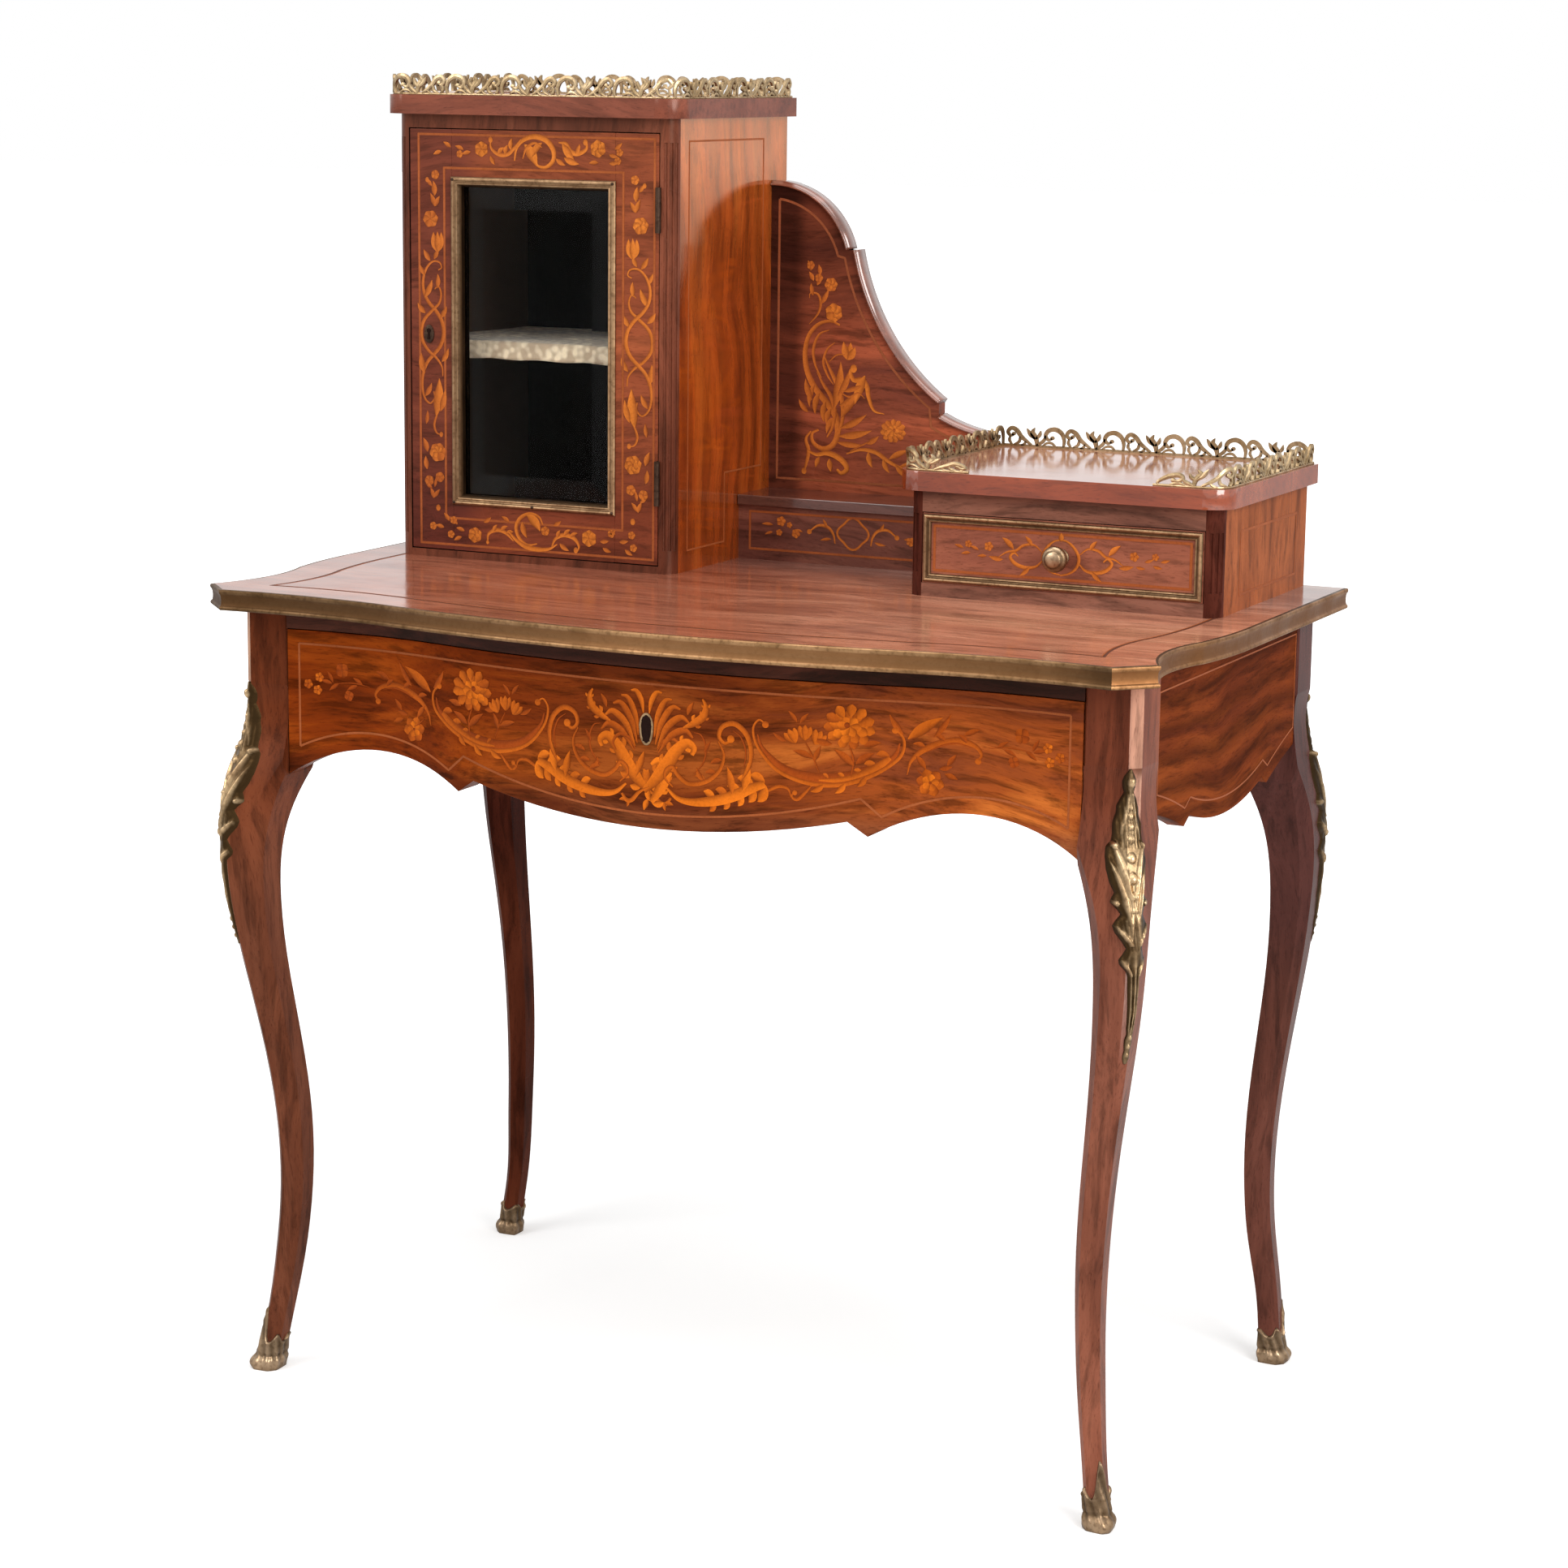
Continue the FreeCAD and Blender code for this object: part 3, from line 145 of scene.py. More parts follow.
def pale_floor():
    mesh = bpy.data.meshes.new("studio_floor")
    corners = [(-FLOOR_HALF, -FLOOR_HALF, 0), (FLOOR_HALF, -FLOOR_HALF, 0), (FLOOR_HALF, FLOOR_HALF, 0),
            (-FLOOR_HALF, FLOOR_HALF, 0)]
    mesh.from_pydata(corners, [], [(0, 1, 2, 3)])
    floor = stand("studio_floor", mesh)
    material = bpy.data.materials.new("studio_paper")
    tree = blank(material)
    place = put(tree, "NewGeometry").outputs["Position"]
    reach = put(tree, "VectorMath", {0: place}, operation="LENGTH").outputs["Value"]
    path = put(tree, "LightPath").outputs
    seen = reckon(tree, "MAXIMUM", path["Is Camera Ray"], path["Is Transmission Ray"])
    strength = reckon(tree, "MULTIPLY", seen, remap(tree, reach, 0.6, 3.2, 0.3, 1.0))
    paper = put(tree, "BsdfDiffuse", {"Color": colour(0.82, 0.82, 0.82)})
    glow = put(tree, "Emission", {"Color": colour(1, 1, 1), "Strength": strength})
    both = put(tree, "AddShader", {0: paper.outputs[0], 1: glow.outputs[0]})
    put(tree, "OutputMaterial", {"Surface": both.outputs[0]})
    mesh.materials.append(material)
    return floor


pale_floor()
print("floor laid,", 2 * FLOOR_HALF, "m wide")

# %% [markdown]
# The lamps are large, so that highlights on the polish are broad and shadows are soft. The
# room itself gives about half of the light. Rays that see the room directly find it white.

# %% Light the room
ROOM_LEVEL = 0.62
LAMPS = [
    ("key_lamp", (-2.3, -3.2, 2.9), 2.2, 66),
    ("side_lamp", (2.9, -1.6, 2.0), 1.8, 80),
    ("top_lamp", (0.2, -0.6, 3.6), 2.4, 46),
]
DESK_MIDDLE = Vector((0, 0, 0.65))


def white_room():
    world = bpy.data.worlds.new("studio_room")
    tree = blank(world)
    path = put(tree, "LightPath").outputs
    seen = reckon(tree, "MAXIMUM", path["Is Camera Ray"], path["Is Glossy Ray"])
    seen = reckon(tree, "MAXIMUM", seen, path["Is Transmission Ray"])
    level = remap(tree, seen, 0, 1, ROOM_LEVEL, 1.0)
    glow = put(tree, "Background", {"Color": colour(1, 1, 1), "Strength": level})
    put(tree, "OutputWorld", {"Surface": glow.outputs[0]})
    bpy.context.scene.world = world


def soft_lamp(name, place, side, power):
    lamp = bpy.data.lights.new(name, "AREA")
    lamp.size = side
    lamp.energy = power
    holder = stand(name, lamp)
    holder.location = place
    aim = DESK_MIDDLE - Vector(place)
    holder.rotation_euler = aim.to_track_quat("-Z", "Y").to_euler()


white_room()
for lamp in LAMPS:
    soft_lamp(*lamp)
print("lamps:", [lamp[0] for lamp in LAMPS])

# %% [markdown]
# Every wood here is cut as thin veneer and French polished. Three things make it read as
# wood: long streaks that follow the grain, fine dark pores, and a polish that is glossy but
# not quite even. Noise that is squeezed across the grain gives the streaks; the same noise,
# squeezed far more, gives the pores. The grain runs along one axis of the desk, so one recipe
# serves all the veneers. Light and shade are also painted into some of them: fades that make a
# face lighter or darker towards one side, darker upright faces on the box top, and a painted
# highlight on the canted corners of the legs.

# %% The recipe for polished veneer
GRAIN_AXES = {"x": (1, 9, 9), "y": (9, 1, 9), "z": (9, 9, 1)}
WARM = (1, 0.62, 0.46)


def finish_tree(name):
    material = bpy.data.materials.new(name)
    tree = blank(material)
    shader = put(tree, "BsdfPrincipled")
    put(tree, "OutputMaterial", {"Surface": shader.outputs[0]})
    return material, tree, shader


def noise(tree, vector, scale, detail=4.0, rough=0.55, warp=0.0):
    return put(tree, "TexNoise", {"Vector": vector, "Scale": scale, "Detail": detail, "Roughness": rough,
            "Distortion": warp}).outputs["Fac"]


def ramp(tree, value, *stops):
    made = put(tree, "ValToRGB", {"Fac": value})
    band = made.color_ramp
    while len(band.elements) < len(stops):
        band.elements.new(0.5)
    for element, (at, shade) in zip(band.elements, stops):
        element.position = at
        element.color = colour(*shade)
    return made.outputs["Color"]


def blend(tree, share, first, second, kind="MIX"):
    made = put(tree, "Mix", {"Factor": share}, data_type="RGBA", blend_type=kind)
    wire(tree, made, {6: first, 7: second})
    return made.outputs[2]


def tinted(tree, share, tone, by):
    """The tone multiplied by another, as far as share says."""
    return blend(tree, share, tone, by, "MULTIPLY")


def bumped(tree, height, strength, distance):
    return put(tree, "Bump", {"Height": height, "Strength": strength, "Distance": distance}).outputs[0]


def grain_space(tree, grain, shift):
    place = put(tree, "TexCoord").outputs["Object"]
    wander = put(tree, "TexNoise", {"Vector": place, "Scale": 3.2, "Detail": 2.0}).outputs["Color"]
    bent = reckon(tree, "SUBTRACT", wander, (0.5, 0.5, 0.5), "VectorMath")
    bent = put(tree, "VectorMath", {0: bent, 3: 0.09}, operation="SCALE").outputs[0]
    moved = reckon(tree, "ADD", place, bent, "VectorMath")
    return put(tree, "Mapping",
            {"Vector": moved, "Location": shift, "Scale": GRAIN_AXES[grain]}).outputs[0], place


def veneer(name, grain, dark, middle, light, shift=(0, 0, 0), streak=0.5, gloss=0.24, level=0.25,
           tint=WARM, figure=0.0, coat=0.0, upright_shade=None, light_fades=(), cant=None, index=1.5):
    material, tree, shader = finish_tree(name)
    along, place = grain_space(tree, grain, shift)
    broad = noise(tree, along, 2.6, 6, 0.62, 0.6)
    tone = ramp(tree, broad, (0.3, dark), (0.5, middle), (0.7, light))
    lines = ramp(tree, noise(tree, along, 14, 5, 0.6), (0.36, (1 - streak,) * 3), (0.52, (1, 1, 1)))
    tone = tinted(tree, 0.8, tone, lines)
    if figure:
        rings = put(tree, "TexWave", {"Vector": along, "Scale": 1.1, "Distortion": 5.5, "Detail": 3.0,
                "Detail Scale": 0.8}, wave_type="RINGS").outputs["Color"]
        tone = tinted(tree, figure, tone, rings)
    clouds = ramp(tree, noise(tree, place, 5.0, 3), (0.3, (0.82, 0.8, 0.8)), (0.7, (1.12, 1.12, 1.1)))
    tone = tinted(tree, 1.0, tone, clouds)
    pores = noise(tree, along, 90, 2, 0.5)
    tone = tinted(tree, 0.7, tone, ramp(tree, pores, (0.3, (0.55, 0.5, 0.5)), (0.42, (1, 1, 1))))
    # Position fades are painted light and shade: each makes a veneer lighter or darker towards one side,
    # as the lamps and the room light it.
    for axis, start, end, change in light_fades:
        share = remap(tree, part_of(tree, place, axis), start, end, interpolation_type="SMOOTHSTEP")
        tone = tinted(tree, share, tone, colour(*change))
    if cant or upright_shade:
        normal = put(tree, "NewGeometry").outputs["Normal"]
    # A painted highlight on the legs' canted corners: faces turned out to the corner are made paler and
    # bluer, fading in from 0.42 m up to 0.6 m.
    if cant:
        facing_way, change = cant
        turned = put(tree, "VectorMath", {0: normal, 1: facing_way},
                operation="DOT_PRODUCT").outputs["Value"]
        high = remap(tree, part_of(tree, place, "Z"), 0.42, 0.6)
        cant_highlight = reckon(tree, "MULTIPLY", remap(tree, turned, 0.955, 0.985), high)
        tone = tinted(tree, cant_highlight, tone, colour(*change))
    # Painted shade: upright faces are darkened, so the top reads lighter than its sides.
    if upright_shade:
        upright = remap(tree, part_of(tree, normal, "Z"), 0.3, 0.7, 1.0, 0.0)
        tone = tinted(tree, upright, tone, colour(*upright_shade))
    wire(tree, shader,
            {"Base Color": tone, "Roughness": remap(tree, noise(tree, place, 16, 3), 0.3, 0.75, gloss,
            gloss + 0.13), "Normal": bumped(tree, pores, 0.05, 0.0006), "Specular IOR Level": level,
            "Specular Tint": colour(*tint), "Coat Weight": coat, "Coat Roughness": 0.06, "Coat IOR": 1.9,
            "IOR": index})
    return material


WOODS = {
    # The writing surface carries a painted reflection: it turns paler and greyer from the middle to the
    # right, and greyer towards the back.
    "top": veneer("polished_top_veneer", "x", (0.20, 0.055, 0.031), (0.33, 0.103, 0.056),
        (0.46, 0.168, 0.096), streak=0.45, gloss=0.09, level=0.8, tint=(1, 0.86, 0.80),
        light_fades=[("X", -0.10, 0.24, (1.6, 2.1, 2.3)), ("Y", 0.04, 0.18, (0.66, 0.95, 1.3))]),
    # The box top: a lighter tone painted as light on its top, and painted shade on its upright faces.
    "slab": veneer("polished_box_top_veneer", "x", (0.30, 0.105, 0.065), (0.44, 0.17, 0.105),
        (0.55, 0.25, 0.17), (6, 1, 4), streak=0.3, gloss=0.05, level=1.0, tint=(1, 0.9, 0.86), coat=0.2,
        upright_shade=(0.74, 0.38, 0.20)),
    # The main drawer front carries painted light and shade: paler towards the right, bluer from the middle
    # rightwards, and darker and bluer along its foot.
    "drawer": veneer("drawer_front_veneer", "x", (0.080, 0.013, 0.003), (0.205, 0.031, 0.003),
        (0.41, 0.080, 0.007), (3, 0, 5), streak=0.66, level=0.12, index=1.25,
        light_fades=[("X", -0.20, -0.02, (0.88, 1.08, 2.0)), ("X", 0.06, 0.30, (2.0, 2.3, 2.4)),
        ("Z", 0.620, 0.594, (0.58, 0.64, 1.3))]),
    "apron": veneer("apron_veneer", "y", (0.115, 0.022, 0.008), (0.19, 0.038, 0.009),
        (0.28, 0.062, 0.012), (8, 0, 2), streak=0.52, gloss=0.26, level=0.04, index=1.12, figure=0.45),
    # The door's frame carries painted shade: darker at its far left edge and towards its foot.
    "front": veneer("cabinet_front_veneer", "x", (0.15, 0.034, 0.014), (0.24, 0.056, 0.022),
        (0.34, 0.086, 0.032), (7, 2, 1),
        light_fades=[("X", -0.32, -0.355, (0.62, 0.60, 0.85)), ("Z", 0.88, 0.80, (0.72, 0.66, 0.75))]),
    "cornice": veneer("cornice_veneer", "x", (0.13, 0.032, 0.018), (0.20, 0.052, 0.028),
        (0.27, 0.076, 0.043), (2, 7, 1), streak=0.4, gloss=0.18, level=0.4, tint=(1, 0.8, 0.7)),
    "dark": veneer("dark_rosewood", "z", (0.080, 0.021, 0.011), (0.135, 0.036, 0.018),
        (0.20, 0.058, 0.030), (1, 8, 0), gloss=0.20, level=0.2, tint=(1, 0.74, 0.62)),
    # The cabinet's sides carry a painted reflection: paler and less red towards the top.
    "side": veneer("figured_side_veneer", "z", (0.22, 0.038, 0.006), (0.40, 0.072, 0.009),
        (0.54, 0.125, 0.018), (0, 4, 2), streak=0.45, gloss=0.05, level=1.0, tint=(1, 0.66, 0.46),
        figure=0.35, index=2.3, light_fades=[("Z", 1.04, 1.16, (1.35, 1.5, 1.8))]),
    "boxside": veneer("box_side_veneer", "z", (0.24, 0.062, 0.018), (0.36, 0.098, 0.030),
        (0.47, 0.135, 0.042), (4, 4, 6), gloss=0.2, index=1.15),
    "stile": veneer("box_stile_rosewood", "z", (0.055, 0.014, 0.009), (0.095, 0.024, 0.015),
        (0.14, 0.040, 0.024), (6, 2, 9), level=0.15, index=1.2),
    "boxdrawer": veneer("box_drawer_veneer", "x", (0.17, 0.054, 0.035), (0.27, 0.087, 0.052),
        (0.37, 0.128, 0.072), (7, 9, 1), level=0.3),
    # The scrolled board carries painted light, paler towards its foot, and a painted shadow of the
    # cabinet, darker at its left edge.
    "board": veneer("scroll_board_veneer", "x", (0.046, 0.012, 0.009), (0.098, 0.025, 0.014),
        (0.18, 0.045, 0.023), (5, 5, 3), streak=0.6, gloss=0.22, level=0.2,
        light_fades=[("Z", 1.07, 0.93, (2.5, 2.4, 2.1)), ("X", -0.078, -0.098, (0.34, 0.34, 0.40))]),
    "cap": veneer("capping_rosewood", "x", (0.12, 0.040, 0.024), (0.20, 0.066, 0.040),
        (0.30, 0.105, 0.066), (9, 5, 3), streak=0.4, gloss=0.1, level=0.7, tint=(1, 0.9, 0.86), coat=0.5),
    "plinth": veneer("plinth_veneer", "x", (0.078, 0.025, 0.019), (0.148, 0.049, 0.035),
        (0.225, 0.079, 0.052), (5, 8, 3), streak=0.6, gloss=0.22),
    "ledge": veneer("ledge_rosewood", "x", (0.050, 0.018, 0.014), (0.090, 0.032, 0.024),
        (0.14, 0.052, 0.038), (2, 3, 8), streak=0.6, gloss=0.14, level=0.5, tint=(1, 0.85, 0.8),
        coat=0.4),
    # The rail under the table's edge: a dark wood made darker still by a painted shadow under the brass
    # moulding.
    "shaded_frieze": veneer("frieze_rosewood_in_painted_shadow", "x", (0.012, 0.003, 0.002), (0.036, 0.009, 0.006),
        (0.090, 0.026, 0.015), (2, 2, 2), streak=0.7, gloss=0.26, level=0.2),
    "boxrail": veneer("box_rail_veneer", "x", (0.115, 0.046, 0.033), (0.24, 0.100, 0.066),
        (0.37, 0.168, 0.115), (3, 6, 2), streak=0.6, level=0.3),
}
# Each leg's tones are scaled for the light on it, as painted light and shade: the front right leg
# is paler and the back left darker, the tops of the back legs and of the front right leg are
# shaded, the front left leg grows paler lower down, and the canted corners carry a painted highlight.
LEG_LIGHT_AND_SHADE = {"front_left": ((0.95, 0.80, 0.55), 0.12, 1.3, (-1, -1), ("Z", 0.64, 0.42, (1.0, 1.3, 1.8))),
        "front_right": ((1.42, 1.64, 1.85), 0.25, 1.3, (1, -1), ("Z", 0.50, 0.68, (0.86, 0.68, 0.54))),
        "back_left": ((0.62, 0.52, 0.46), 0.10, 1.2, (-1, 1), ("Z", 0.34, 0.47, (0.6, 0.52, 0.6))),
        "back_right": ((0.95, 1.10, 1.45), 0.2, 1.4, (1, 1), ("Z", 0.34, 0.47, (0.6, 0.6, 0.75)))}
LEG_TONES = ((0.080, 0.021, 0.011), (0.135, 0.036, 0.018), (0.20, 0.058, 0.030))
for leg, (change, shine, index, (sx, sy), fade) in LEG_LIGHT_AND_SHADE.items():
    leaf = [tuple(a * b for a, b in zip(tone, change)) for tone in LEG_TONES]
    outward = (sx * math.sqrt(0.5), sy * math.sqrt(0.5), 0)
    WOODS[leg] = veneer(leg + "_leg_veneer", "z", *leaf, (1, 8 + sx, sy), gloss=0.20, level=shine,
            tint=(1, 0.74, 0.62), cant=(outward, (3.4, 7.0, 10.5)), index=index, light_fades=[fade])
print("veneers:", sorted(WOODS))

# %% [markdown]
# The insides are plain work: oak for the drawers, stained boards for the backs, and a cabinet
# that is blackened inside so that the glass stays dark. The blackening is a mask: a point well
# inside the cabinet's own box takes the dark stain, so one board can be polished outside and
# black inside without being cut in two.

# %% Plain woods and the blackened inside
def plain_wood(name, grain, dark, light, rough=0.55, shift=(0, 0, 0)):
    material, tree, shader = finish_tree(name)
    along, place = grain_space(tree, grain, shift)
    tone = ramp(tree, noise(tree, along, 5, 6, 0.6, 0.4), (0.32, dark), (0.68, light))
    flecks = noise(tree, along, 60, 2, 0.5)
    tone = tinted(tree, 0.8, tone, ramp(tree, flecks, (0.34, (0.7, 0.66, 0.62)), (0.46, (1, 1, 1))))
    grime = ramp(tree, noise(tree, place, 7, 3), (0.35, (0.75, 0.72, 0.7)), (0.6, (1, 1, 1)))
    wire(tree, shader,
            {"Base Color": tinted(tree, 0.7, tone, grime),
            "Roughness": remap(tree, flecks, 0, 1, rough, rough + 0.2),
            "Normal": bumped(tree, flecks, 0.25, 0.0008)})
    return material


def blacken_inside(material, low, high):
    """Darkens what lies inside the box low to high, in metres, keeping the grain."""
    tree = material.node_tree
    shader = next(n for n in tree.nodes if n.type == "BSDF_PRINCIPLED")
    away = reckon(tree, "SUBTRACT", put(tree, "TexCoord").outputs["Object"],
            [(a + b) / 2 for a, b in zip(low, high)], "VectorMath")
    away = put(tree, "VectorMath", {0: away}, operation="ABSOLUTE").outputs[0]
    away = reckon(tree, "DIVIDE", away, [(b - a) / 2 for a, b in zip(low, high)], "VectorMath")
    parts = put(tree, "SeparateXYZ", {0: away}).outputs
    far = reckon(tree, "MAXIMUM", reckon(tree, "MAXIMUM", parts["X"], parts["Y"]), parts["Z"])
    inside = reckon(tree, "LESS_THAN", far, 1.0)
    base, rough = [shader.inputs[key].links[0].from_socket for key in ("Base Color", "Roughness")]
    matt = reckon(tree, "MULTIPLY", inside, 0.5)
    wire(tree, shader, {"Base Color": tinted(tree, inside, base, colour(0.022, 0.018, 0.022)),
            "Roughness": reckon(tree, "ADD", rough, matt, use_clamp=True)})


CABINET_ROOM = ((-0.4086, 0.0405, 0.7605), (-0.1364, 0.2692, 1.1852))
WOODS["oak"] = plain_wood("drawer_oak", "y", (0.24, 0.14, 0.065), (0.40, 0.25, 0.125))
WOODS["runner"] = plain_wood("runner_oak", "y", (0.16, 0.09, 0.045), (0.28, 0.17, 0.085), 0.65, (4, 1, 0))
WOODS["boards"] = plain_wood("back_boards", "z", (0.10, 0.045, 0.024), (0.21, 0.10, 0.052), 0.6, (9, 0, 3))
WOODS["case"] = veneer("cabinet_case_veneer", "z", (0.080, 0.021, 0.011), (0.135, 0.036, 0.018),
        (0.20, 0.058, 0.030), (3, 6, 0), streak=0.5, gloss=0.22, level=0.28, tint=WARM)
WOODS["case_boards"] = plain_wood("cabinet_back_boards", "z", (0.10, 0.045, 0.024), (0.21, 0.10, 0.052),
        0.6, (5, 0, 3))
for kind in ("case", "case_boards", "side"):
    blacken_inside(WOODS[kind], *CABINET_ROOM)
print("woods:", len(WOODS))

# %% [markdown]
# The inlay is a marquetry of yellow woods let into the dark ground. A marquetry cutter scorches
# one edge of each leaf in hot sand, which makes the flat pattern look rounded. Each little piece
# therefore carries two numbers at its points: how scorched it is there, and its own tone.

# %% Inlay woods
def inlay_wood(name, pale, mid, scorched, gloss=0.3):
    material, tree, shader = finish_tree(name)
    tone = put(tree, "Attribute", attribute_name="tone").outputs["Fac"]
    burnt = put(tree, "Attribute", attribute_name="burnt").outputs["Fac"]
    place = put(tree, "TexCoord").outputs["Object"]
    base = blend(tree, burnt, blend(tree, tone, colour(*mid), colour(*pale)), colour(*scorched))
    fibre = noise(tree, place, 420, 3, 0.6, 0.5)
    base = tinted(tree, 0.6, base, ramp(tree, fibre, (0.3, (0.72, 0.66, 0.6)), (0.55, (1, 1, 1))))
    patch = ramp(tree, noise(tree, place, 30, 2), (0.3, (0.8, 0.76, 0.72)), (0.7, (1.1, 1.08, 1.05)))
    wire(tree, shader,
            {"Base Color": tinted(tree, 0.8, base, patch),
            "Roughness": remap(tree, fibre, 0, 1, gloss, gloss + 0.15),
            "Normal": bumped(tree, fibre, 0.08, 0.0003), "Specular IOR Level": 0.1, "IOR": 1.35,
            "Specular Tint": colour(*WARM)})
    return material


INLAY = {
    "satinwood": inlay_wood("satinwood_inlay", (0.75, 0.178, 0.012), (0.34, 0.06, 0.008),
        (0.14, 0.026, 0.006)),
    "faded": inlay_wood("faded_satinwood_inlay", (0.66, 0.205, 0.032), (0.4, 0.1, 0.024),
        (0.18, 0.042, 0.014)),
    "string": inlay_wood("boxwood_string", (0.4, 0.112, 0.036), (0.3, 0.08, 0.026), (0.18, 0.05, 0.02)),
    "faint": inlay_wood("faint_boxwood_string", (0.34, 0.104, 0.044), (0.25, 0.076, 0.034),
        (0.11, 0.034, 0.017)),
    "line": inlay_wood("brown_border_line", (0.13, 0.046, 0.028), (0.09, 0.032, 0.02),
        (0.045, 0.016, 0.011), 0.45),
    # Not a wood: the painted shade of the keyholes, black where the hole would be.
    "keyhole_shade": inlay_wood("painted_keyhole_shadow", (0.022, 0.009, 0.007), (0.015, 0.007, 0.006),
        (0.006, 0.004, 0.004), 0.6),
}
print("inlays:", sorted(INLAY))

# %% [markdown]
# The mounts are cast brass that was lacquered gold long ago. The high places are rubbed bright
# and the hollows hold brown dirt. Cast pieces carry a number called hollow at every point, and
# a soft noise adds tarnish where no one ever rubbed.

# %% Aged brass, steel and glass
def aged_brass(name, bright, dull, dirt, rough=0.27, tarnish=0.5, hollows=True, band_light_ramp=None):
    material, tree, shader = finish_tree(name)
    place = put(tree, "TexCoord").outputs["Object"]
    cloud = noise(tree, place, 34, 5, 0.62)
    specks = ramp(tree, noise(tree, place, 260, 3), (0.36, (0.35, 0.3, 0.26)), (0.5, (1, 1, 1)))
    base = tinted(tree, tarnish, ramp(tree, cloud, (0.35, dull), (0.62, bright)), specks)
    if hollows:
        hollow = put(tree, "Attribute", attribute_name="hollow").outputs["Fac"]
        base = blend(tree, hollow, base, colour(*dirt))
    # Painted light and shade along the band: darker towards both ends of the front, lightest near the
    # middle, and faces turned to the right are darkened less.
    if band_light_ramp:
        side = remap(tree, part_of(tree, place, "X"), -0.465, 0.465)
        band_shading = ramp(tree, side, *[(at, (level,) * 3) for at, level in band_light_ramp])
        turned = part_of(tree, put(tree, "NewGeometry").outputs["Normal"], "X")
        band_shading = blend(tree, remap(tree, turned, 0.35, 0.6), band_shading, colour(0.92, 0.82, 0.74))
        base = tinted(tree, 1.0, base, band_shading)
    wire(tree, shader,
            {"Base Color": base, "Metallic": 1.0, "Roughness": remap(tree, cloud, 0.3, 0.7, rough + 0.2,
            rough), "Normal": bumped(tree, noise(tree, place, 300, 3), 0.25, 0.0005)})
    return material


def pane(name, strength, blur):
    material, tree, shader = finish_tree(name)
    place = put(tree, "TexCoord").outputs["Object"]
    wire(tree, shader, {"Base Color": colour(0.8, 0.84, 0.86), "Transmission Weight": 1.0,
            "IOR": strength, "Roughness": remap(tree, noise(tree, place, 9, 4), 0.4, 0.8, blur,
            blur + 0.06), "Normal": bumped(tree, noise(tree, place, 12, 1), 0.03, 0.001)})
    return material


METALS = {
    "mount": aged_brass("gilt_mount_brass", (0.72, 0.51, 0.29), (0.33, 0.21, 0.11),
        (0.045, 0.025, 0.010), 0.28),
    # A darker copy of the mount brass, for the shoes and the knob.
    "shoe": aged_brass("darker_shoe_brass", (0.50, 0.35, 0.22), (0.22, 0.14, 0.078), (0.050, 0.028, 0.013),
        0.26),
    "rail": aged_brass("polished_rail_brass", (0.92, 0.76, 0.66), (0.70, 0.55, 0.46), (0.4, 0.3, 0.2),
        0.12, tarnish=0.15, hollows=False),
    # The band's ramp of light levels along the front is painted light and shade; its hollows hold dirt.
    "band": aged_brass("table_band_brass", (0.44, 0.25, 0.12), (0.26, 0.14, 0.06), (0.23, 0.108, 0.043),
        0.36, band_light_ramp=[(0.15, 0.38), (0.43, 0.76), (0.50, 1.0), (0.72, 0.95), (0.91, 0.6), (0.96, 0.3)]),
    "plain": aged_brass("old_brass", (0.46, 0.30, 0.16), (0.27, 0.17, 0.09), (0.1, 0.06, 0.03), 0.36,
        hollows=False),
    "bezel": aged_brass("bezel_brass", (0.40, 0.25, 0.135), (0.25, 0.145, 0.076), (0.065, 0.034, 0.016),
        0.38),
    "gallery": aged_brass("gallery_brass", (0.66, 0.49, 0.29), (0.38, 0.26, 0.13), (0.10, 0.06, 0.03),
        0.32),
    "hinge": aged_brass("browned_hinge_brass", (0.085, 0.050, 0.034), (0.045, 0.028, 0.020), (0, 0, 0),
        0.5, hollows=False),
    "steel": aged_brass("lock_steel", (0.30, 0.29, 0.28), (0.17, 0.16, 0.15), (0, 0, 0), 0.35,
        hollows=False),
}
GLASS = pane("plate_glass", 1.10, 0.0)
GROUND = pane("ground_bevel_glass", 1.22, 0.05)
print("metals:", sorted(METALS))

# %% [markdown]
# The shelf is covered in an old cream brocade. Its woven pattern is a repeat of soft leaf
# shapes, which a cell texture gives without any drawing, over a fine over-and-under weave.

# %% Brocade
def brocade(name):
    material, tree, shader = finish_tree(name)
    place = put(tree, "TexCoord").outputs["Object"]
    leaf = put(tree, "TexVoronoi", {"Vector": place, "Scale": 150.0},
            feature="SMOOTH_F1").outputs["Distance"]
    motif = ramp(tree, leaf, (0.25, (1.0, 0.8, 0.58)), (0.52, (0.62, 0.44, 0.3)))
    faded = ramp(tree, noise(tree, place, 22, 4), (0.35, (0.8, 0.76, 0.7)), (0.65, (1.2, 1.16, 1.05)))
    threads, cross = [put(tree, "TexWave", {"Vector": place, "Scale": 330.0, "Distortion": 0.6},
            bands_direction=way).outputs["Fac"] for way in "XY"]
    weave = reckon(tree, "MULTIPLY", threads, cross)
    high = reckon(tree, "SUBTRACT", weave, leaf)
    wire(tree, shader,
            {"Base Color": tinted(tree, 1.0, motif, faded), "Normal": bumped(tree, high, 0.5, 0.0008),
            "Roughness": remap(tree, weave, 0, 1, 0.75, 0.95), "Sheen Weight": 0.35,
            "Sheen Roughness": 0.45})
    return material


CLOTH = brocade("cream_brocade")
print("cloth ready")

# %% [markdown]
# Many solids of the frame already have the right shape and only need their finish. A table of
# node to finish keeps this in one place, and the loop reports any node that was forgotten.

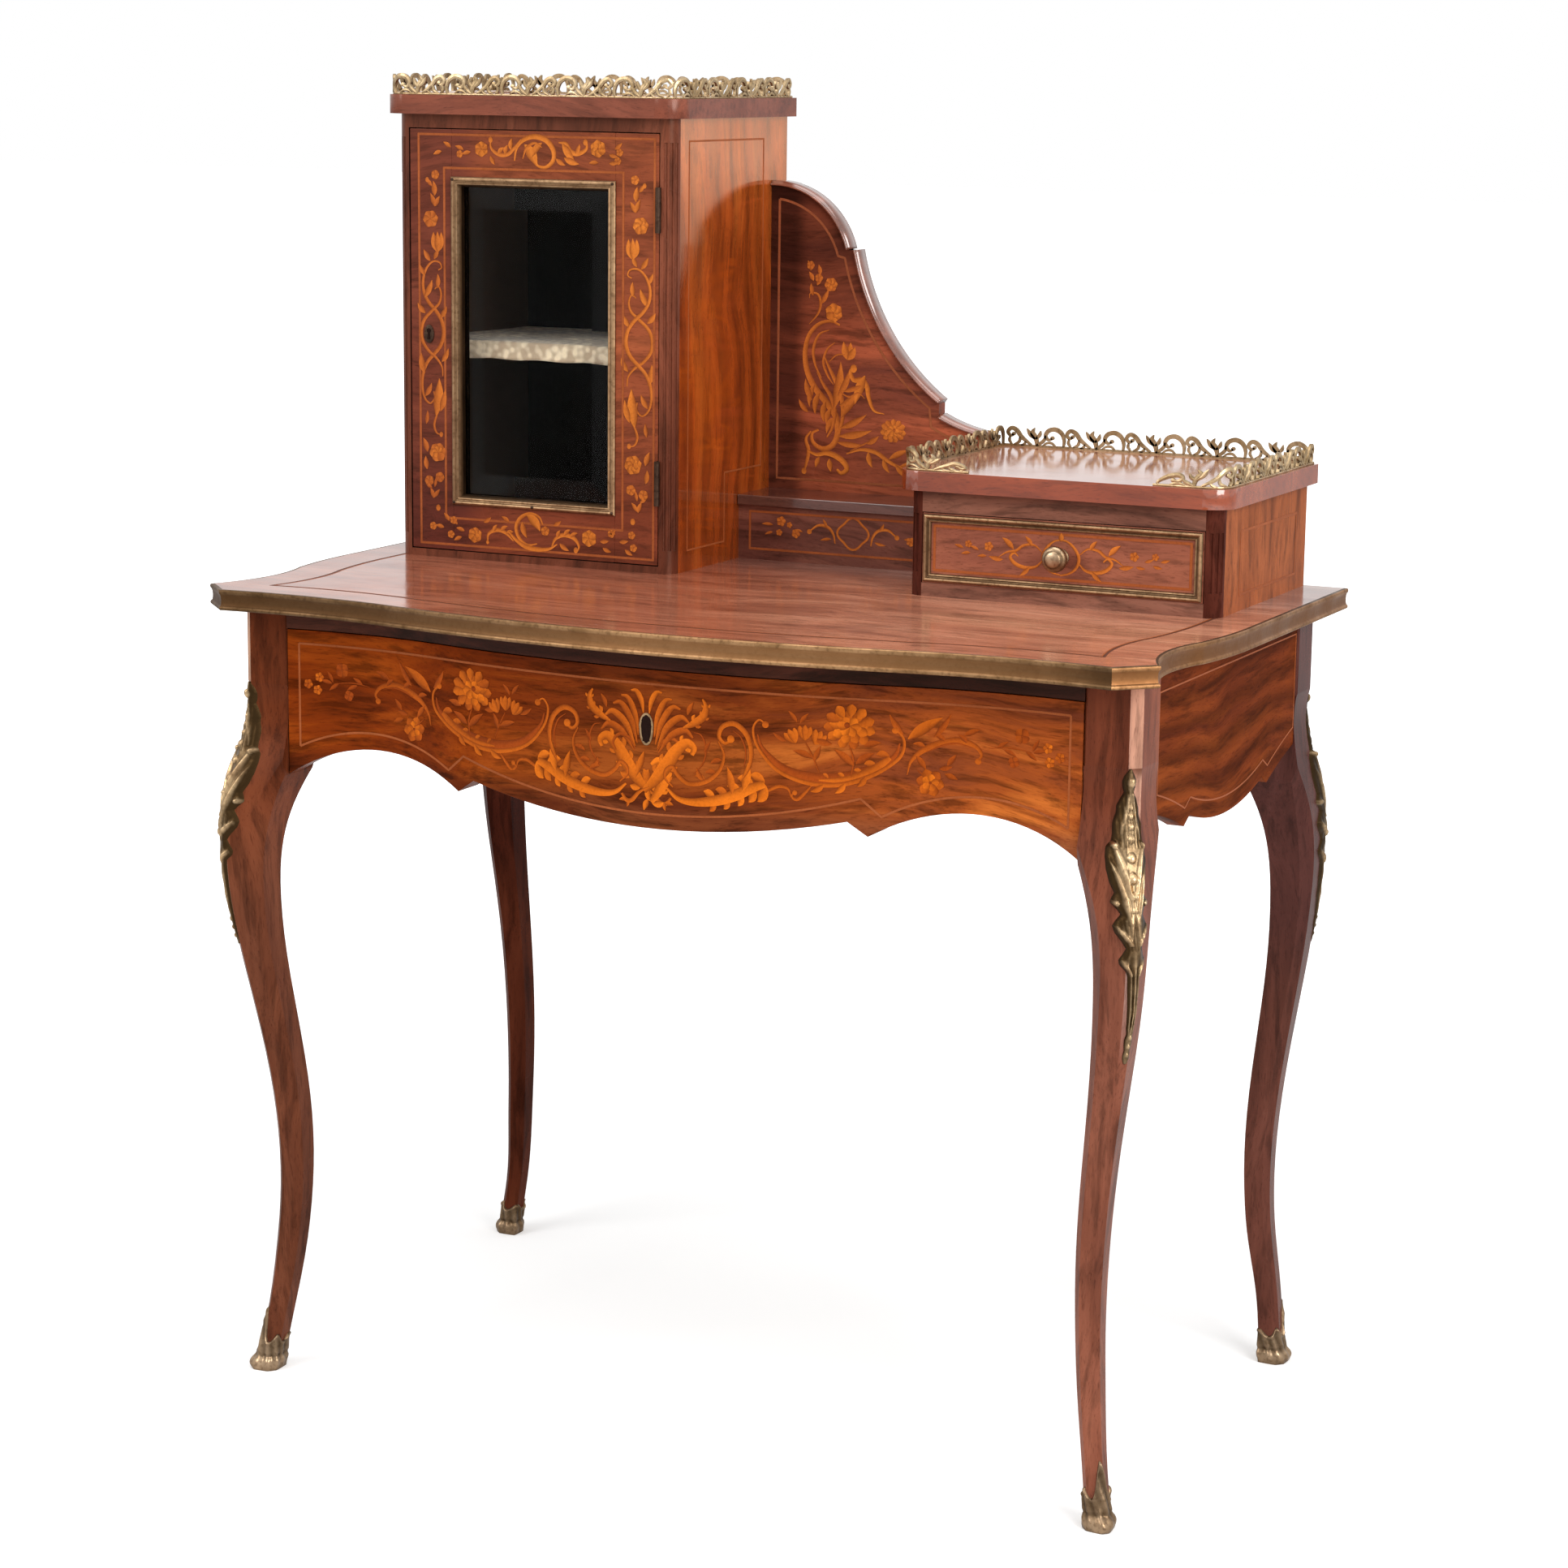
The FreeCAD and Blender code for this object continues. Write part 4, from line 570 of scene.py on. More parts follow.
# %% Give each carried-over solid its finish
NODE_FINISH = {
    "top": ["tabletop"],
    "slab": ["box_top"],
    "front_left": ["front_left_leg"],
    "front_right": ["front_right_leg"],
    "back_left": ["back_left_leg"],
    "back_right": ["back_right_leg"],
    "stile": ["box_corner_stiles"],
    "dark": ["box_bottom", "cabinet_shelf"],
    "drawer": ["main_drawer_front"],
    "apron": ["side_apron_left", "side_apron_right"],
    "front": ["door_top_rail", "door_bottom_rail", "door_left_stile", "door_right_stile"],
    "boxdrawer": ["small_drawer_front"],
    "cornice": ["cabinet_cornice"],
    "side": ["cabinet_right_side", "cabinet_left_side"],
    "boxside": ["box_right_side", "box_left_side"],
    "case": ["cabinet_corner_stiles", "cabinet_rails", "cabinet_bottom", "door_glazing_beads"],
    "board": ["scroll_board"],
    "plinth": ["plinth_front"],
    "ledge": ["plinth_ledge"],
    "shaded_frieze": ["front_top_rail"],
    "boxrail": ["box_rails"],
    "oak": ["main_drawer_sides", "main_drawer_back", "main_drawer_bottom", "small_drawer_sides",
        "small_drawer_back", "small_drawer_bottom"],
    "runner": ["drawer_runners"],
    "boards": ["back_apron", "box_back"],
    "case_boards": ["cabinet_back"],
}
METAL_FINISH = {
    "plain": ["shelf_pins"],
    "hinge": ["cabinet_hinge_leaves", "door_hinge_leaves"],
    "steel": ["main_drawer_lock", "main_drawer_bolt", "door_lock", "door_bolt"],
}


def set_finish(name, material):
    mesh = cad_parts[name].data
    for index in range(len(mesh.materials)):
        mesh.materials[index] = material
    return name


finished = {set_finish(n, WOODS[kind]) for kind, names in NODE_FINISH.items() for n in names}
finished |= {set_finish(n, METALS[kind]) for kind, names in METAL_FINISH.items() for n in names}
print("to be replaced:", sorted(set(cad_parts) - finished))

# %% [markdown]
# Everything from here on is made as a mesh in code. Two simple tools carry most of the work: a
# smooth path through a few points, and a circular arc through three. Both return plain
# positions in millimetres, which are easier to read against the size of the real desk.

# %% Paths in millimetres
def smooth_line(points, step=1.6):
    """Positions on a smooth curve through the given ones, about a step apart."""
    marks = [Vector(p) for p in points]
    marks = [2 * marks[0] - marks[1]] + marks + [2 * marks[-1] - marks[-2]]
    path = []
    for a, b, c, d in zip(marks, marks[1:], marks[2:], marks[3:]):
        count = max(2, round((c - b).length / step))
        for k in range(count):
            t = k / count
            path.append((2 * b + (c - a) * t + (2 * a - 5 * b + 4 * c - d) * t * t
                    + (3 * b - 3 * c + d - a) * t ** 3) / 2)
    return path + [marks[-2]]


def circle_of(a, b, c):
    """Centre and radius of the circle through three points of a plane."""
    (ax, ay), (bx, by), (cx, cy) = a, b, c
    twice = 2 * (ax * (by - cy) + bx * (cy - ay) + cx * (ay - by))
    aa, bb, cc = ax * ax + ay * ay, bx * bx + by * by, cx * cx + cy * cy
    x = (aa * (by - cy) + bb * (cy - ay) + cc * (ay - by)) / twice
    y = (aa * (cx - bx) + bb * (ax - cx) + cc * (bx - ax)) / twice
    return Vector((x, y)), math.hypot(ax - x, ay - y)


def arc(start, via, end, step=3):
    """Positions on the arc from start over via to end."""
    centre, radius = circle_of(start, via, end)
    angles = [math.atan2(p[1] - centre.y, p[0] - centre.x) for p in (start, via, end)]
    turn = (angles[2] - angles[0]) % (2 * math.pi)
    if (angles[1] - angles[0]) % (2 * math.pi) > turn:
        turn -= 2 * math.pi
    count = max(3, round(abs(turn) * radius / step))
    return [centre + radius
            * Vector((math.cos(angles[0] + turn * k / count), math.sin(angles[0] + turn * k / count)))
            for k in range(count + 1)]


def chain(*runs):
    """Joins runs end to end and drops repeated points."""
    path = []
    for run in runs:
        for p in run:
            p = Vector(p)
            if not path or (p - path[-1]).length > 0.05:
                path.append(p)
    return path


def piece(name, points, faces, body, material, smooth=True, numbers=None):
    """Makes a mesh from points in millimetres, gives it its finish and rides it on a body."""
    mesh = bpy.data.meshes.new(name)
    mesh.from_pydata([tuple(c * MM for c in p) for p in points], [], faces)
    for title, values in (numbers or {}).items():
        mesh.attributes.new(title, "FLOAT", "POINT").data.foreach_set("value", values)
    soft = bmesh.new()
    soft.from_mesh(mesh)
    bmesh.ops.recalc_face_normals(soft, faces=soft.faces)
    soft.to_mesh(mesh)
    soft.free()
    if smooth:
        mesh.shade_smooth()
    mesh.materials.append(material)
    made = stand(name, mesh)
    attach(made, body)
    return made


print("arc check:", len(arc((0, 0), (5, 5), (10, 0))), "points")

# %% [markdown]
# Marquetry and brass openwork are drawn the same way, with strokes. A stroke is a path with a
# width at each point, and it becomes a thin closed solid laid on a surface. What differs is
# only the surface: a function turns a flat position and a height into a place on the desk. So
# a scroll can be designed flat, and still follow the bow of the drawer exactly.

# %% Strokes laid on a surface
INLAY_RISE, INLAY_SINK, LAYER = 0.22, 0.25, 0.008


def sweep_width(t, start, end, belly=0.5):
    """A width from 0 to 1 along a stroke: start and end are its tips, belly is its widest place."""
    if t < belly:
        share, tip = t / belly, start
    else:
        share, tip = (1 - t) / (1 - belly), end
    return tip + (1 - tip) * math.sin(share * math.pi / 2)


def heading(angle):
    """The direction of an angle in degrees."""
    return Vector((math.cos(math.radians(angle)), math.sin(math.radians(angle))))


def skin(rings, ring_shaped=False):
    """Points and faces of a skin over rings of points. Both ends are capped, or joined up."""
    width, count, faces = len(rings[0]), len(rings), []
    for k in range(count if ring_shaped else count - 1):
        here, there = k * width, (k + 1) % count * width
        for j in range(width):
            faces.append((here + j, here + (j + 1) % width, there + (j + 1) % width, there + j))
    if not ring_shaped:
        faces += [tuple(range(width)), tuple(reversed(range((count - 1) * width, count * width)))]
    return [point for ring in rings for point in ring], faces


def sheet(upper, under, columns):
    """Points and faces of a thin sheet: a grid of points for each side, joined round the rim."""
    size, faces = len(upper), []
    rows = size // columns
    for a in range(size - columns):
        if (a + 1) % columns:
            faces.append((a, a + 1, a + columns + 1, a + columns))
            faces.append(tuple(size + k for k in reversed(faces[-1])))
    rim = list(range(columns)) + [r * columns + columns - 1 for r in range(1, rows)]
    rim += list(range(size - 2, size - columns, -1)) + [r * columns for r in range(rows - 1, 0, -1)]
    for a, b in zip(rim, rim[1:] + rim[:1]):
        faces.append((a, b, size + b, size + a))
    return upper + under, faces


class Strokes:
    """Small flat shapes on one surface, collected and then made into one mesh."""

    def __init__(self, lay, seed=1, weight=1, contrast=1):
        self.lay, self.strokes, self.chance = lay, [], random.Random(seed)
        self.weight, self.contrast = weight, contrast

    def stroke(self, path, widths, tone=0.5, burn=(0.75, 0)):
        self.strokes.append(([Vector(p) for p in path], [self.weight * w for w in widths], tone, burn))

    def scroll(self, points, width, tone=0.5, tips=(0.25, 0.25), belly=0.5, ball=0, step=1.6):
        path = smooth_line(points, step)
        count = len(path) - 1
        self.stroke(path, [width * sweep_width(k / count, *tips, belly) for k in range(count + 1)], tone)
        if ball:
            self.dot(points[0], ball, tone)

    def dot(self, centre, radius, tone=0.7, burn=(0.5, 0)):
        c = Vector(centre)
        angles = [math.pi * k / 8 for k in range(9)]
        self.stroke([c - Vector((radius * math.cos(a), 0)) for a in angles],
                [max(0.1, 2 * radius * math.sin(a)) for a in angles], tone, burn)

    def curve(self, root, angle, length, bend, parts):
        """A path that starts at root, sets off at angle and turns by bend, in degrees."""
        path, at = [], Vector(root)
        for k in range(parts + 1):
            path.append(at.copy())
            at = at + heading(angle + bend * (k / parts - 0.5)) * (length / parts)
        return path, [k / parts for k in range(parts + 1)]

    def leaf(self, root, angle, length, width, bend=0, tone=0.55, belly=0.42):
        """A pointed leaf."""
        path, shares = self.curve(root, angle, length, bend, max(6, round(length / 1.6)))
        self.stroke(path, [max(0.12, width * sweep_width(share, 0.12, 0.02, belly)) for share in shares],
                tone, (0.8, 0) if bend >= 0 else (0, 0.8))

    def fronds(self, points, side, count, length, width, lean=38, tone=0.55, span=(0.1, 0.9), grow=0):
        """Leaves that spring from one side of a curve, leaning along it."""
        path = smooth_line(points)
        for k in range(count):
            share = span[0] + (span[1] - span[0]) * k / max(1, count - 1)
            at = min(len(path) - 2, int(share * (len(path) - 1)))
            course = path[at + 1] - path[at]
            angle = math.degrees(math.atan2(course.y, course.x)) + side * lean
            size = length * (1 + grow * (k / max(1, count - 1) - 0.5)) * self.chance.uniform(0.88, 1.1)
            self.leaf(path[at], angle, size, width, -side * 46, tone + self.chance.uniform(-0.1, 0.1))

    def petal(self, root, angle, length, width, tone=0.8, bend=10):
        """A round-ended petal."""
        path, shares = self.curve(root, angle, length, bend, max(5, round(length / 1.2)))
        self.stroke(path, [max(0.15, width * sweep_width(share, 0.25, 0.18, 0.66)) for share in shares],
                tone, (0, 0.7))

    def flower(self, centre, size, petals=5, turn=0, tone=0.9):
        for k in range(petals):
            angle = turn + 360 * k / petals
            self.petal(Vector(centre) + 0.1 * size * heading(angle), angle, 0.9 * size,
                    4.6 * size / petals, tone + self.chance.uniform(-0.25, 0.1))
        self.dot(centre, 0.18 * size, 0.1, (0.9, 0.6))

    def poppy(self, centre, size, turn=0, tone=1, wide=1.2):
        """A full blown flower, wider than tall: three ruffs of broad petals over each other."""
        middle = Vector(centre)
        for count, reach, length, width, shade in ((11, 0.46, 0.54, 0.44, -0.2),
                (9, 0.22, 0.54, 0.44, -0.05), (6, 0.02, 0.44, 0.4, 0.08)):
            turn += 17
            for k in range(count):
                angle = turn + 360 * k / count
                spoke = Vector((wide * math.cos(math.radians(angle)), math.sin(math.radians(angle))))
                self.petal(middle + reach * size * spoke, math.degrees(math.atan2(spoke.y, spoke.x)),
                        length * size * spoke.length, width * size,
                        tone + shade + self.chance.uniform(-0.22, 0.08), self.chance.uniform(-25, 25))
        self.dot(middle + Vector((0.1 * size, 0.06 * size)), 0.13 * size, 0.05, (0.9, 0.5))

    def acanthus(self, points, width, lobes=4, tone=0.7, tips=(0.3, 0.15), belly=0.4, sides=(1, -1),
                 span=(0.08, 0.66), reach=1.25):
        """A leaf with a curved spine and round lobes along it."""
        path = smooth_line(points)
        for side in sides:
            for k in range(lobes):
                share = span[0] + (span[1] - span[0]) * k / max(1, lobes - 1)
                at = min(len(path) - 2, int(share * (len(path) - 1)))
                course = (path[at + 1] - path[at]).normalized()
                angle = math.degrees(math.atan2(course.y, course.x)) + side * 42
                size = width * reach * (1.15 - 0.6 * share) * self.chance.uniform(0.85, 1.15)
                root = path[at] + side * 0.1 * width * Vector((-course.y, course.x))
                self.leaf(root, angle, size, 0.52 * size, -side * 60,
                        tone + self.chance.uniform(-0.18, 0.1), 0.6)
        self.scroll(points, width, tone, tips, belly)

    def mirror(self, middle=0):
        """Adds the same strokes the other way round, about an upright line."""
        for path, widths, tone, burn in list(self.strokes):
            self.strokes.append(([Vector((2 * middle - p.x, p.y)) for p in path], widths,
                    tone + self.chance.uniform(-0.08, 0.08), burn[::-1]))

    def make(self, name, body, material, slot, rise=INLAY_RISE, sink=INLAY_SINK, crown=0):
        points, faces, tones, burnt = [], [], [], []
        for order, (path, widths, tone, burn) in enumerate(self.strokes):
            top = rise + LAYER * (order % 29)
            first, count = len(points), len(path)
            for k, (at, width) in enumerate(zip(path, widths)):
                course = path[min(k + 1, count - 1)] - path[max(k - 1, 0)]
                left = Vector((-course.y, course.x)).normalized() * (width / 2)
                row = ((at + left, -sink), (at + left, top), (at, top + crown), (at - left, top),
                       (at - left, -sink))
                points += [self.lay(p.x, p.y, h) for p, h in row]
                middle = 0.3 * (burn[0] + burn[1]) * (1 - k / count)
                burnt += [burn[0], burn[0], middle, burn[1], burn[1]]
                tones += [min(1, max(0, tone)) ** self.contrast] * 5
                if k:
                    for j in range(5):
                        a, b = first + 5 * (k - 1) + j, first + 5 * (k - 1) + (j + 1) % 5
                        faces.append((a, b, b + 5, a + 5))
            faces.append(tuple(first + j for j in range(5)))
            faces.append(tuple(first + 5 * (count - 1) + j for j in reversed(range(5))))
        made = piece(name, points, faces, body, material, False, {"tone": tones, "burnt": burnt})
        print(f"{name}: {len(self.strokes)} strokes, {len(points)} points")
        return made


def string_line(lay, paths, width=1.5):
    """A thin stringing along each path; a path whose ends meet is closed."""
    strings = Strokes(lay)
    for path in paths:
        path = [Vector(p) for p in path]
        strings.stroke(path, [width] * len(path), 0.5, (0.2, 0.2))
    return strings


def straight(start, end, step=12):
    start, end = Vector(start), Vector(end)
    count = max(1, round((end - start).length / step))
    return [start.lerp(end, k / count) for k in range(count + 1)]


def frame_lines(low_x, high_x, low_z, high_z):
    """The four straight strings of a rectangle, each run past the corner by half a width."""
    return [straight((low_x - 0.7, low_z), (high_x + 0.7, low_z)),
            straight((low_x - 0.7, high_z), (high_x + 0.7, high_z)),
            straight((low_x, low_z - 0.7), (low_x, high_z + 0.7)),
            straight((high_x, low_z - 0.7), (high_x, high_z + 0.7))]


def facing(direction, level):
    """A flat surface: which way it faces, and how far out it lies, in millimetres."""
    if direction == "front":
        return lambda u, v, h: Vector((u, level - h, v))
    if direction == "right":
        return lambda u, v, h: Vector((level + h, u, v))
    if direction == "left":
        return lambda u, v, h: Vector((level - h, u, v))
    return lambda u, v, h: Vector((u, v, level + h))


print("stroke tools ready")

# %% [markdown]
# A brass moulding runs round the table's edge on the front and both sides. On the real desk it
# is drawn brass with a rounded lip above and below and a hollow between. A sweep makes it: one
# small profile is carried along the plan of the edge, always square to it.

# %% Sweep a profile along a plan line
def sweep(path, profile):
    """Points and faces of a profile of (out, up) pairs carried along plan positions."""
    rings = []
    for k, at in enumerate(path):
        back, ahead = at - path[max(k - 1, 0)], path[min(k + 1, len(path) - 1)] - at
        back = back.normalized() if back.length > 1e-6 else ahead.normalized()
        ahead = ahead.normalized() if ahead.length > 1e-6 else back
        out = Vector((back.y + ahead.y, -back.x - ahead.x)).normalized()
        stretch = 1 / max(0.5, out.dot(Vector((ahead.y, -ahead.x))))
        rings.append([(at.x + out.x * o * stretch, at.y + out.y * o * stretch, z) for o, z in profile])
    return skin(rings)


def both_halves(right, inset):
    """The table's plan line: its bowed middle, this right half, and the same to the left."""
    left = [Vector((-p.x, p.y)) for p in reversed(right)]
    return chain(left, arc((-250, -261 + inset), (0, -286 + inset), (250, -261 + inset)), right)


def table_edge(inset):
    """Plan of the table's edge from back left round the front to back right."""
    i, c = inset, 0.414 * inset
    right = chain(arc((250, -261 + i), (340, -250 + i), (434 - c, -254 + i)),
            straight((434 - c, -254 + i), (465 - i, -223 + c), 8),
            arc((465 - i, -223 + c), (447 - i, -160), (456 - i, -90)),
            arc((456 - i, -90), (462.5 - i, -45), (465 - i, 0)),
            straight((465 - i, 0), (465 - i, 286), 20))
    return both_halves(right, i)


def hollows(points, marks):
    """The hollow number of each profile point, repeated along a sweep."""
    return [marks[k % len(marks)] for k in range(len(points))]


TABLE_TOP = 760
lip = [(-4, 741), (-1, 741), (-0.2, 741.8), (0, 743), (-0.4, 744.2), (-1.6, 745.2),
       (-2.1, 747.5), (-2.2, 750), (-1.9, 753.2), (-1.2, 755.4), (-0.3, 756.4), (0, 757.8),
       (-0.3, 759.2), (-1.2, 759.9), (-4, 760)]
lip_dirt = [0.3, 0.2, 0, 0, 0.2, 0.8, 0.9, 0.75, 0.9, 0.8, 0.2, 0, 0, 0.05, 0.4]
points, faces = sweep(table_edge(0), lip)
band = piece("table_brass_moulding", points, faces, "desk", METALS["band"],
        numbers={"hollow": hollows(points, lip_dirt)})
band.data.set_sharp_from_angle(angle=math.radians(32))
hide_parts("top_brass_band")
print("table moulding:", len(points), "points")

# %% [markdown]
# The veneer of the writing surface has a border: a dark line and a light line run about five
# centimetres inside the edge and follow its every curve. They are strokes laid flat on top.

# %% Lay the border lines of the writing surface
def inner_edge(inset):
    """The border follows the edge, but its front corners are plain mitres without the cant."""
    i = inset
    right = chain(arc((250, -261 + i), (330, -250.6 + i), (456 - i, -253.5 + i)),
            arc((456 - i, -253.5 + i), (448 - i, -160), (456 - i, -90)),
            arc((456 - i, -90), (462.5 - i, -45), (465 - i, 0)),
            straight((465 - i, 0), (465 - i, 262 - 0.4 * i), 20))
    return both_halves(right, i)


lay_top = facing("up", TABLE_TOP)
border = string_line(lay_top, [inner_edge(47)], 2.6)
border.make("writing_surface_dark_line", "desk", INLAY["line"], "rosewood_top", 0.12)
border = string_line(lay_top, [inner_edge(49.2)], 1.2)
border.make("writing_surface_light_line", "desk", INLAY["string"], "rosewood_top", 0.12)

# %% [markdown]
# The glass of the cabinet door is held by a mitred brass bezel, and the small drawer has a
# frame of the same kind. Both are sweeps too, but round an upright rectangle, so the profile
# is given as a distance in towards the opening and a height off the face.

# %% Mitred frames of brass
def mitred_frame(name, low_x, high_x, low_z, high_z, face_y, profile, dirt, body, replaced):
    """A frame on the front face y = face_y; profile pairs are (inwards, proud)."""
    corners = [(low_x, low_z, 1, 1), (high_x, low_z, -1, 1), (high_x, high_z, -1, -1),
            (low_x, high_z, 1, -1)]
    points, faces = skin([[(x + sx * inward, face_y - proud, z + sz * inward) for inward,
            proud in profile] for x, z, sx, sz in corners], True)
    made = piece(name, points, faces, body, METALS["bezel"], False,
            {"hollow": hollows(points, dirt)})
    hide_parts(replaced)
    return made


bezel_profile = [(2.4, -0.4), (2.4, 1.2), (3.3, 2.2), (4.7, 2.9), (5.9, 2.6), (6.5, 1.4), (7.6, 1.2),
        (8.6, 2.2), (9.5, 2), (10.3, 0.2), (11.2, -1.6), (11.9, -3), (12.2, -7.8), (3.2, -7.8),
        (3.2, -0.4)]
bezel_dirt = [0.7, 0.3, 0.1, 0, 0.1, 0.35, 0.3, 0.05, 0.1, 0.5, 0.9, 1, 1, 1, 1]
mitred_frame("door_brass_bezel", -364, -180.5, 810, 1129, 40, bezel_profile, bezel_dirt, "door",
        "door_bezel")
frame_profile = [(0, -0), (0, 1.4), (0.8, 2.6), (2, 3.3), (3.2, 2.9), (3.9, 1.6), (5, 1.3), (5.9, 2.2),
        (6.8, 1.9), (7.4, 0.6), (7.6, 0)]
frame_dirt = [0.7, 0.4, 0.1, 0, 0.2, 0.7, 0.8, 0.15, 0.1, 0.6, 0.9]
mitred_frame("small_drawer_brass_moulding", 138.3, 406.7, 773.8, 835.7, 38, frame_profile, frame_dirt,
        "small_drawer", "small_drawer_brass_frame")
print("two mitred frames made")

# %% [markdown]
# The knob is a turned piece. A lathe needs only half an outline, so the mesh is the outline
# carried round the knob's axis.

# %% Turn the knob
def turned_front(name, x, z, outline, body, material, dirt=None, sides=40):
    """Turns an outline of (y, radius) pairs about the line through (x, z) along Y."""
    turns = [2 * math.pi * k / sides for k in range(sides)]
    points, faces = skin([[(x + radius * math.cos(t), y, z + radius * math.sin(t)) for t in turns] for y,
            radius in outline])
    marks = dirt or [0] * len(outline)
    return piece(name, points, faces, body, material,
            numbers={"hollow": [marks[k // sides] for k in range(len(points))]})


knob_outline = [(48, 3.2), (38.2, 3.2), (38, 7.6), (37.2, 8.2), (36.4, 7.8), (35.9, 5.2), (34.4, 3.9),
        (31.5, 3.4), (29.4, 3.9), (28.3, 5.6), (27.4, 8.6), (25.8, 10.8), (23.8, 11.8), (21.6, 11.9),
        (19.6, 11), (18.4, 9.2), (18, 7.6), (17.5, 7.3), (16.9, 6.2), (16.3, 3.6), (16.05, 0.9)]
knob_dirt = [1, 1, 0.4, 0.1, 0.5, 0.9, 0.8, 0.7, 0.8, 0.7, 0.3, 0, 0, 0, 0.1, 0.4, 0.8, 0.5, 0.1, 0, 0]
knob = turned_front("small_drawer_turned_knob", 272.5, 804.7, knob_outline, "small_drawer",
        METALS["shoe"], knob_dirt)
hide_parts("small_drawer_knob")
print("knob:", len(knob.data.vertices), "points")

# %% Screws of the bezel
SCREW_RADIUS, SCREW_INSET = 1.5, 5
screw_places = [(x, z) for x in (-364 + SCREW_INSET, -180.5 - SCREW_INSET)
        for z in (810 + SCREW_INSET, 1129 - SCREW_INSET)] + [(-272.2, 810 + SCREW_INSET)]
for count, (x, z) in enumerate(screw_places):
    head = [(39, SCREW_RADIUS), (36.9, SCREW_RADIUS), (36.6, 0.9 * SCREW_RADIUS),
            (36.3, 0.5 * SCREW_RADIUS), (36.2, 0.05)]
    turned_front(f"bezel_screw_{count + 1}", x, z, head, "door", METALS["hinge"], sides=16)
print("bezel screws:", len(screw_places))

# %% [markdown]
# The knee mounts and the shoes of the legs are castings that hug a curved leg. Modelling that
# fit by eye is hopeless, so the leg itself is asked: rays are shot at its surface, and each
# point of the casting is set on the hit, plus a small height for the relief. The silhouette is
# a table of half widths down the leg, and the relief is a sum of simple bumps: beads down the
# middle, ribs that spread like a palm leaf, a knot, and a ribbed tail.

# %% Feel the surface of a leg
LEGS = {"front_left": (-1, -1), "front_right": (1, -1), "back_left": (-1, 1), "back_right": (1, 1)}
RAY_START = 120
graph = bpy.context.evaluated_depsgraph_get()
leg_skin = {leg: BVHTree.FromObject(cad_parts[leg + "_leg"], graph) for leg in LEGS}


def probe(leg, start, course):
    """Where a ray in millimetres meets the leg, or None."""
    hit = leg_skin[leg].ray_cast(start * MM, course)[0]
    return None if hit is None else hit / MM


def table_value(table, at):
    """Straight-line reading of a table of (place, value) pairs in rising order of place."""
    if at <= table[0][0]:
        return table[0][1]
    for (a, va), (b, vb) in zip(table, table[1:]):
        if at <= b:
            return va + (vb - va) * (at - a) / (b - a)
    return table[-1][1]


def before_corner(leg, z, out):
    """A point at this height in front of a leg's canted corner."""
    sx, sy = LEGS[leg]
    return Vector((sx * 420, sy * 210 + (20 if sy > 0 else 0), z)) + out * RAY_START


def corner_track(leg, heights):
    """The middle of the canted corner at each height, and the way it faces."""
    sx, sy = LEGS[leg]
    out, side = Vector((sx, sy, 0)).normalized(), Vector((-sy, sx, 0)).normalized()
    track = []
    for z in heights:
        base = before_corner(leg, z, out)
        hits = [(probe(leg, base + side * d, -out), d) for d in range(-60, 61)]
        hits = [((p - base).dot(out), d) for p, d in hits if p is not None]
        far = max(h for h, d in hits)
        flat = [d for h, d in hits if h > far - 0.7]
        track.append(sum(flat) / len(flat))
    smooth = [sum(track[max(0, k - 3):k + 4]) / len(track[max(0, k - 3):k + 4]) for k in range(len(track))]
    return out, side, smooth


print("legs ready for casting:", sorted(leg_skin))

# %% Model the knee mounts
HALF_WIDTHS = [(420, 1.6), (424, 3.4), (428, 3.8), (432, 2.8), (437, 4), (442, 4.4), (447, 3.2),
        (452, 4.6), (470, 6), (488, 7), (498, 7.2), (503, 9), (508, 13.4), (512, 14.2), (516, 12),
        (522, 9), (528, 12), (535, 17), (540, 18), (544, 15.6), (550, 11), (554, 13.6), (559, 18.2),
        (563, 17), (567, 14.6), (575, 17.6), (584, 19.2), (595, 19.2), (603, 18.2), (608, 14),
        (614, 13.2), (622, 13), (630, 10.4), (636, 10), (643, 7), (648, 4.4), (652, 5.6), (657, 6.4),
        (662, 4.8), (665, 2.8), (668, 1.2)]
BODY_HEIGHTS = [(420, 1.2), (440, 2.4), (500, 3.8), (540, 5.4), (590, 5.8), (620, 6.4), (645, 6.6),
        (660, 5.6), (668, 2.4)]

# Ribs and little leaves of the relief: their two ends as (height, distance from the middle), then
# how far they stand proud, half their width, and how much they curve.
RIBS = [((604, 13.5), (557, 1.6), 3.6, 2.1, 0.75), ((592, 17.6), (546, 4.4), 3, 1.7, 0.7),
        ((541, 17), (526, 4.5), 3.6, 2.2, 1), ((513, 13.4), (500, 4.6), 3.2, 2, 1),
        ((644, 2), (612, 9.5), 1.5, 1.3, 1.3), ((552, 1.5), (527, 5), 1.8, 1.6, 1)]
BEADS = [(657, 0, 3, 4.2), (636, 0, 1.8, 2), (629, 0, 2, 2.4), (621, 0, 2.4, 2.9), (611, 0, 2.8, 3.4),
        (596, 0, 3.6, 4), (580, 0, 3.9, 4.4), (566, 0, 3.2, 3.4), (606, 13.6, 2.8, 3),
        (559, 15.4, 3.4, 3), (444, 0, 1.4, 2.4), (436, 0, 1.5, 2.2), (428, 0, 1.6, 2.2)]


def bump(value, middle, spread):
    return math.exp(-((value - middle) / spread) ** 2)


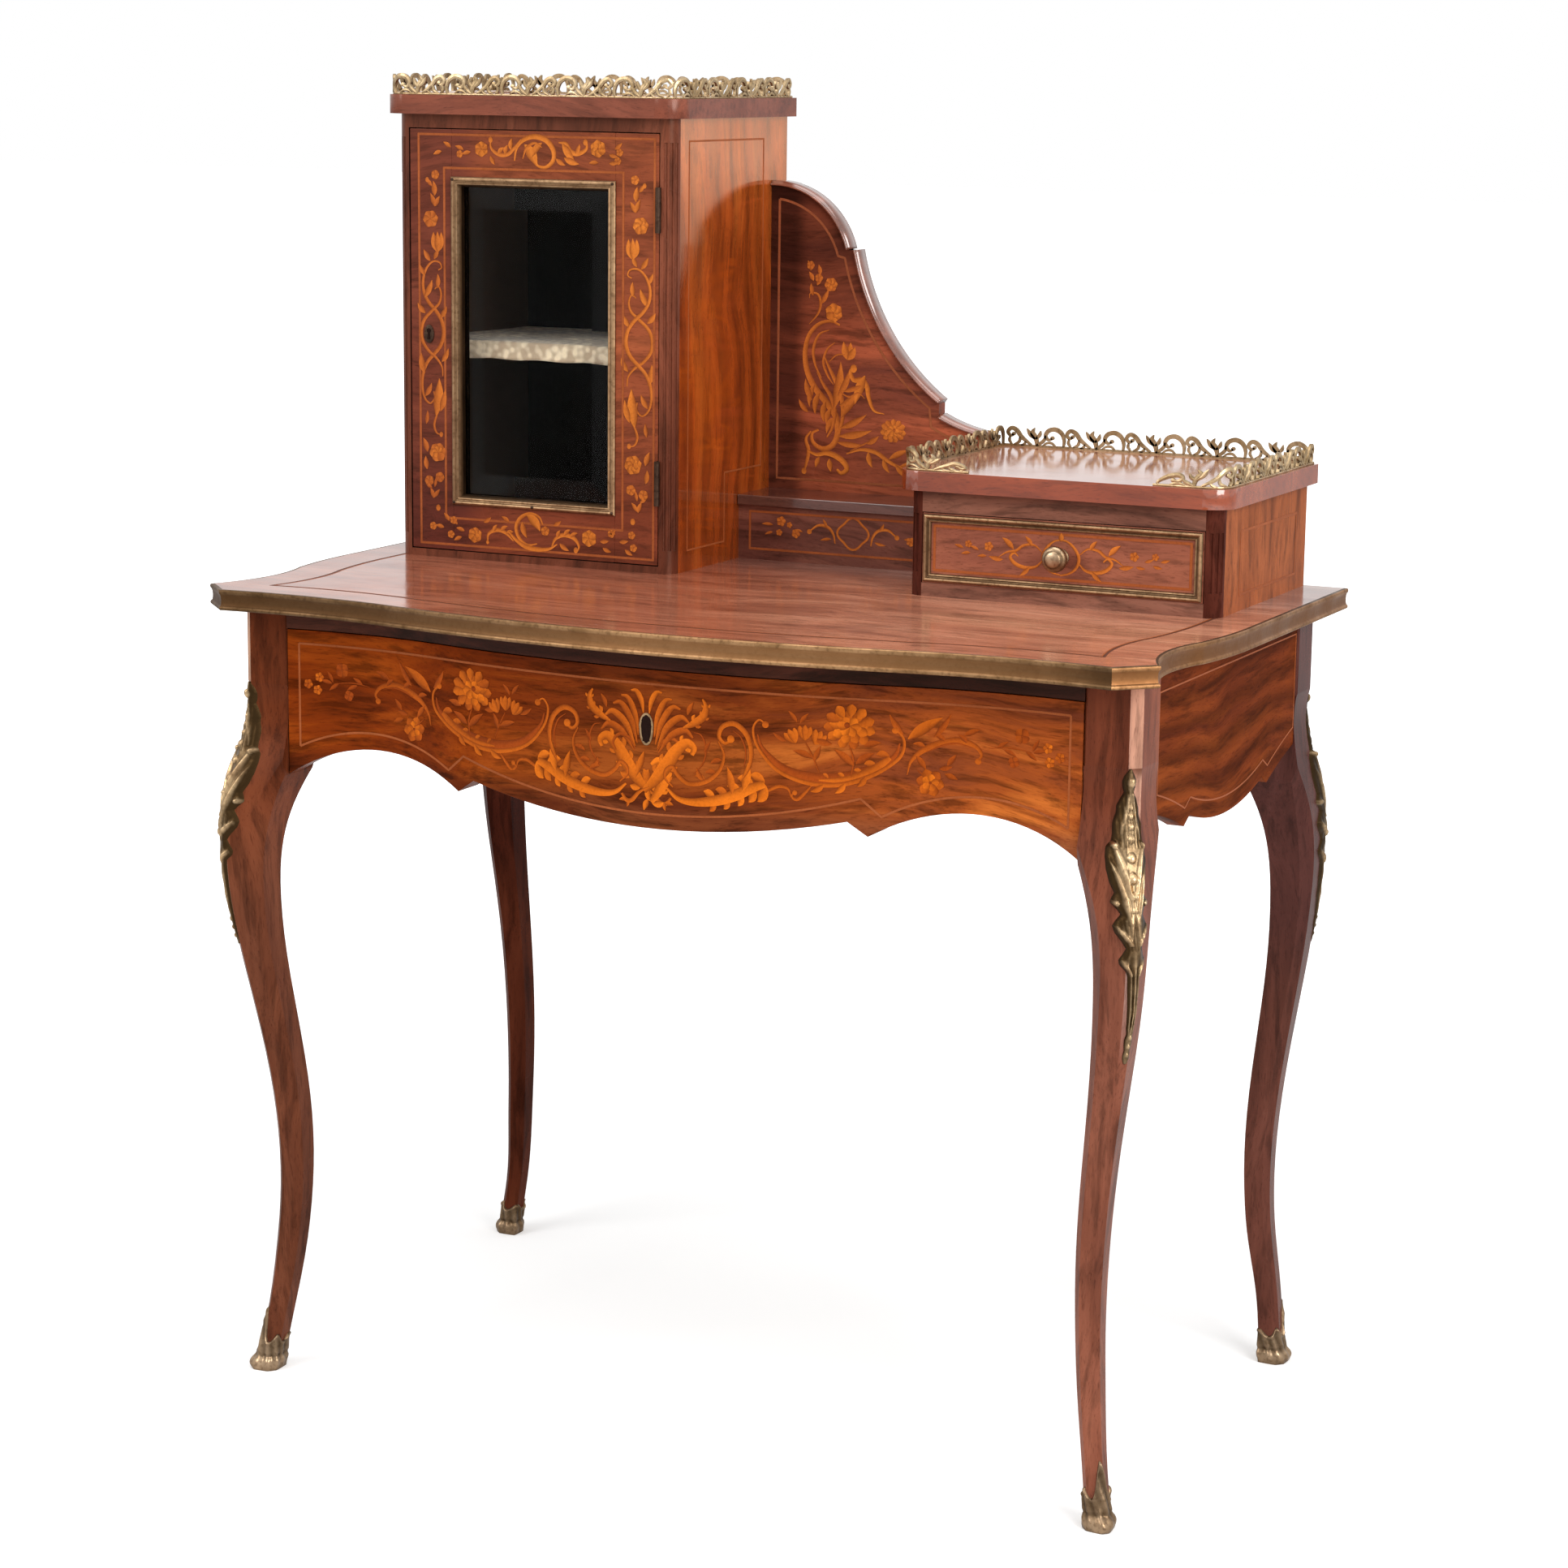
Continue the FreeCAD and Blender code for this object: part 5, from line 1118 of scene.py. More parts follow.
def mount_relief(z, t, half):
    """Height of the casting over the wood; t runs from -1 to 1 across it."""
    d, edge = t * half, abs(t)
    height = table_value(BODY_HEIGHTS, z) * (1 - 0.55 * edge ** 2.5)
    for (high, far), (low, near), proud, wide, curve in RIBS:
        share = (high - z) / (high - low)
        if -0.08 < share < 1.08:
            share = min(1, max(0, share))
            path = far + (near - far) * share ** curve
            height += proud * bump(abs(d), path, wide) * math.sin(math.pi * (0.14 + 0.72 * share))
    for middle, side, proud, round_size in BEADS:
        away = math.hypot(z - middle, (abs(d) - side) if side else d) / round_size
        height += proud * math.sqrt(max(0, 1 - away * away)) if away < 1 else 0
    if z <= 520:
        tail = min(1, (520 - z) / 12) * min(1, max(0, (z - 446) / 10))
        height += tail * (0.9 * math.cos(3.4 * math.pi * t) + 0.25 * math.cos(z / 3.1))
    if 604 < z < 650 or 520 < z < 546:
        height += 0.35 * math.cos(d * 1.9 + z / 6)
    return height


MOUNT_NARROW = 0.86
# How far the casting's spine lies from the middle of the corner, towards the front or back of the desk.
MOUNT_LEAN = [(420, -2), (470, -3.4), (520, -1.6), (560, 1.2), (600, 3.6), (668, 4.6)]


MOUNT_TOP, MOUNT_LENGTH, MOUNT_ROWS, MOUNT_ACROSS = 668, 248, 220, 41


def knee_mount(leg):
    rows, across = MOUNT_ROWS, MOUNT_ACROSS
    heights = [MOUNT_TOP - MOUNT_LENGTH * k / (rows - 1) for k in range(rows)]
    out, side, middle = corner_track(leg, heights)
    sx, sy = LEGS[leg]
    outer, inner, dirt = [], [], []
    for z, centre in zip(heights, middle):
        half = table_value(HALF_WIDTHS, z)
        base = before_corner(leg, z, out)
        last = None
        for j in range(across):
            t = 2 * j / (across - 1) - 1
            lateral = centre + t * half * MOUNT_NARROW + sx * sy * table_value(MOUNT_LEAN, z)
            found = probe(leg, base + side * lateral, -out)
            if found is None:
                found = last if last is not None else base + side * centre - out * 80
            last = found
            rim = min(1, (1 - abs(t)) / 0.1)
            rise = mount_relief(z, t, half)
            lift = -0.5 + (rise + 0.5) * math.sin(rim * math.pi / 2)
            outer.append(found + out * lift)
            inner.append(found - out * 1.2)
            dirt.append(min(1, max(0, 0.66 - 0.36 * (rise - table_value(BODY_HEIGHTS, z)))))
    for p in outer:
        p.x = min(464, max(-464, p.x))
        p.y = min(285.2, max(-285.2, p.y))
    points, faces = sheet(outer, inner, across)
    made = piece(leg + "_knee_mount", points, faces, "desk", METALS["mount"],
            numbers={"hollow": dirt + [1] * len(inner)})
    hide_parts("knee_mounts")
    return made


for leg in LEGS:
    knee_mount(leg)
print("knee mounts:", len(LEGS), "of", MOUNT_LENGTH, "mm")

# %% [markdown]
# Each foot stands in a brass shoe. It is made the same way, but the rays come in from all round.
# The shoe rises in a leaf along the outer corner, dips at the sides, and swells into a toe that
# takes the wear of the floor.

# %% Model the shoes of the feet
SHOE_TURNS, SHOE_ROWS = 72, 46


def slice_middle(leg, z):
    """The middle of the leg's section at one height, felt from four sides."""
    sx, sy = LEGS[leg]
    middle = Vector((sx * 428, -205)) if sy < 0 else Vector((sx * 428, 262))
    for turn in range(4):
        right = probe(leg, Vector((middle.x + 80, middle.y, z)), Vector((-1, 0, 0)))
        left = probe(leg, Vector((middle.x - 80, middle.y, z)), Vector((1, 0, 0)))
        if right and left:
            middle.x = (right.x + left.x) / 2
        front = probe(leg, Vector((middle.x, middle.y - 80, z)), Vector((0, 1, 0)))
        back = probe(leg, Vector((middle.x, middle.y + 80, z)), Vector((0, -1, 0)))
        if front and back:
            middle.y = (front.y + back.y) / 2
    return middle


def shoe(leg):
    sx, sy = LEGS[leg]
    front = math.atan2(sy, sx)
    axis_low, axis_high = slice_middle(leg, 6), slice_middle(leg, 40)
    lean = (axis_high - axis_low) / 34
    outer, inner, dirt = [], [], []
    for r in range(SHOE_ROWS):
        share = r / (SHOE_ROWS - 1)
        for k in range(SHOE_TURNS):
            angle = front + 2 * math.pi * k / SHOE_TURNS
            turn = (2 * math.pi * k / SHOE_TURNS + math.pi) % (2 * math.pi) - math.pi
            leaf = 27 + 34 * bump(turn, 0, 0.42) + 9 * bump(abs(turn), 1.55, 0.4) + 7 * bump(abs(turn),
                    math.pi, 0.5)
            z = share * leaf
            axis = axis_low + lean * (z - 6)
            course = Vector((math.cos(angle), math.sin(angle), 0))
            start = Vector((axis.x, axis.y, max(z, 4.6))) + course * 70
            found = probe(leg, start, -course)
            if found is None:
                found = Vector((axis.x, axis.y, z)) + course * 9
            found.z = z
            toe = bump(turn, 0, 0.75)
            rise = 1.3 + 2.2 * bump(z, 7, 8) + toe * (2.4 * bump(z, 6, 7) + 1.1 * bump(z, 26, 9))
            rise += 0.75 * math.cos(9 * turn + z / 5) * min(1, z / 8) + 0.9 * bump(share, 0.93, 0.05)
            rise -= 1.2 * bump(z, 14, 2.2)
            rim = min(1, (1 - share) / 0.05)
            lift = -0.4 + (rise + 0.4) * math.sin(rim * math.pi / 2)
            place = found + course * lift
            place.x = sx * min(464.5, abs(place.x))
            place.y = min(285.6, max(-285.6, place.y))
            outer.append(place)
            inner.append(found - course * 1.4 + Vector((0, 0, 0.6 if r == 0 else 0)))
            dirt.append(min(1, max(0, 1 - rise / 4.2)))
    points, faces, offset = outer + inner, [], SHOE_TURNS * SHOE_ROWS
    for r in range(SHOE_ROWS - 1):
        for k in range(SHOE_TURNS):
            a, b = r * SHOE_TURNS + k, r * SHOE_TURNS + (k + 1) % SHOE_TURNS
            faces.append((a, b, b + SHOE_TURNS, a + SHOE_TURNS))
            faces.append((offset + a, offset + a + SHOE_TURNS, offset + b + SHOE_TURNS, offset + b))
    last = (SHOE_ROWS - 1) * SHOE_TURNS
    for k in range(SHOE_TURNS):
        a, b = last + k, last + (k + 1) % SHOE_TURNS
        faces.append((a, b, offset + b, offset + a))
    faces += [tuple(range(SHOE_TURNS)), tuple(offset + k for k in reversed(range(SHOE_TURNS)))]
    made = piece(leg + "_shoe", points, faces, "desk", METALS["shoe"],
            numbers={"hollow": dirt + [1] * offset})
    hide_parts("sabots")
    return made


for leg in LEGS:
    shoe(leg)
print("shoes:", len(LEGS))

# %% [markdown]
# A pierced gallery of cast brass runs round the top of each cabinet. It is openwork, so it is
# drawn with strokes like the marquetry, but standing up: the flat position is the distance
# along the gallery and the height, and the third number goes through its thickness.

# %% Openwork along a line
def lay_along(path, base):
    """A surface that stands on a plan path, measured along it from its start."""
    lengths = [0]
    for a, b in zip(path, path[1:]):
        lengths.append(lengths[-1] + (b - a).length)

    def lay(u, v, h):
        k = 0
        while k < len(path) - 2 and lengths[k + 1] < u:
            k += 1
        a, b = path[k], path[k + 1]
        run = lengths[k + 1] - lengths[k]
        at = a.lerp(b, (u - lengths[k]) / run)
        course = (b - a) / run
        return Vector((at.x + course.y * h, at.y - course.x * h, base + v))

    return lay, lengths[-1]


REPEAT = 57


def gallery_repeat(work, at, scale, high=lambda u: 1):
    """One repeat of the openwork: a C scroll, a leaf, and a running S scroll."""
    def p(*pairs):
        return [(at + scale * x, 1.6 + (y - 1.6) * high(at + scale * x)) for x, y in pairs]

    def draw(points, width, tips=(0.45, 0.45), belly=0.5):
        work.scroll(points, 1.45 * width, 0.5, tips, belly, 0, 1.3)

    draw(p((2, 1.5), (1.5, 8), (4, 14.5), (10, 18), (16.5, 16.5), (19.5, 11.5), (16.5, 7.6), (12.6, 9.2)),
            3.1)
    work.dot(p((12.8, 9.6))[0], 2)
    draw(p((19, 12), (21, 7), (25, 3.4), (28, 1.5)), 2.4)
    draw(p((10, 2), (13.5, 4.6), (18, 4.4), (22, 1.8)), 1.8)
    draw(p((27.5, 1.6), (28.5, 8), (32, 13.6), (30.2, 18.6)), 3.6, (0.5, 0.1), 0.6)
    draw(p((29, 8), (34, 12), (37.6, 17.6)), 2.8, (0.4, 0.1), 0.5)
    draw(p((28.6, 8), (25.4, 11.5), (24.2, 16.2)), 2.4, (0.4, 0.1), 0.5)
    draw(p((33, 2), (37.6, 5.2), (43, 9.6), (47.5, 15.4), (52.6, 17.4), (56, 13.4), (53, 9.8),
            (50, 11.6)), 2.9)
    work.dot(p((50.4, 11.8))[0], 1.9)
    draw(p((44, 9.6), (45, 4.4), (49.5, 2)), 2)
    draw(p((52, 2), (54.4, 5.6), (53.6, 9.6)), 1.9)
    draw(p((38, 5.4), (40.4, 2.2), (43, 1.6)), 1.7)


def gallery(name, path, base, replaced, runs, high=lambda u: 1):
    lay, length = lay_along(path, base)
    work = Strokes(lay, 3)
    rail = [(length * k / 120, 1.1) for k in range(121)]
    work.stroke(rail, [2.2] * len(rail), 0.5, (0.4, 0.4))
    for start, end in runs:
        count = max(1, round((end - start) / REPEAT))
        for k in range(count):
            gallery_repeat(work, start + (end - start) * k / count, (end - start) / count / REPEAT, high)
    made = work.make(name, "desk", METALS["gallery"], "aged_brass", 2.3, 0, 0.45)
    deep = hollows(made.data.vertices, (0.4, 0.3, 0, 0.3, 0.4))
    made.data.attributes.new("hollow", "FLOAT", "POINT").data.foreach_set("value", deep)
    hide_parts(replaced)
    return made


def slab_round(low_x, high_x, low_y, high_y, radius):
    """Plan of a slab with rounded front corners, from back left round the front to back right."""
    c = radius * (1 - math.sqrt(0.5))
    return chain(straight((low_x, high_y), (low_x, low_y + radius)),
            arc((low_x, low_y + radius), (low_x + c, low_y + c), (low_x + radius, low_y), 2),
            straight((low_x + radius, low_y), (high_x - radius, low_y)),
            arc((high_x - radius, low_y), (high_x - c, low_y + c), (high_x, low_y + radius), 2),
            straight((high_x, low_y + radius), (high_x, high_y)))


front_loop = slab_round(-426.8, -118.2, 33.7, 278, 18)
side_run = 278 - 33.7 - 18
front_run = 308.6 - 36
corner_run = 18 * math.pi / 2
marks = [0, side_run, side_run + corner_run, side_run + corner_run + front_run]
marks += [marks[-1] + corner_run, marks[-1] + corner_run + side_run]
rail_profile = [(0, 1202.4), (1.2, 1202.6), (1.5, 1203.6), (1.2, 1205), (0.4, 1205.6), (-0.6, 1205.6),
        (-0.6, 1202.4)]
points, faces = sweep(front_loop, rail_profile)
gallery_rail = piece("cabinet_gallery_rail", points, faces, "desk", METALS["rail"])
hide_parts("cabinet_gallery")
gallery("cabinet_openwork_gallery", front_loop, 1202.6, "cabinet_gallery",
        [(2, marks[1] + corner_run / 2), (marks[1] + corner_run / 2, marks[3] + corner_run / 2),
        (marks[3] + corner_run / 2, marks[5] - 2)])
back_line = straight((-117, 275.2), (-428, 275.2))
gallery("cabinet_back_gallery", back_line, 1202.6, "cabinet_gallery", [(3, 308)])

# %% The gallery of the small box, with its sloping returns
RETURN = 66
box_loop = slab_round(118.2, 426.8, 31.7, 278, 18)
left_arm = chain([p for p in box_loop if p.x < 136.3], straight((136.2, 31.7), (118.2 + RETURN, 31.7)))
right_arm = [Vector((545 - p.x, p.y)) for p in reversed(left_arm)]
arm_length = 278 - 49.7 + corner_run + RETURN - 18


def slope_down(far_end):
    """The return sinks to a low tail at its free end."""
    def high(u):
        left = (arm_length - u) if far_end else u
        return 0.14 + 0.86 * min(1, max(0, left / 50)) ** 0.8
    return high


gallery("box_left_gallery", left_arm, 875.5, "box_gallery",
        [(2, 228), (228, arm_length - 2)], slope_down(True))
gallery("box_right_gallery", right_arm, 875.5, "box_gallery",
        [(2, arm_length - 228), (arm_length - 228, arm_length - 2)], slope_down(False))
gallery("box_back_gallery", straight((428, 275.2), (117, 275.2)), 875.5, "box_gallery", [(3, 308)])
print("galleries done")

# %% [markdown]
# The front of the main drawer carries the richest marquetry: acanthus leaves fan out from the
# keyhole, big C scrolls hold a full blown flower on each side, and small sprays run out to the
# ends. The front is bowed, so its surface function follows the same three arcs as the solid.
# The design is the same to left and right; only half is drawn, and then mirrored.

# %% The bowed face of the drawer
BOW_CENTRE, BOW_RADIUS = circle_of((-230, -212.5), (0, -240), (230, -212.5))
HOLLOW_CENTRE, HOLLOW_RADIUS = circle_of((230, -212.5), (311, -201.5), (392, -206))


def bow(x):
    """Depth of the drawer's face at x, in millimetres."""
    x = abs(x)
    if x <= 230:
        return BOW_CENTRE.y - math.sqrt(BOW_RADIUS ** 2 - x * x)
    return HOLLOW_CENTRE.y + math.sqrt(HOLLOW_RADIUS ** 2 - (x - HOLLOW_CENTRE.x) ** 2)


def lay_drawer(x, z, h):
    slope = (bow(x + 0.5) - bow(x - 0.5))
    out = Vector((slope, -1)).normalized()
    return Vector((x + out.x * h, bow(x) + out.y * h, z))


print("bow at the middle and the ends:", round(bow(0), 1), round(bow(392), 1))

# %% Cut the marquetry of the main drawer
drawer = Strokes(lay_drawer, 7, 1, 2.6)
# the small outer scroll with its spray
drawer.scroll([(-297, 661), (-300, 667), (-294, 674), (-281, 677.5), (-266, 675), (-250, 668),
        (-239, 657.5), (-235.5, 645)], 6, 0.6, (0.3, 0.1), ball=2.8)
drawer.scroll([(-292, 672), (-279, 675), (-266, 672.6), (-252, 666)], 1.6, 0.2)
drawer.fronds([(-290, 676), (-266, 676), (-246, 668)], 1, 3, 11, 4.4, 34, 0.45)
drawer.leaf((-236, 676), 146, 36, 9.5, 14, 0.7)
drawer.leaf((-258, 679), 124, 26, 5.2, -20, 0.4)
drawer.leaf((-232, 680), 56, 21, 5.4, 24, 0.45)
drawer.leaf((-284, 682), 158, 16, 5, 20, 0.4)
drawer.leaf((-243, 662), 235, 15, 5.2, 20, 0.5)
drawer.leaf((-270, 655), 128, 13, 4.8, 10, 0.35)
drawer.leaf((-263, 652), 166, 12, 4.6, -10, 0.35)
drawer.flower((-255.5, 639.5), 12, 6, 10, 0.8)
drawer.flower((-255.5, 639.5), 7.5, 5, 30, 0.95)
drawer.leaf((-268, 648), 200, 12, 5, 0, 0.5)
drawer.scroll([(-244, 650), (-250, 645), (-256, 642)], 1.4, 0.35)
# twigs with small flowers near the end
drawer.scroll([(-306, 673), (-325, 675), (-345, 673)], 1.1, 0.25)
drawer.flower((-336, 686), 7, 4, 45, 0.35)
drawer.flower((-329, 663), 5, 4, 20, 0.3)
for x, z, tone in ((-360, 678, 0.9), (-371.5, 671, 0.75), (-362, 666, 0.85)):
    drawer.flower((x, z), 4.6, 5, x, tone)
for angle, x, z in ((150, -314, 674), (205, -320, 673), (215, -340, 673), (170, -347, 673),
        (120, -346, 674)):
    drawer.leaf((x, z), angle, 12, 3.8, 14, 0.3)
# the big C scroll: a dull crescent of leaf with a bright line along its back
c_line = [(-225, 683), (-231.5, 677), (-232.5, 668), (-227, 657.5), (-207, 643.5), (-180, 633.5),
        (-151.5, 632.7), (-124, 641.6), (-106, 660), (-101, 675.8), (-106, 684.5), (-112.5, 681)]
inner = [(-229, 672), (-224, 660), (-205, 648), (-180, 639), (-153, 637.5), (-128, 644.5), (-110, 660),
        (-105, 672)]
drawer.scroll(inner, 10, 0.12, (0.12, 0.1), 0.42)
drawer.acanthus([(-221, 659), (-205, 646.5), (-184, 638), (-160, 636)], 8, 5, 0.7, (0.5, 0.2), 0.3, (1,),
        (0, 0.9), 1.3)
drawer.scroll(c_line, 4.2, 0.75, (0.45, 0.35), 0.45, ball=2.8)
drawer.dot((-112, 681), 3, 0.7)
drawer.fronds([(-205, 643.5), (-180, 633.5), (-158, 632)], -1, 3, 13, 5.4, 26, 0.8, grow=0.3)
# the full blown flower with leaves, and the tulips beside it
drawer.scroll([(-188, 640), (-190, 655), (-186, 668)], 1.8, 0.3)
drawer.leaf((-192, 652), 148, 19, 6.4, 20, 0.35)
drawer.leaf((-190, 650), 38, 22, 6.4, -20, 0.4)
drawer.leaf((-199, 668), 168, 15, 5.6, 24, 0.45)
drawer.leaf((-171, 668), 15, 16, 5.6, 24, 0.45)
drawer.poppy((-186, 684), 19.5, 12, 1, 1.15)
drawer.scroll([(-160, 643), (-155, 655), (-148, 668)], 1.5, 0.3)
drawer.leaf((-156, 652), 112, 15, 4.8, 14, 0.4)
drawer.leaf((-154, 655), 16, 18, 5.4, -20, 0.42)
for x, z, angle in ((-147, 670, 92), (-156, 667, 118), (-139, 667, 60)):
    for turn in (-22, 22, 0):
        drawer.petal((x, z), angle + turn, 13, 5.6, 0.75, -turn)
drawer.leaf((-143, 684), 130, 12, 3.8, 20, 0.4)
drawer.leaf((-140, 685), 50, 12, 3.8, -20, 0.4)
drawer.leaf((-131, 668), 30, 14, 4.2, 20, 0.4)
# curls under the C
drawer.scroll([(-154, 631), (-147, 623), (-141, 617.5), (-136.5, 620), (-138.5, 624)], 3, 0.6, (0.3, 0.4))
drawer.dot((-139, 623.5), 2.2, 0.65)
drawer.scroll([(-136, 619), (-133, 626.5), (-124, 628), (-113, 623), (-106, 626)], 3.2, 0.6)
# the long bright acanthus at the foot
drawer.acanthus([(-112, 629), (-99, 624), (-84, 616.5), (-66, 610.5), (-46, 607.5), (-31, 609.5),
        (-20, 618)], 10, 5, 0.95, (0.6, 0.2), 0.3, (1, -1), (0, 0.5), 1.35)
drawer.leaf((-92, 622), 100, 25, 8, -20, 0.95)
drawer.leaf((-82, 618), 78, 24, 7, -20, 0.85)
# the ring over it
drawer.scroll([(-90, 630), (-97, 641), (-99.5, 656), (-95, 671), (-84, 679.5), (-73, 676.5),
        (-69.5, 667.5), (-75, 661.5), (-81.5, 665)], 4.8, 0.7, (0.3, 0.5), 0.55)
drawer.dot((-80.5, 666), 3.4, 0.8)
drawer.scroll([(-93, 642), (-94.5, 656), (-90, 668), (-82, 674)], 1.5, 0.25)
# the second scroll that rolls in towards the middle
drawer.scroll([(-69, 663), (-74, 651), (-70, 637.5), (-58, 627), (-42, 623.5), (-31, 630), (-26, 637),
        (-19.5, 634), (-18.5, 626.5), (-26, 619)], 4.2, 0.6, (0.3, 0.3))
drawer.fronds([(-73, 648), (-66, 634), (-54, 626)], 1, 3, 12, 4.8, 44, 0.5)
drawer.leaf((-56, 627), 60, 14, 4.6, 50, 0.5)
drawer.scroll([(-46, 632), (-55, 643), (-57.5, 656), (-53, 667), (-46, 669)], 1.8, 0.3)
drawer.leaf((-56, 652), 120, 12, 3.6, 20, 0.3)
# the palmette round the keyhole, its feathers curling outwards
drawer.acanthus([(2, 613), (-9, 624), (-20, 638), (-29, 651), (-39, 659), (-46, 655), (-44, 649)], 12.5,
        5, 0.9, (0.35, 0.3), 0.42, (1, -1), (0.12, 0.75), 1.05)
for points, width, tone in (([(-12, 648), (-24, 664), (-37, 670), (-45, 664)], 6, 0.55),
        ([(-11, 652), (-20, 671), (-33, 681), (-41, 677)], 6.4, 0.75),
        ([(-9, 655), (-15, 675), (-25, 689), (-33, 688)], 6, 0.6),
        ([(-8, 662), (-11, 680), (-18, 694), (-25, 696)], 5.4, 0.7),
        ([(-3, 682), (-5, 693), (-10, 701), (-15, 701)], 5, 0.85)):
    drawer.scroll(points, width, tone, (0.15, 0.3), 0.6)
drawer.acanthus([(-36, 672), (-46, 677), (-55, 684), (-57, 693), (-54, 699)], 7, 3, 0.85, (0.3, 0.2), 0.5,
        (1, -1), (0.3, 0.8), 1)
drawer.leaf((-40, 684), 118, 13, 4.6, 30, 0.5)
drawer.scroll([(-11, 650), (-17, 659), (-27, 661), (-33, 654), (-30, 647)], 3, 0.45, (0.3, 0.4))
drawer.scroll([(-24, 609), (-19.5, 603.5), (-14, 604), (-7, 611.5), (3, 617)], 4, 0.8, (0.5, 0.2), 0.3)
drawer.leaf((-18, 604), 190, 9, 4, 30, 0.8)
drawer.leaf((-18, 605), 260, 8, 3.6, -30, 0.7)
drawer.mirror()
drawer.acanthus([(5, 604), (11, 612), (17, 623), (18, 634), (12, 641), (5, 637)], 11, 4, 1, (0.4, 0.3),
        0.5, (1, -1), (0, 0.8), 0.9)
drawer.leaf((2, 606), 250, 11, 5.4, 20, 0.95)
drawer.leaf((-2, 648), 250, 26, 6, 0, 0.8)
drawer.make("main_drawer_marquetry", "main_drawer", INLAY["satinwood"], "rosewood_veneer")

# %% [markdown]
# A light string frames each panel. On the drawer it keeps the shape of the lower edge: arch,
# notch and lobe. A path from arcs and straight runs does that, and the same surface function
# bends it round the front.

# %% String the main drawer
def mirrored(path):
    return [Vector((-p[0], p[1])) for p in path]


half_foot = chain(arc((0, 593), (100, 600.5), (196.5, 622)), straight((196.5, 622), (214.5, 607), 3),
        arc((214.5, 607), (308, 630), (380.5, 612)))
upright = straight((380.5, 612), (380.5, 708), 4)
head = straight((380.5, 708), (-380.5, 708), 6)
strings = string_line(lay_drawer, [half_foot, mirrored(half_foot), upright, mirrored(upright), head], 2)
strings.make("main_drawer_string", "main_drawer", INLAY["string"], "rosewood_veneer")

# %% [markdown]
# A keyhole is a small thing, but the eye looks for it. It is a slot with a round head in a
# thin brass lining. Both are drawn as closed outlines pressed into the face; nothing is cut, so
# the dark of the hole is painted shade, a black shape laid where the hole would be.

# %% Keyholes
def keyhole(name, lay, x, z, size, body, lined=True):
    """A round head over a flared slot, painted black for the shade of the hole, inside a thin metal
    lining.
    """
    head_radius = 0.2 * size
    shape = Strokes(lay, 1)
    shape.stroke([(x, z + 0.3 * size - head_radius), (x, z + 0.3 * size - 0.7 * head_radius),
            (x, z + 0.3 * size), (x, z + 0.3 * size + 0.7 * head_radius),
            (x, z + 0.3 * size + head_radius)],
            [0.2, 1.43 * head_radius, 2 * head_radius, 1.43 * head_radius, 0.2], 0, (0, 0))
    shape.stroke([(x, z + 0.25 * size), (x, z), (x, z - 0.45 * size)],
            [0.14 * size, 0.14 * size, 0.3 * size], 0, (0, 0))
    shape.make(name, body, INLAY["keyhole_shade"], "aged_brass", 0.62)
    if lined:
        # The well inside the lining is painted shade too: a black oval in place of the hollow of the hole.
        well = [math.pi * k / 16 for k in range(17)]
        opening = Strokes(lay, 1)
        opening.stroke([(x, z + 0.54 * size * math.cos(a)) for a in well],
                [max(0.1, 0.5 * size * math.sin(a)) for a in well], 0, (0, 0))
        opening.make(name + "_well", body, INLAY["keyhole_shade"], "aged_brass", 0.45)
        ring = [(x + 0.26 * size * math.sin(2 * math.pi * k / 32) * (1 if abs(k - 16) > 8 else 0.92),
                z + 0.56 * size * math.cos(2 * math.pi * k / 32)) for k in range(33)]
        liner = Strokes(lay, 1)
        liner.stroke(ring, [0.05 * size + 0.6] * 33, 0.5, (0, 0))
        liner.make(name + "_lining", body, METALS["plain"], "aged_brass", 0.55)


keyhole("main_drawer_keyhole", lay_drawer, 0, 668, 24, "main_drawer")

# %% [markdown]
# The door's frame is inlaid all round. Each stile carries two S scrolls that cross above and
# below the middle, with flowers and leaves over and under them. Both stiles are drawn by one
# function, from the stile's middle line outwards, so they stay a pair.

# %% Inlay the stiles of the door
lay_door = facing("front", 40)


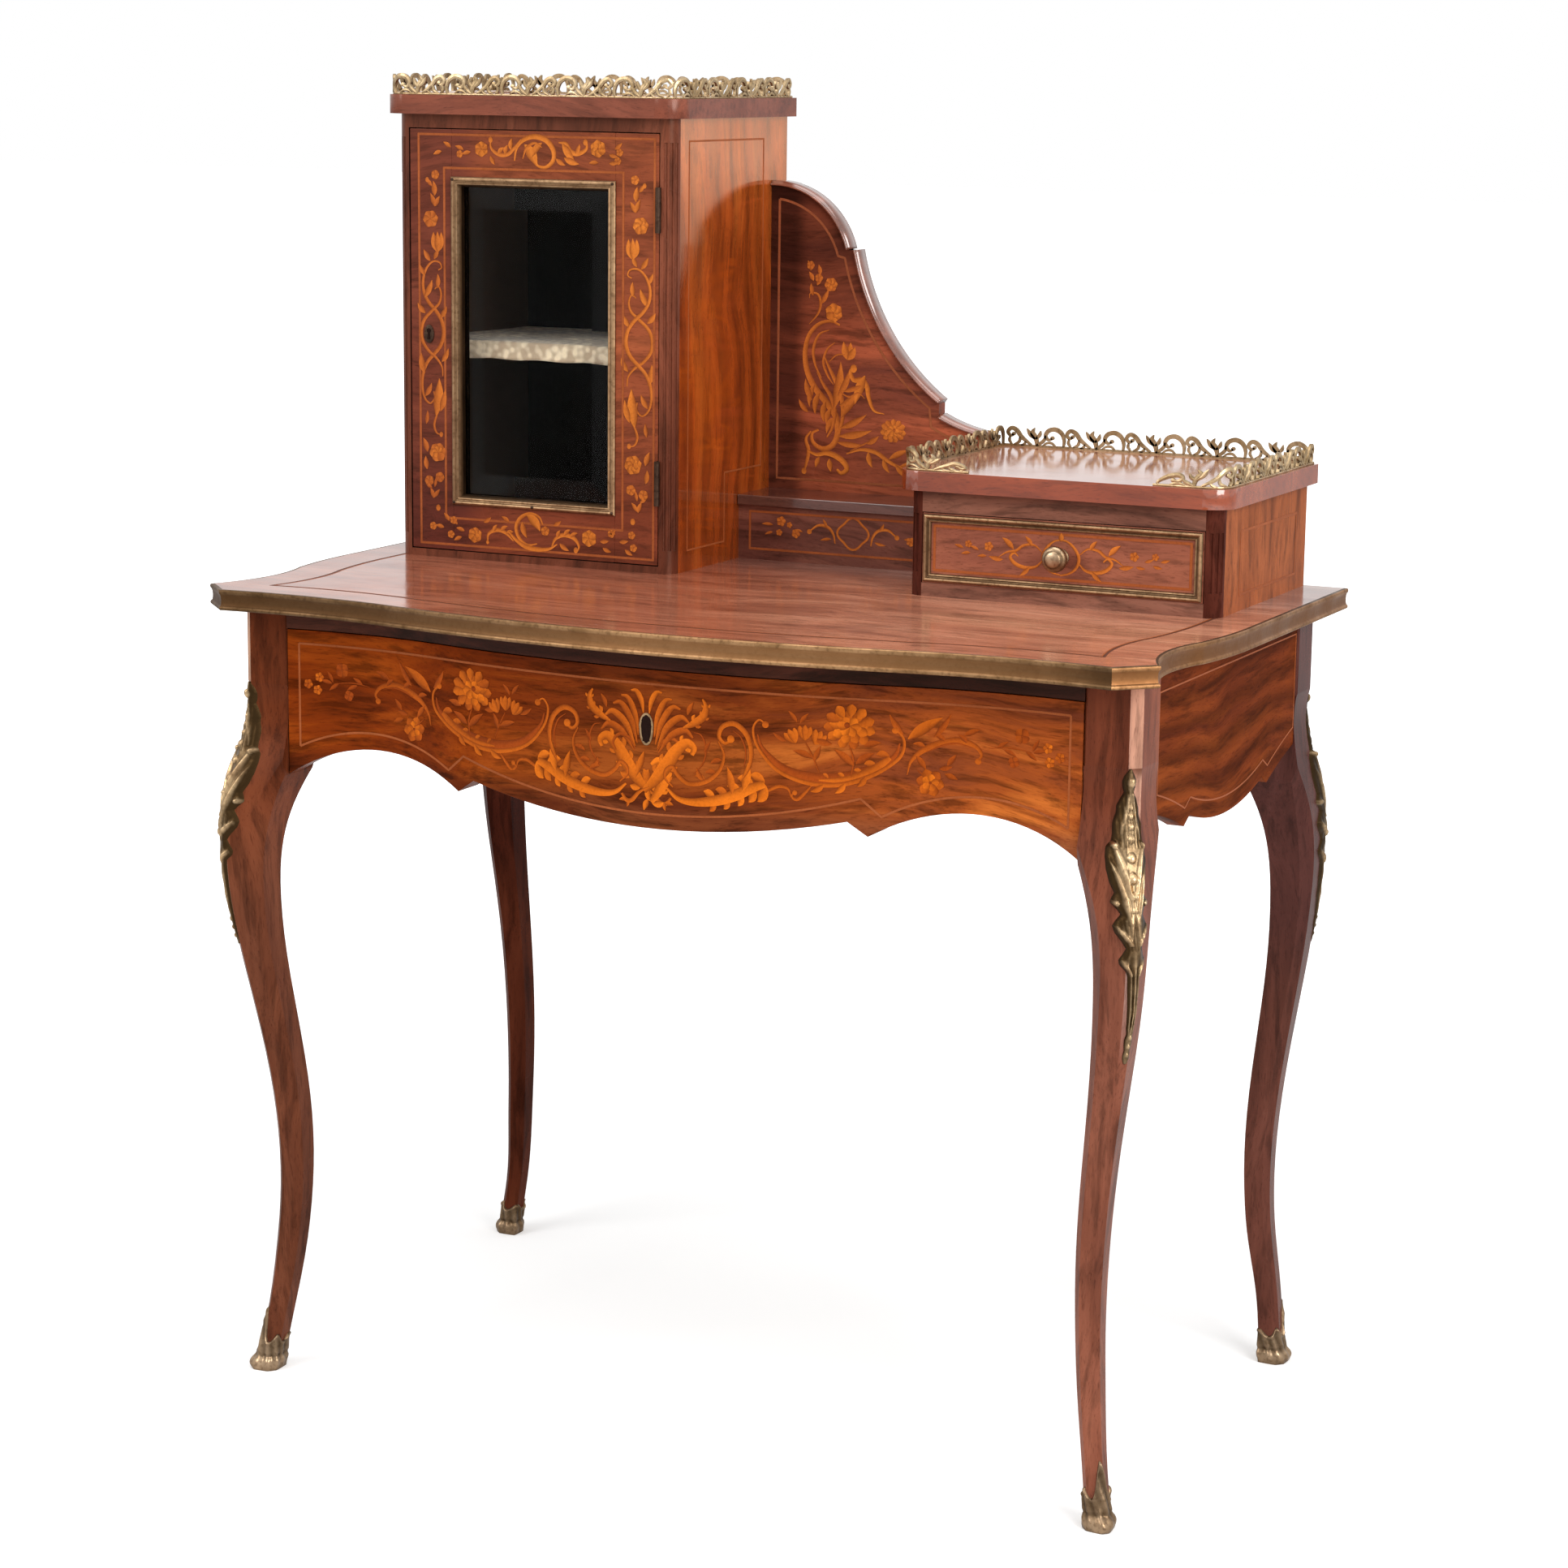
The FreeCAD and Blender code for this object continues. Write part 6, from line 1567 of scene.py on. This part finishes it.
def stile(work, middle, side, stretch, tone):
    """One upright of the door; side is 1 where the glass lies to the right."""
    def at(dx, z):
        return (middle + side * stretch * dx, z)

    def turn(angle):
        return angle if side > 0 else 180 - angle

    def line(width, shade, *spots, tips=(0.3, 0.3), ball=0):
        work.scroll([at(*p) for p in spots], width, shade, tips, 0.5, ball, 1.2)

    def leaf(dx, z, angle, length, width, bend=0, shade=0.5):
        work.leaf(at(dx, z), turn(angle), length, width, side * bend, shade)

    work.dot(at(5, 808), 2.4, tone)
    leaf(0, 817, 112, 11, 3.4, 20, tone - 0.25)
    leaf(1, 818, 52, 10, 3.2, -20, tone - 0.25)
    leaf(-2, 827, 150, 8, 2.8, 0, tone - 0.3)
    for dx, z in ((-5, 834), (7, 838)):
        work.flower(at(dx, z), 5, 5, 20 * dx, tone - 0.1)
    leaf(1, 828, 78, 10, 2.6, 0, tone - 0.3)
    leaf(-7, 845, 96, 13, 4.2, -20, tone - 0.15)
    work.flower(at(5, 862), 9.2, 6, 12, tone + 0.1)
    work.flower(at(5, 862), 6, 6, 42, tone + 0.25)
    leaf(-7, 862, 110, 14, 4.4, 24, tone - 0.2)
    line(1.9, tone - 0.15, (9, 879), (3.5, 881), (1, 888), (3, 896), (7, 903))
    work.dot(at(8.8, 879.6), 2, tone - 0.1)
    leaf(-8, 889, 84, 13, 3.2, 14, tone - 0.3)
    line(3, tone - 0.1, (1, 921), (1.5, 914), (-3.5, 909), (-9.5, 914), (-12.2, 925), (-11, 938),
            (-6, 949), (1.5, 957), (8.5, 965), (12.2, 976), (10.5, 988), (4, 998), (-4, 1006),
            (-9.6, 1016), (-10.4, 1028), (-6.4, 1039), (0.6, 1045.5), (8, 1045), (10.4, 1040),
            (6.8, 1037.4))
    leaf(3, 898, 84, 36, 8.2, 16, tone + 0.2)
    leaf(8, 902, 76, 22, 5, 20, tone)
    leaf(-9, 916, 62, 15, 4, 30, tone - 0.2)
    leaf(-9, 938, 100, 20, 5.4, -30, tone - 0.05)
    line(2.7, tone - 0.1, (11, 936), (10, 945), (4, 953), (-5, 960), (-11.4, 969), (-12.6, 980), (-9, 990),
         (0, 999), (7.4, 1006), (9.6, 1015), (6.6, 1022), (2.6, 1019))
    leaf(10, 950, 62, 15, 4.2, 34, tone)
    leaf(-8, 996, 130, 13, 4.2, -30, tone - 0.05)
    leaf(9, 992, 62, 13, 4, 30, tone - 0.05)
    leaf(-9, 1011, 64, 19, 4.6, 26, tone + 0.05)
    leaf(5, 1020, 88, 14, 3.8, 30, tone - 0.1)
    leaf(-8, 1032, 118, 12, 3.4, -26, tone - 0.1)
    leaf(-2, 1046, 124, 13, 4, -16, tone - 0.15)
    leaf(2, 1048, 66, 11, 3.6, 16, tone - 0.15)
    for angle, wide in ((102, 6.2), (78, 6.2), (90, 5)):
        leaf(6, 1055, angle, 19, wide, (90 - angle) * 2, tone + 0.05)
    work.flower(at(-1.5, 1086), 8.2, 6, 8, tone + 0.05)
    work.flower(at(-1.5, 1086), 5.2, 5, 30, tone + 0.2)
    leaf(3, 1098, 112, 13, 3.8, 22, tone - 0.2)
    leaf(4, 1098, 62, 11, 3.6, -22, tone - 0.2)
    leaf(3, 1108, 96, 14, 4.6, 14, tone - 0.1)
    leaf(0, 1117, 128, 9, 3, 0, tone - 0.2)
    work.flower(at(4, 1128), 4.4, 5, 0, tone - 0.1)
    work.dot(at(-5, 1123), 1.9, tone - 0.1)


door = Strokes(lay_door, 11, 1.3)
stile(door, -383.2, 1, 1, 0.4)
stile(door, -158.2, -1, 1.12, 0.75)
print("stile strokes:", len(door.strokes))

# %% [markdown]
# The rails of the door have the same plant lying down: a ring or an arch in the middle, a
# scroll to each side of it, then a flower and a few buds that run out towards the corners.

# %% Inlay the rails of the door
# head rail
door.scroll([(-292, 1143), (-290, 1154), (-283, 1162), (-271, 1166), (-258, 1163), (-250, 1154),
        (-250, 1144), (-258, 1137.5), (-267, 1139), (-268, 1145)], 4, 0.85, (0.25, 0.3))
door.leaf((-281, 1158), -58, 24, 8, -34, 0.9)
door.leaf((-262, 1160), 232, 19, 5, 40, 0.7)
door.scroll([(-283, 1145), (-279, 1155), (-270, 1160), (-262, 1156)], 2.2, 0.5)
door.scroll([(-318, 1162), (-317, 1154), (-309, 1148.5), (-299, 1149), (-291, 1156), (-285, 1163)], 3,
        0.6, ball=2.2)
door.fronds([(-311, 1149), (-302, 1149), (-293, 1155)], 1, 3, 10, 3.6, 44, 0.6)
door.scroll([(-244, 1161), (-236, 1160), (-231, 1153), (-224, 1151), (-215, 1155), (-214, 1163)], 3.6,
        0.8, ball=0)
door.dot((-215.4, 1161.6), 2.3, 0.7)
door.leaf((-240, 1160), -52, 22, 5.8, 10, 0.85)
door.leaf((-238, 1147), -18, 17, 4.8, 26, 0.7)
door.leaf((-226, 1151), 66, 10, 3.4, 30, 0.6)
door.leaf((-247, 1146), -30, 12, 3.6, 20, 0.5)
for x, z, size, tone in ((-328, 1153, 7.2, 0.75), (-202, 1156, 8.2, 0.95)):
    door.flower((x, z), size, 6, x, tone)
    door.flower((x, z), 0.62 * size, 5, x + 30, min(1, tone + 0.15))
for x, z, angle in ((-340, 1150, 195), (-348, 1152, 160), (-190, 1151, -10), (-184, 1156, 40),
        (-202, 1143, 185), (-190, 1143, 5), (-318, 1147, -60), (-372, 1150, 200), (-362, 1154, 150)):
    door.leaf((x, z), angle, 9.5, 3.2, 20, 0.45)
for x, z in ((-352, 1148), (-179, 1153), (-181, 1145)):
    door.flower((x, z), 3.6, 5, 0, 0.55)
# foot rail
door.scroll([(-262, 799), (-266, 806), (-276, 808.5), (-286, 804), (-291, 795), (-288, 785),
        (-279, 778.5), (-268, 780)], 3, 0.75, (0.35, 0.3))
door.leaf((-279, 807), -48, 21, 7, -46, 0.95)
door.leaf((-284, 800), -70, 16, 4.6, 40, 0.6)
door.flower((-259, 793), 4.6, 5, 10, 0.7)
door.scroll([(-300, 791), (-292, 783), (-281, 776.8), (-268, 774.8), (-255, 776), (-246, 781)], 3.6, 0.85,
        (0.3, 0.25))
door.scroll([(-323, 778), (-322, 786), (-313, 790.5), (-303, 788.5), (-294, 781)], 3, 0.7, ball=1.6)
door.fronds([(-318, 788), (-308, 790), (-299, 786)], 1, 3, 9, 3.2, 40, 0.55)
door.scroll([(-252, 778), (-248, 786), (-239, 790.5), (-228, 788.5), (-222, 781), (-224, 775)], 3.4, 0.8)
door.dot((-225.5, 776.6), 2.2, 0.7)
door.fronds([(-247, 787), (-238, 790), (-228, 788)], 1, 3, 9, 3.2, 40, 0.6)
door.leaf((-243, 782), -30, 12, 3.6, 30, 0.5)
for x, z, size, tone in ((-337, 784, 7.6, 0.8), (-211, 789, 8, 0.95)):
    door.flower((x, z), size, 6, x, tone)
    door.flower((x, z), 0.62 * size, 5, x + 30, min(1, tone + 0.15))
for x, z, angle in ((-349, 787, 165), (-357, 793, 140), (-352, 781, 205), (-372, 789, 170),
        (-366, 796, 130), (-327, 797, 35), (-199, 787, 8), (-190, 793, 40), (-196, 781, -20),
        (-178, 788, 10), (-172, 781, -30), (-299, 799, 150), (-250, 799, 30)):
    door.leaf((x, z), angle, 9.5, 3.2, 20, 0.42)
for x, z in ((-361, 797), (-364, 783), (-384, 790), (-187, 795), (-165, 795), (-163, 783)):
    door.flower((x, z), 3.8, 5, 0, 0.6)
door.make("door_marquetry", "door", INLAY["faded"], "rosewood_veneer")
door_lines = string_line(lay_door, frame_lines(-397.5, -142, 773, 1166) + frame_lines(-369.4, -175, 799,
        1134.6), 2.3)
door_lines.make("door_string", "door", INLAY["string"], "rosewood_veneer")

# %% The escutcheon hole of the door
KEY_X, KEY_Z, KEY_FACE = -387, 976, 38.8
PLATE_HALF_WIDE, PLATE_HALF_HIGH, PLATE_TURNS = 5.4, 8.8, 36
plate_rings = [(40.2, 1), (KEY_FACE + 0.4, 1), (KEY_FACE, 0.86)]
plate_turns = [2 * math.pi * k / PLATE_TURNS for k in range(PLATE_TURNS)]
points, faces = skin([[(KEY_X + PLATE_HALF_WIDE * share * math.cos(t), y,
        KEY_Z + PLATE_HALF_HIGH * share * math.sin(t)) for t in plate_turns] for y, share in plate_rings])
plate = piece("door_oval_escutcheon", points, faces, "door", METALS["hinge"], smooth=False)
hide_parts("door_escutcheon")


def lay_plate(u, v, h):
    return Vector((u, KEY_FACE - h, v))


keyhole("door_keyhole", lay_plate, KEY_X, KEY_Z, 11, "door", lined=False)

# %% [markdown]
# The scrolled board behind carries one tall plant that grows with the board's own curve. On the
# plinth below it, a ring stands between two small scrolls.

# %% Inlay the scrolled board
lay_board = facing("front", 248)
board = Strokes(lay_board, 5, 1.2)
board.scroll([(-47, 986), (-57, 989.5), (-70, 986), (-80, 975), (-84, 958), (-81.5, 940), (-73, 924),
        (-60, 910), (-50, 897), (-47.5, 881), (-53, 868.5), (-64, 864.5), (-74, 870), (-75.5, 879),
        (-68.5, 883)], 5.6, 0.55, (0.3, 0.35), 0.62)
board.scroll([(-58, 981), (-69, 976), (-75, 962), (-73, 947), (-66, 934)], 2.6, 0.45)
board.scroll([(-52, 969), (-60, 962), (-64, 950), (-60, 938), (-53, 928)], 2.4, 0.4)
board.fronds([(-76, 931), (-66, 917), (-55, 904), (-49, 890)], -1, 5, 20, 5.2, 46, 0.5, grow=-0.3)
board.scroll([(-63, 955), (-57, 943), (-50, 930), (-43.5, 913), (-42.5, 896), (-46, 880)], 4, 0.5,
        (0.25, 0.5))
board.scroll([(-71, 940), (-64, 928), (-56, 917), (-51, 903), (-53, 887), (-59, 876)], 3.6, 0.42,
        (0.2, 0.4))
board.leaf((-76, 912), 108, 22, 5.4, -30, 0.45)
board.leaf((-80, 900), 128, 16, 4.4, -34, 0.4)
board.leaf((-52, 905), 82, 46, 8.4, 18, 0.6)
board.leaf((-48, 917), 66, 30, 5.6, 30, 0.5)
board.leaf((-46, 908), 38, 32, 5.6, 36, 0.5)
board.leaf((-44, 896), 50, 34, 6.2, -20, 0.55)
board.leaf((-45, 886), 28, 32, 5.6, 24, 0.5)
board.leaf((-46, 878), 12, 36, 6.2, 20, 0.62)
board.leaf((-48, 872), -2, 30, 4.6, 22, 0.5)
board.scroll([(-30, 947), (-34.5, 941), (-31, 933.5), (-22.5, 934), (-17, 928), (-14.6, 917), (-9, 905),
        (2, 902)], 4.2, 1, (0.5, 0.15), 0.4)
board.dot((-31.4, 944.5), 3.4, 1)
board.leaf((-19, 938), 250, 30, 8, 16, 1)
board.scroll([(-47, 922), (-36, 917), (-26, 921), (-19, 916)], 1.8, 0.4)
board.leaf((-42, 922), 20, 22, 4, 20, 0.45)
board.poppy((12, 886), 11.5, 6, 0.8)
board.scroll([(-34, 864), (-18, 872), (-3, 880)], 1.4, 0.35)
board.leaf((-16, 872), 34, 15, 4.6, 24, 0.45)
board.scroll([(-84, 840), (-81, 850), (-79, 862), (-82, 873), (-77, 881)], 3.2, 0.6, (0.3, 0.4))
board.dot((-83.6, 841.5), 2.6, 0.6)
board.scroll([(-80, 862), (-70, 858.5), (-60, 860.5), (-50, 858.5), (-41, 853), (-37, 846), (-43, 841.5),
        (-48, 845)], 4.8, 1, (0.3, 0.4), 0.6)
board.leaf((-67, 856), 250, 11, 4.4, 20, 0.7)
board.leaf((-56, 855), 280, 13, 5, 20, 0.75)
board.scroll([(-38, 861), (-22, 866), (-6, 864), (6, 857), (17, 852), (30, 850)], 3.6, 0.75, (0.3, 0.2))
board.leaf((-14, 864), -72, 16, 4.6, 40, 0.8)
board.leaf((2, 858), -60, 15, 4.4, 40, 0.7)
board.leaf((15, 853), -40, 18, 4.6, 20, 0.6)
board.leaf((8, 858), 24, 24, 4.8, -20, 0.6)
board.leaf((20, 852), 8, 24, 4.6, -10, 0.5)
for x, z, size, tone in ((-57, 1025, 7, 0.7), (-53.5, 998, 9.2, 0.85)):
    board.flower((x, z), size, 6, z, tone)
    board.flower((x, z), 0.6 * size, 5, z + 30, tone + 0.1)
for angle, length in ((80, 17), (104, 18), (60, 15)):
    board.leaf((-38, 953), angle, length, 6.4, (90 - angle), 0.7)
board.scroll([(-58, 950), (-50, 957), (-40, 958)], 1.4, 0.35)
board.scroll([(-80, 986), (-71, 996), (-68, 1006), (-71, 1015), (-79, 1016), (-80, 1011)], 2.2, 0.5)
board.leaf((-76, 1014), 100, 12, 3.8, -20, 0.4)
board.leaf((-68, 1006), 62, 17, 4.2, 26, 0.45)
for x, z, angle in ((-72, 1024, 70), (-76, 1028, 120), (-69, 1034, 100), (-79, 1038, 110)):
    board.leaf((x, z), angle, 10, 3.8, 16, 0.45)
for x, z in ((-79, 1043), (-70, 1031)):
    board.flower((x, z), 4.2, 5, 0, 0.55)
board.make("scroll_board_marquetry", "desk", INLAY["faded"], "rosewood_veneer")

edge_line = chain(straight((-113.5, 1106), (-113.5, 833)), straight((-113.5, 833), (115, 833)))
curve_line = chain(arc((-113.5, 1106), (-75, 1090), (-50, 1053)), straight((-50, 1053), (-42.5, 1051), 4),
        arc((-42.5, 1051), (-3, 963), (50, 910)), straight((50, 910), (52, 892), 4),
        arc((52, 892), (80, 880), (112, 874)))
string_line(lay_board, [edge_line, curve_line], 2.4).make("scroll_board_string", "desk", INLAY["faint"],
        "rosewood_veneer")

# %% Inlay the plinth
def outwards(middle, side):
    """Measures x from a middle line, outwards to one side."""
    return lambda away: middle + side * away


lay_plinth = facing("front", 182)
plinth = Strokes(lay_plinth, 9)
ring = [(0.9 + 15.2 * math.sin(2 * math.pi * k / 36) * (1 + 0.1 * math.cos(8 * math.pi * k / 36)),
        791.6 + 14 * math.cos(2 * math.pi * k / 36) * (1 + 0.1 * math.cos(8 * math.pi * k / 36)))
        for k in range(37)]
plinth.stroke(ring, [2.2] * 37, 0.55, (0.2, 0.5))
for side in (-1, 1):
    x = outwards(0.9, side)
    plinth.scroll([(x(19), 781), (x(21), 790), (x(27), 796.5), (x(37), 797.5), (x(46), 791.5)], 3, 0.75,
            (0.35, 0.4))
    plinth.dot((x(46.5), 791), 2.5, 0.7)
    plinth.leaf((x(28), 796), 90 - side * 30, 9, 3.2, 20, 0.55)
    plinth.leaf((x(23), 785), 90 - side * 100, 12, 3, 20, 0.45)
    for dx, z, size in ((61, 788, 4.6), (77, 799, 5), (79, 788, 3.4), (68, 796, 3)):
        plinth.flower((x(dx), z), size, 5, dx, 0.6)
    plinth.leaf((x(54), 790), 90 - side * 80, 9, 2.6, 20, 0.4)
    plinth.leaf((x(86), 795), 90 - side * 90, 12, 3.2, 20, 0.4)
    plinth.leaf((x(86), 788), 90 - side * 110, 9, 2.8, 20, 0.35)
plinth.make("plinth_marquetry", "desk", INLAY["faded"], "rosewood_veneer")
string_line(lay_plinth, frame_lines(-110, 110, 770.5, 807), 2.2).make(
    "plinth_string", "desk", INLAY["string"], "rosewood_veneer")

# %% [markdown]
# The small drawer has a cartouche round its knob and a scroll to each side. The knob sits a
# little proud of the veneer, so the inlay runs under its foot as it does on the real desk.

# %% Inlay the small drawer
lay_small = facing("front", 38)
small = Strokes(lay_small, 13)
for side in (-1, 1):
    x = outwards(272.5, side)
    small.scroll([(x(0), 788.5), (x(8), 790.5), (x(15), 796), (x(17.5), 804.5), (x(13.5), 813),
            (x(6.5), 819), (x(0), 820.5)], 2.8, 0.75, (0.45, 0.45))
    small.scroll([(x(18), 800), (x(24), 794.5), (x(34), 793), (x(44), 796), (x(49), 802), (x(45), 806),
            (x(41), 803)], 3.6, 0.8, (0.3, 0.35))
    small.scroll([(x(18), 808), (x(26), 814), (x(36), 813), (x(43), 808), (x(52), 806), (x(60), 801)],
            2.6, 0.6, (0.3, 0.2))
    small.leaf((x(46), 809), 90 - side * 50, 15, 5, -side * 30, 0.75)
    small.leaf((x(30), 794), 90 - side * 130, 13, 4.2, side * 30, 0.6)
    small.leaf((x(28), 813), 90 - side * 40, 11, 4, -side * 30, 0.6)
    small.leaf((x(56), 799), 90 - side * 80, 14, 4.4, side * 20, 0.55)
    small.flower((x(70), 810), 4.4, 5, 0, 0.6)
    for dx, z, angle in ((72, 801, 95), (80, 806, 70), (88, 803, 100), (95, 807, 75)):
        small.leaf((x(dx), z), 90 - side * angle, 9, 3, 16, 0.42)
    small.flower((x(90), 811), 3.4, 5, 0, 0.5)
small.leaf((272.5, 819), 90, 8, 5, 0, 0.8)
small.make("small_drawer_marquetry", "small_drawer", INLAY["faded"], "rosewood_veneer")
string_line(lay_small, frame_lines(149, 396, 784.6, 825.2), 2.6).make(
    "small_drawer_string", "small_drawer", INLAY["string"], "rosewood_veneer")

# %% [markdown]
# The sides have no flowers, only strings. The string on the cabinet's inner side steps up round
# the plinth, and the one on the table's side follows the shaped lower edge.

# %% String the sides
cabinet_path = [(72, 1164), (72, 780), (150, 780), (150, 847), (229, 847), (229, 1164), (72, 1164)]
box_path = [(94, 832), (94, 775), (252, 775), (252, 832), (94, 832)]


def stepped(corners):
    """Straight strings that meet at corners; each runs past its corner by half a width."""
    runs = []
    for a, b in zip(corners, corners[1:]):
        a, b = Vector(a), Vector(b)
        along = (b - a).normalized() * 0.7
        runs.append(straight(a - along, b + along))
    return runs


apron_foot = chain(arc((-154, 637.5), (-122, 628), (-83, 613.5)), straight((-83, 613.5), (-69, 621), 4),
        arc((-69, 621), (28, 606), (125, 621)), straight((125, 621), (139, 613.5), 4),
        arc((139, 613.5), (178, 628), (210, 637.5)))
apron_rest = [straight((-154, 637), (-154, 725)), straight((210, 637), (210, 725)),
        straight((-154.7, 725), (210.7, 725))]
outer_path = [(72, 1164), (72, 780), (262, 780), (262, 1164), (72, 1164)]
sides = [("cabinet_side_string", facing("right", -122.5), stepped(cabinet_path), 1.7),
        ("cabinet_outer_string", facing("left", -422.5), stepped(outer_path), 1.7),
        ("box_side_string", facing("right", 422.5), stepped(box_path), 2.4),
        ("right_apron_string", facing("right", 440), [apron_foot] + apron_rest, 1.4),
        ("left_apron_string", facing("left", -440), [apron_foot] + apron_rest, 1.4)]
for name, lay, paths, width in sides:
    string_line(lay, paths, width).make(name, "desk", INLAY["string"], "figured_side")

# %% [markdown]
# The plate glass of the door is ground to a wide bevel all round. The bevel bends what is seen
# through it, which is what shows that there is glass at all in front of a dark cabinet.

# %% Grind the bevelled glass
def framed(low_x, high_x, low_z, high_z, inset, y):
    return [(low_x + inset, y, low_z + inset), (high_x - inset, y, low_z + inset),
            (high_x - inset, y, high_z - inset), (low_x + inset, y, high_z - inset)]


pane_box = (-360.7, -183.8, 813.3, 1125.7)
loops = [framed(*pane_box, 29, 48.3), framed(*pane_box, 0, 50.3), framed(*pane_box, 0, 52.3)]
points = [p for loop in loops for p in loop]
faces = [(0, 1, 2, 3), (8, 9, 10, 11)]
for low in (0, 4):
    faces += [(low + k, low + (k + 1) % 4, low + 4 + (k + 1) % 4, low + 4 + k) for k in range(4)]
glass = piece("door_bevelled_glass", points, faces, "door", GLASS, smooth=False)
glass.data.materials.append(GROUND)
for face in glass.data.polygons:
    bevelled = max(abs(face.normal.z), abs(face.normal.x)) > 0.02 and face.center.y < 0.05
    face.material_index = int(bevelled)
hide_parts("door_glass")
print("glass:", len(points), "points")

# %% [markdown]
# A brocade cover lies on the shelf. It is one piece of cloth: flat over the board, hanging over
# its front edge by nearly two centimetres, with soft creases and a slightly uneven hem.

# %% Lay the brocade on the shelf
CLOTH_WIDE, CLOTH_DEEP, CLOTH_THICK, SHELF_TOP, SHELF_FRONT = 258, 206, 1.1, 968, 76
columns, rows = 87, 73


def cloth_place(s, t):
    """Where a point of the flat cloth lies: s runs across it, t from the back to the front hem."""
    x = -272.5 + (s - 0.5) * CLOTH_WIDE
    run = t * CLOTH_DEEP
    flat = 262 - SHELF_FRONT
    crease = 0.9 * math.sin(x / 19 + 0.6 * math.sin(run / 23)) * math.sin(run / 31 + 1)
    crease += 0.5 * math.sin(x / 7.3 + run / 17)
    if run < flat:
        near = min(1, max(0, (flat - run) / 22))
        high = 0.35 + (0.8 + crease * 0.5) * near * min(1, run / 15)
        return Vector((x, 262 - run, SHELF_TOP + high))
    over = run - flat
    bend = min(over / 3, math.pi / 2)
    y = SHELF_FRONT - 1.3 * math.sin(bend) - 0.35 * math.sin(x / 9) * min(1, over / 10)
    z = SHELF_TOP + 0.35 - 1.3 * (1 - math.cos(bend)) - max(0, over - 4.7)
    return Vector((x, y, z))


sheet_points, under_points = [], []
for r in range(rows):
    for c in range(columns):
        s, t = c / (columns - 1), r / (rows - 1)
        hem = t * (1 - 0.005 * (0.5 + 0.5 * math.sin(s * 31)) * max(0, (t - 0.9) * 10))
        place = cloth_place(s, hem)
        across = cloth_place(min(1, s + 0.004), hem) - cloth_place(max(0, s - 0.004), hem)
        along = cloth_place(s, min(1, hem + 0.006)) - cloth_place(s, max(0, hem - 0.006))
        out = along.cross(across).normalized()
        if out.z < -0.2 or (abs(out.z) <= 0.2 and out.y > 0):
            out = -out
        sheet_points.append(place + out * CLOTH_THICK)
        under_points.append(place)
points, faces = sheet(sheet_points, under_points, columns)
cover = piece("shelf_brocade_cover", points, faces, "desk", CLOTH)
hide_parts("shelf_cloth")
print("cloth:", CLOTH_WIDE, "x", CLOTH_DEEP, "mm flat")

# %% [markdown]
# The scrolled board is capped with a small moulding in three lengths. Each length is a sweep
# along its curve, with a rounded nose in front and a bead behind it.

# %% Cap the scrolled board
def capping(name, curve):
    """A moulding along a curve of (x, z) pairs; its own height stands square to the curve."""
    path = [Vector(p) for p in reversed(curve)]
    profile = [(0, 263), (0, 244.6), (0.6, 244.1), (1.6, 244.1), (2.2, 244.7), (2.4, 245.8), (2.9, 246.4),
            (3.8, 246.9), (4.7, 248.6), (5, 251), (5, 262.4), (4.4, 263)]
    swept, faces = sweep(path, profile)
    points = [(x, depth, z) for (x, z, depth) in swept]
    made = piece(name, points, faces, "desk", WOODS["cap"])
    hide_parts("scroll_capping")
    return made


capping("scroll_capping_upper", arc((-122.5, 1119), (-69, 1102), (-40.6, 1059), 2.5))
capping("scroll_capping_middle", arc((-32.6, 1059), (6, 969), (60, 915), 2.5))
capping("scroll_capping_lower", arc((60, 901), (88, 890), (112.5, 885), 2.5))
print("board capped")

# %% [markdown]
# No edge of polished wood is truly sharp. A narrow rounding catches the light as a thin bright
# line, and that line tells the eye how thick a board is. A bevel modifier gives it to the
# boards that came over from the frame, after a weld has joined their faces at the edges.

# %% Soften the edges of the boards
SOFT_EDGES = {"cabinet_cornice": 1.5, "box_top": 1.2, "plinth_ledge": 1.2, "main_drawer_front": 0.7,
        "door_top_rail": 0.6, "door_bottom_rail": 0.6, "door_left_stile": 0.6, "door_right_stile": 0.6,
        "small_drawer_front": 0.6, "side_apron_left": 0.6, "side_apron_right": 0.6}
for name, width in SOFT_EDGES.items():
    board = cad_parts[name]
    weld = board.modifiers.new("join_faces", "WELD")
    weld.merge_threshold = 0.01 * MM
    rounding = board.modifiers.new("soft_edge", "BEVEL")
    rounding.width = width * MM
    rounding.segments = 3
    rounding.limit_method = "ANGLE"
    rounding.angle_limit = math.radians(40)
    rounding.harden_normals = True
print("softened:", len(SOFT_EDGES), "boards")
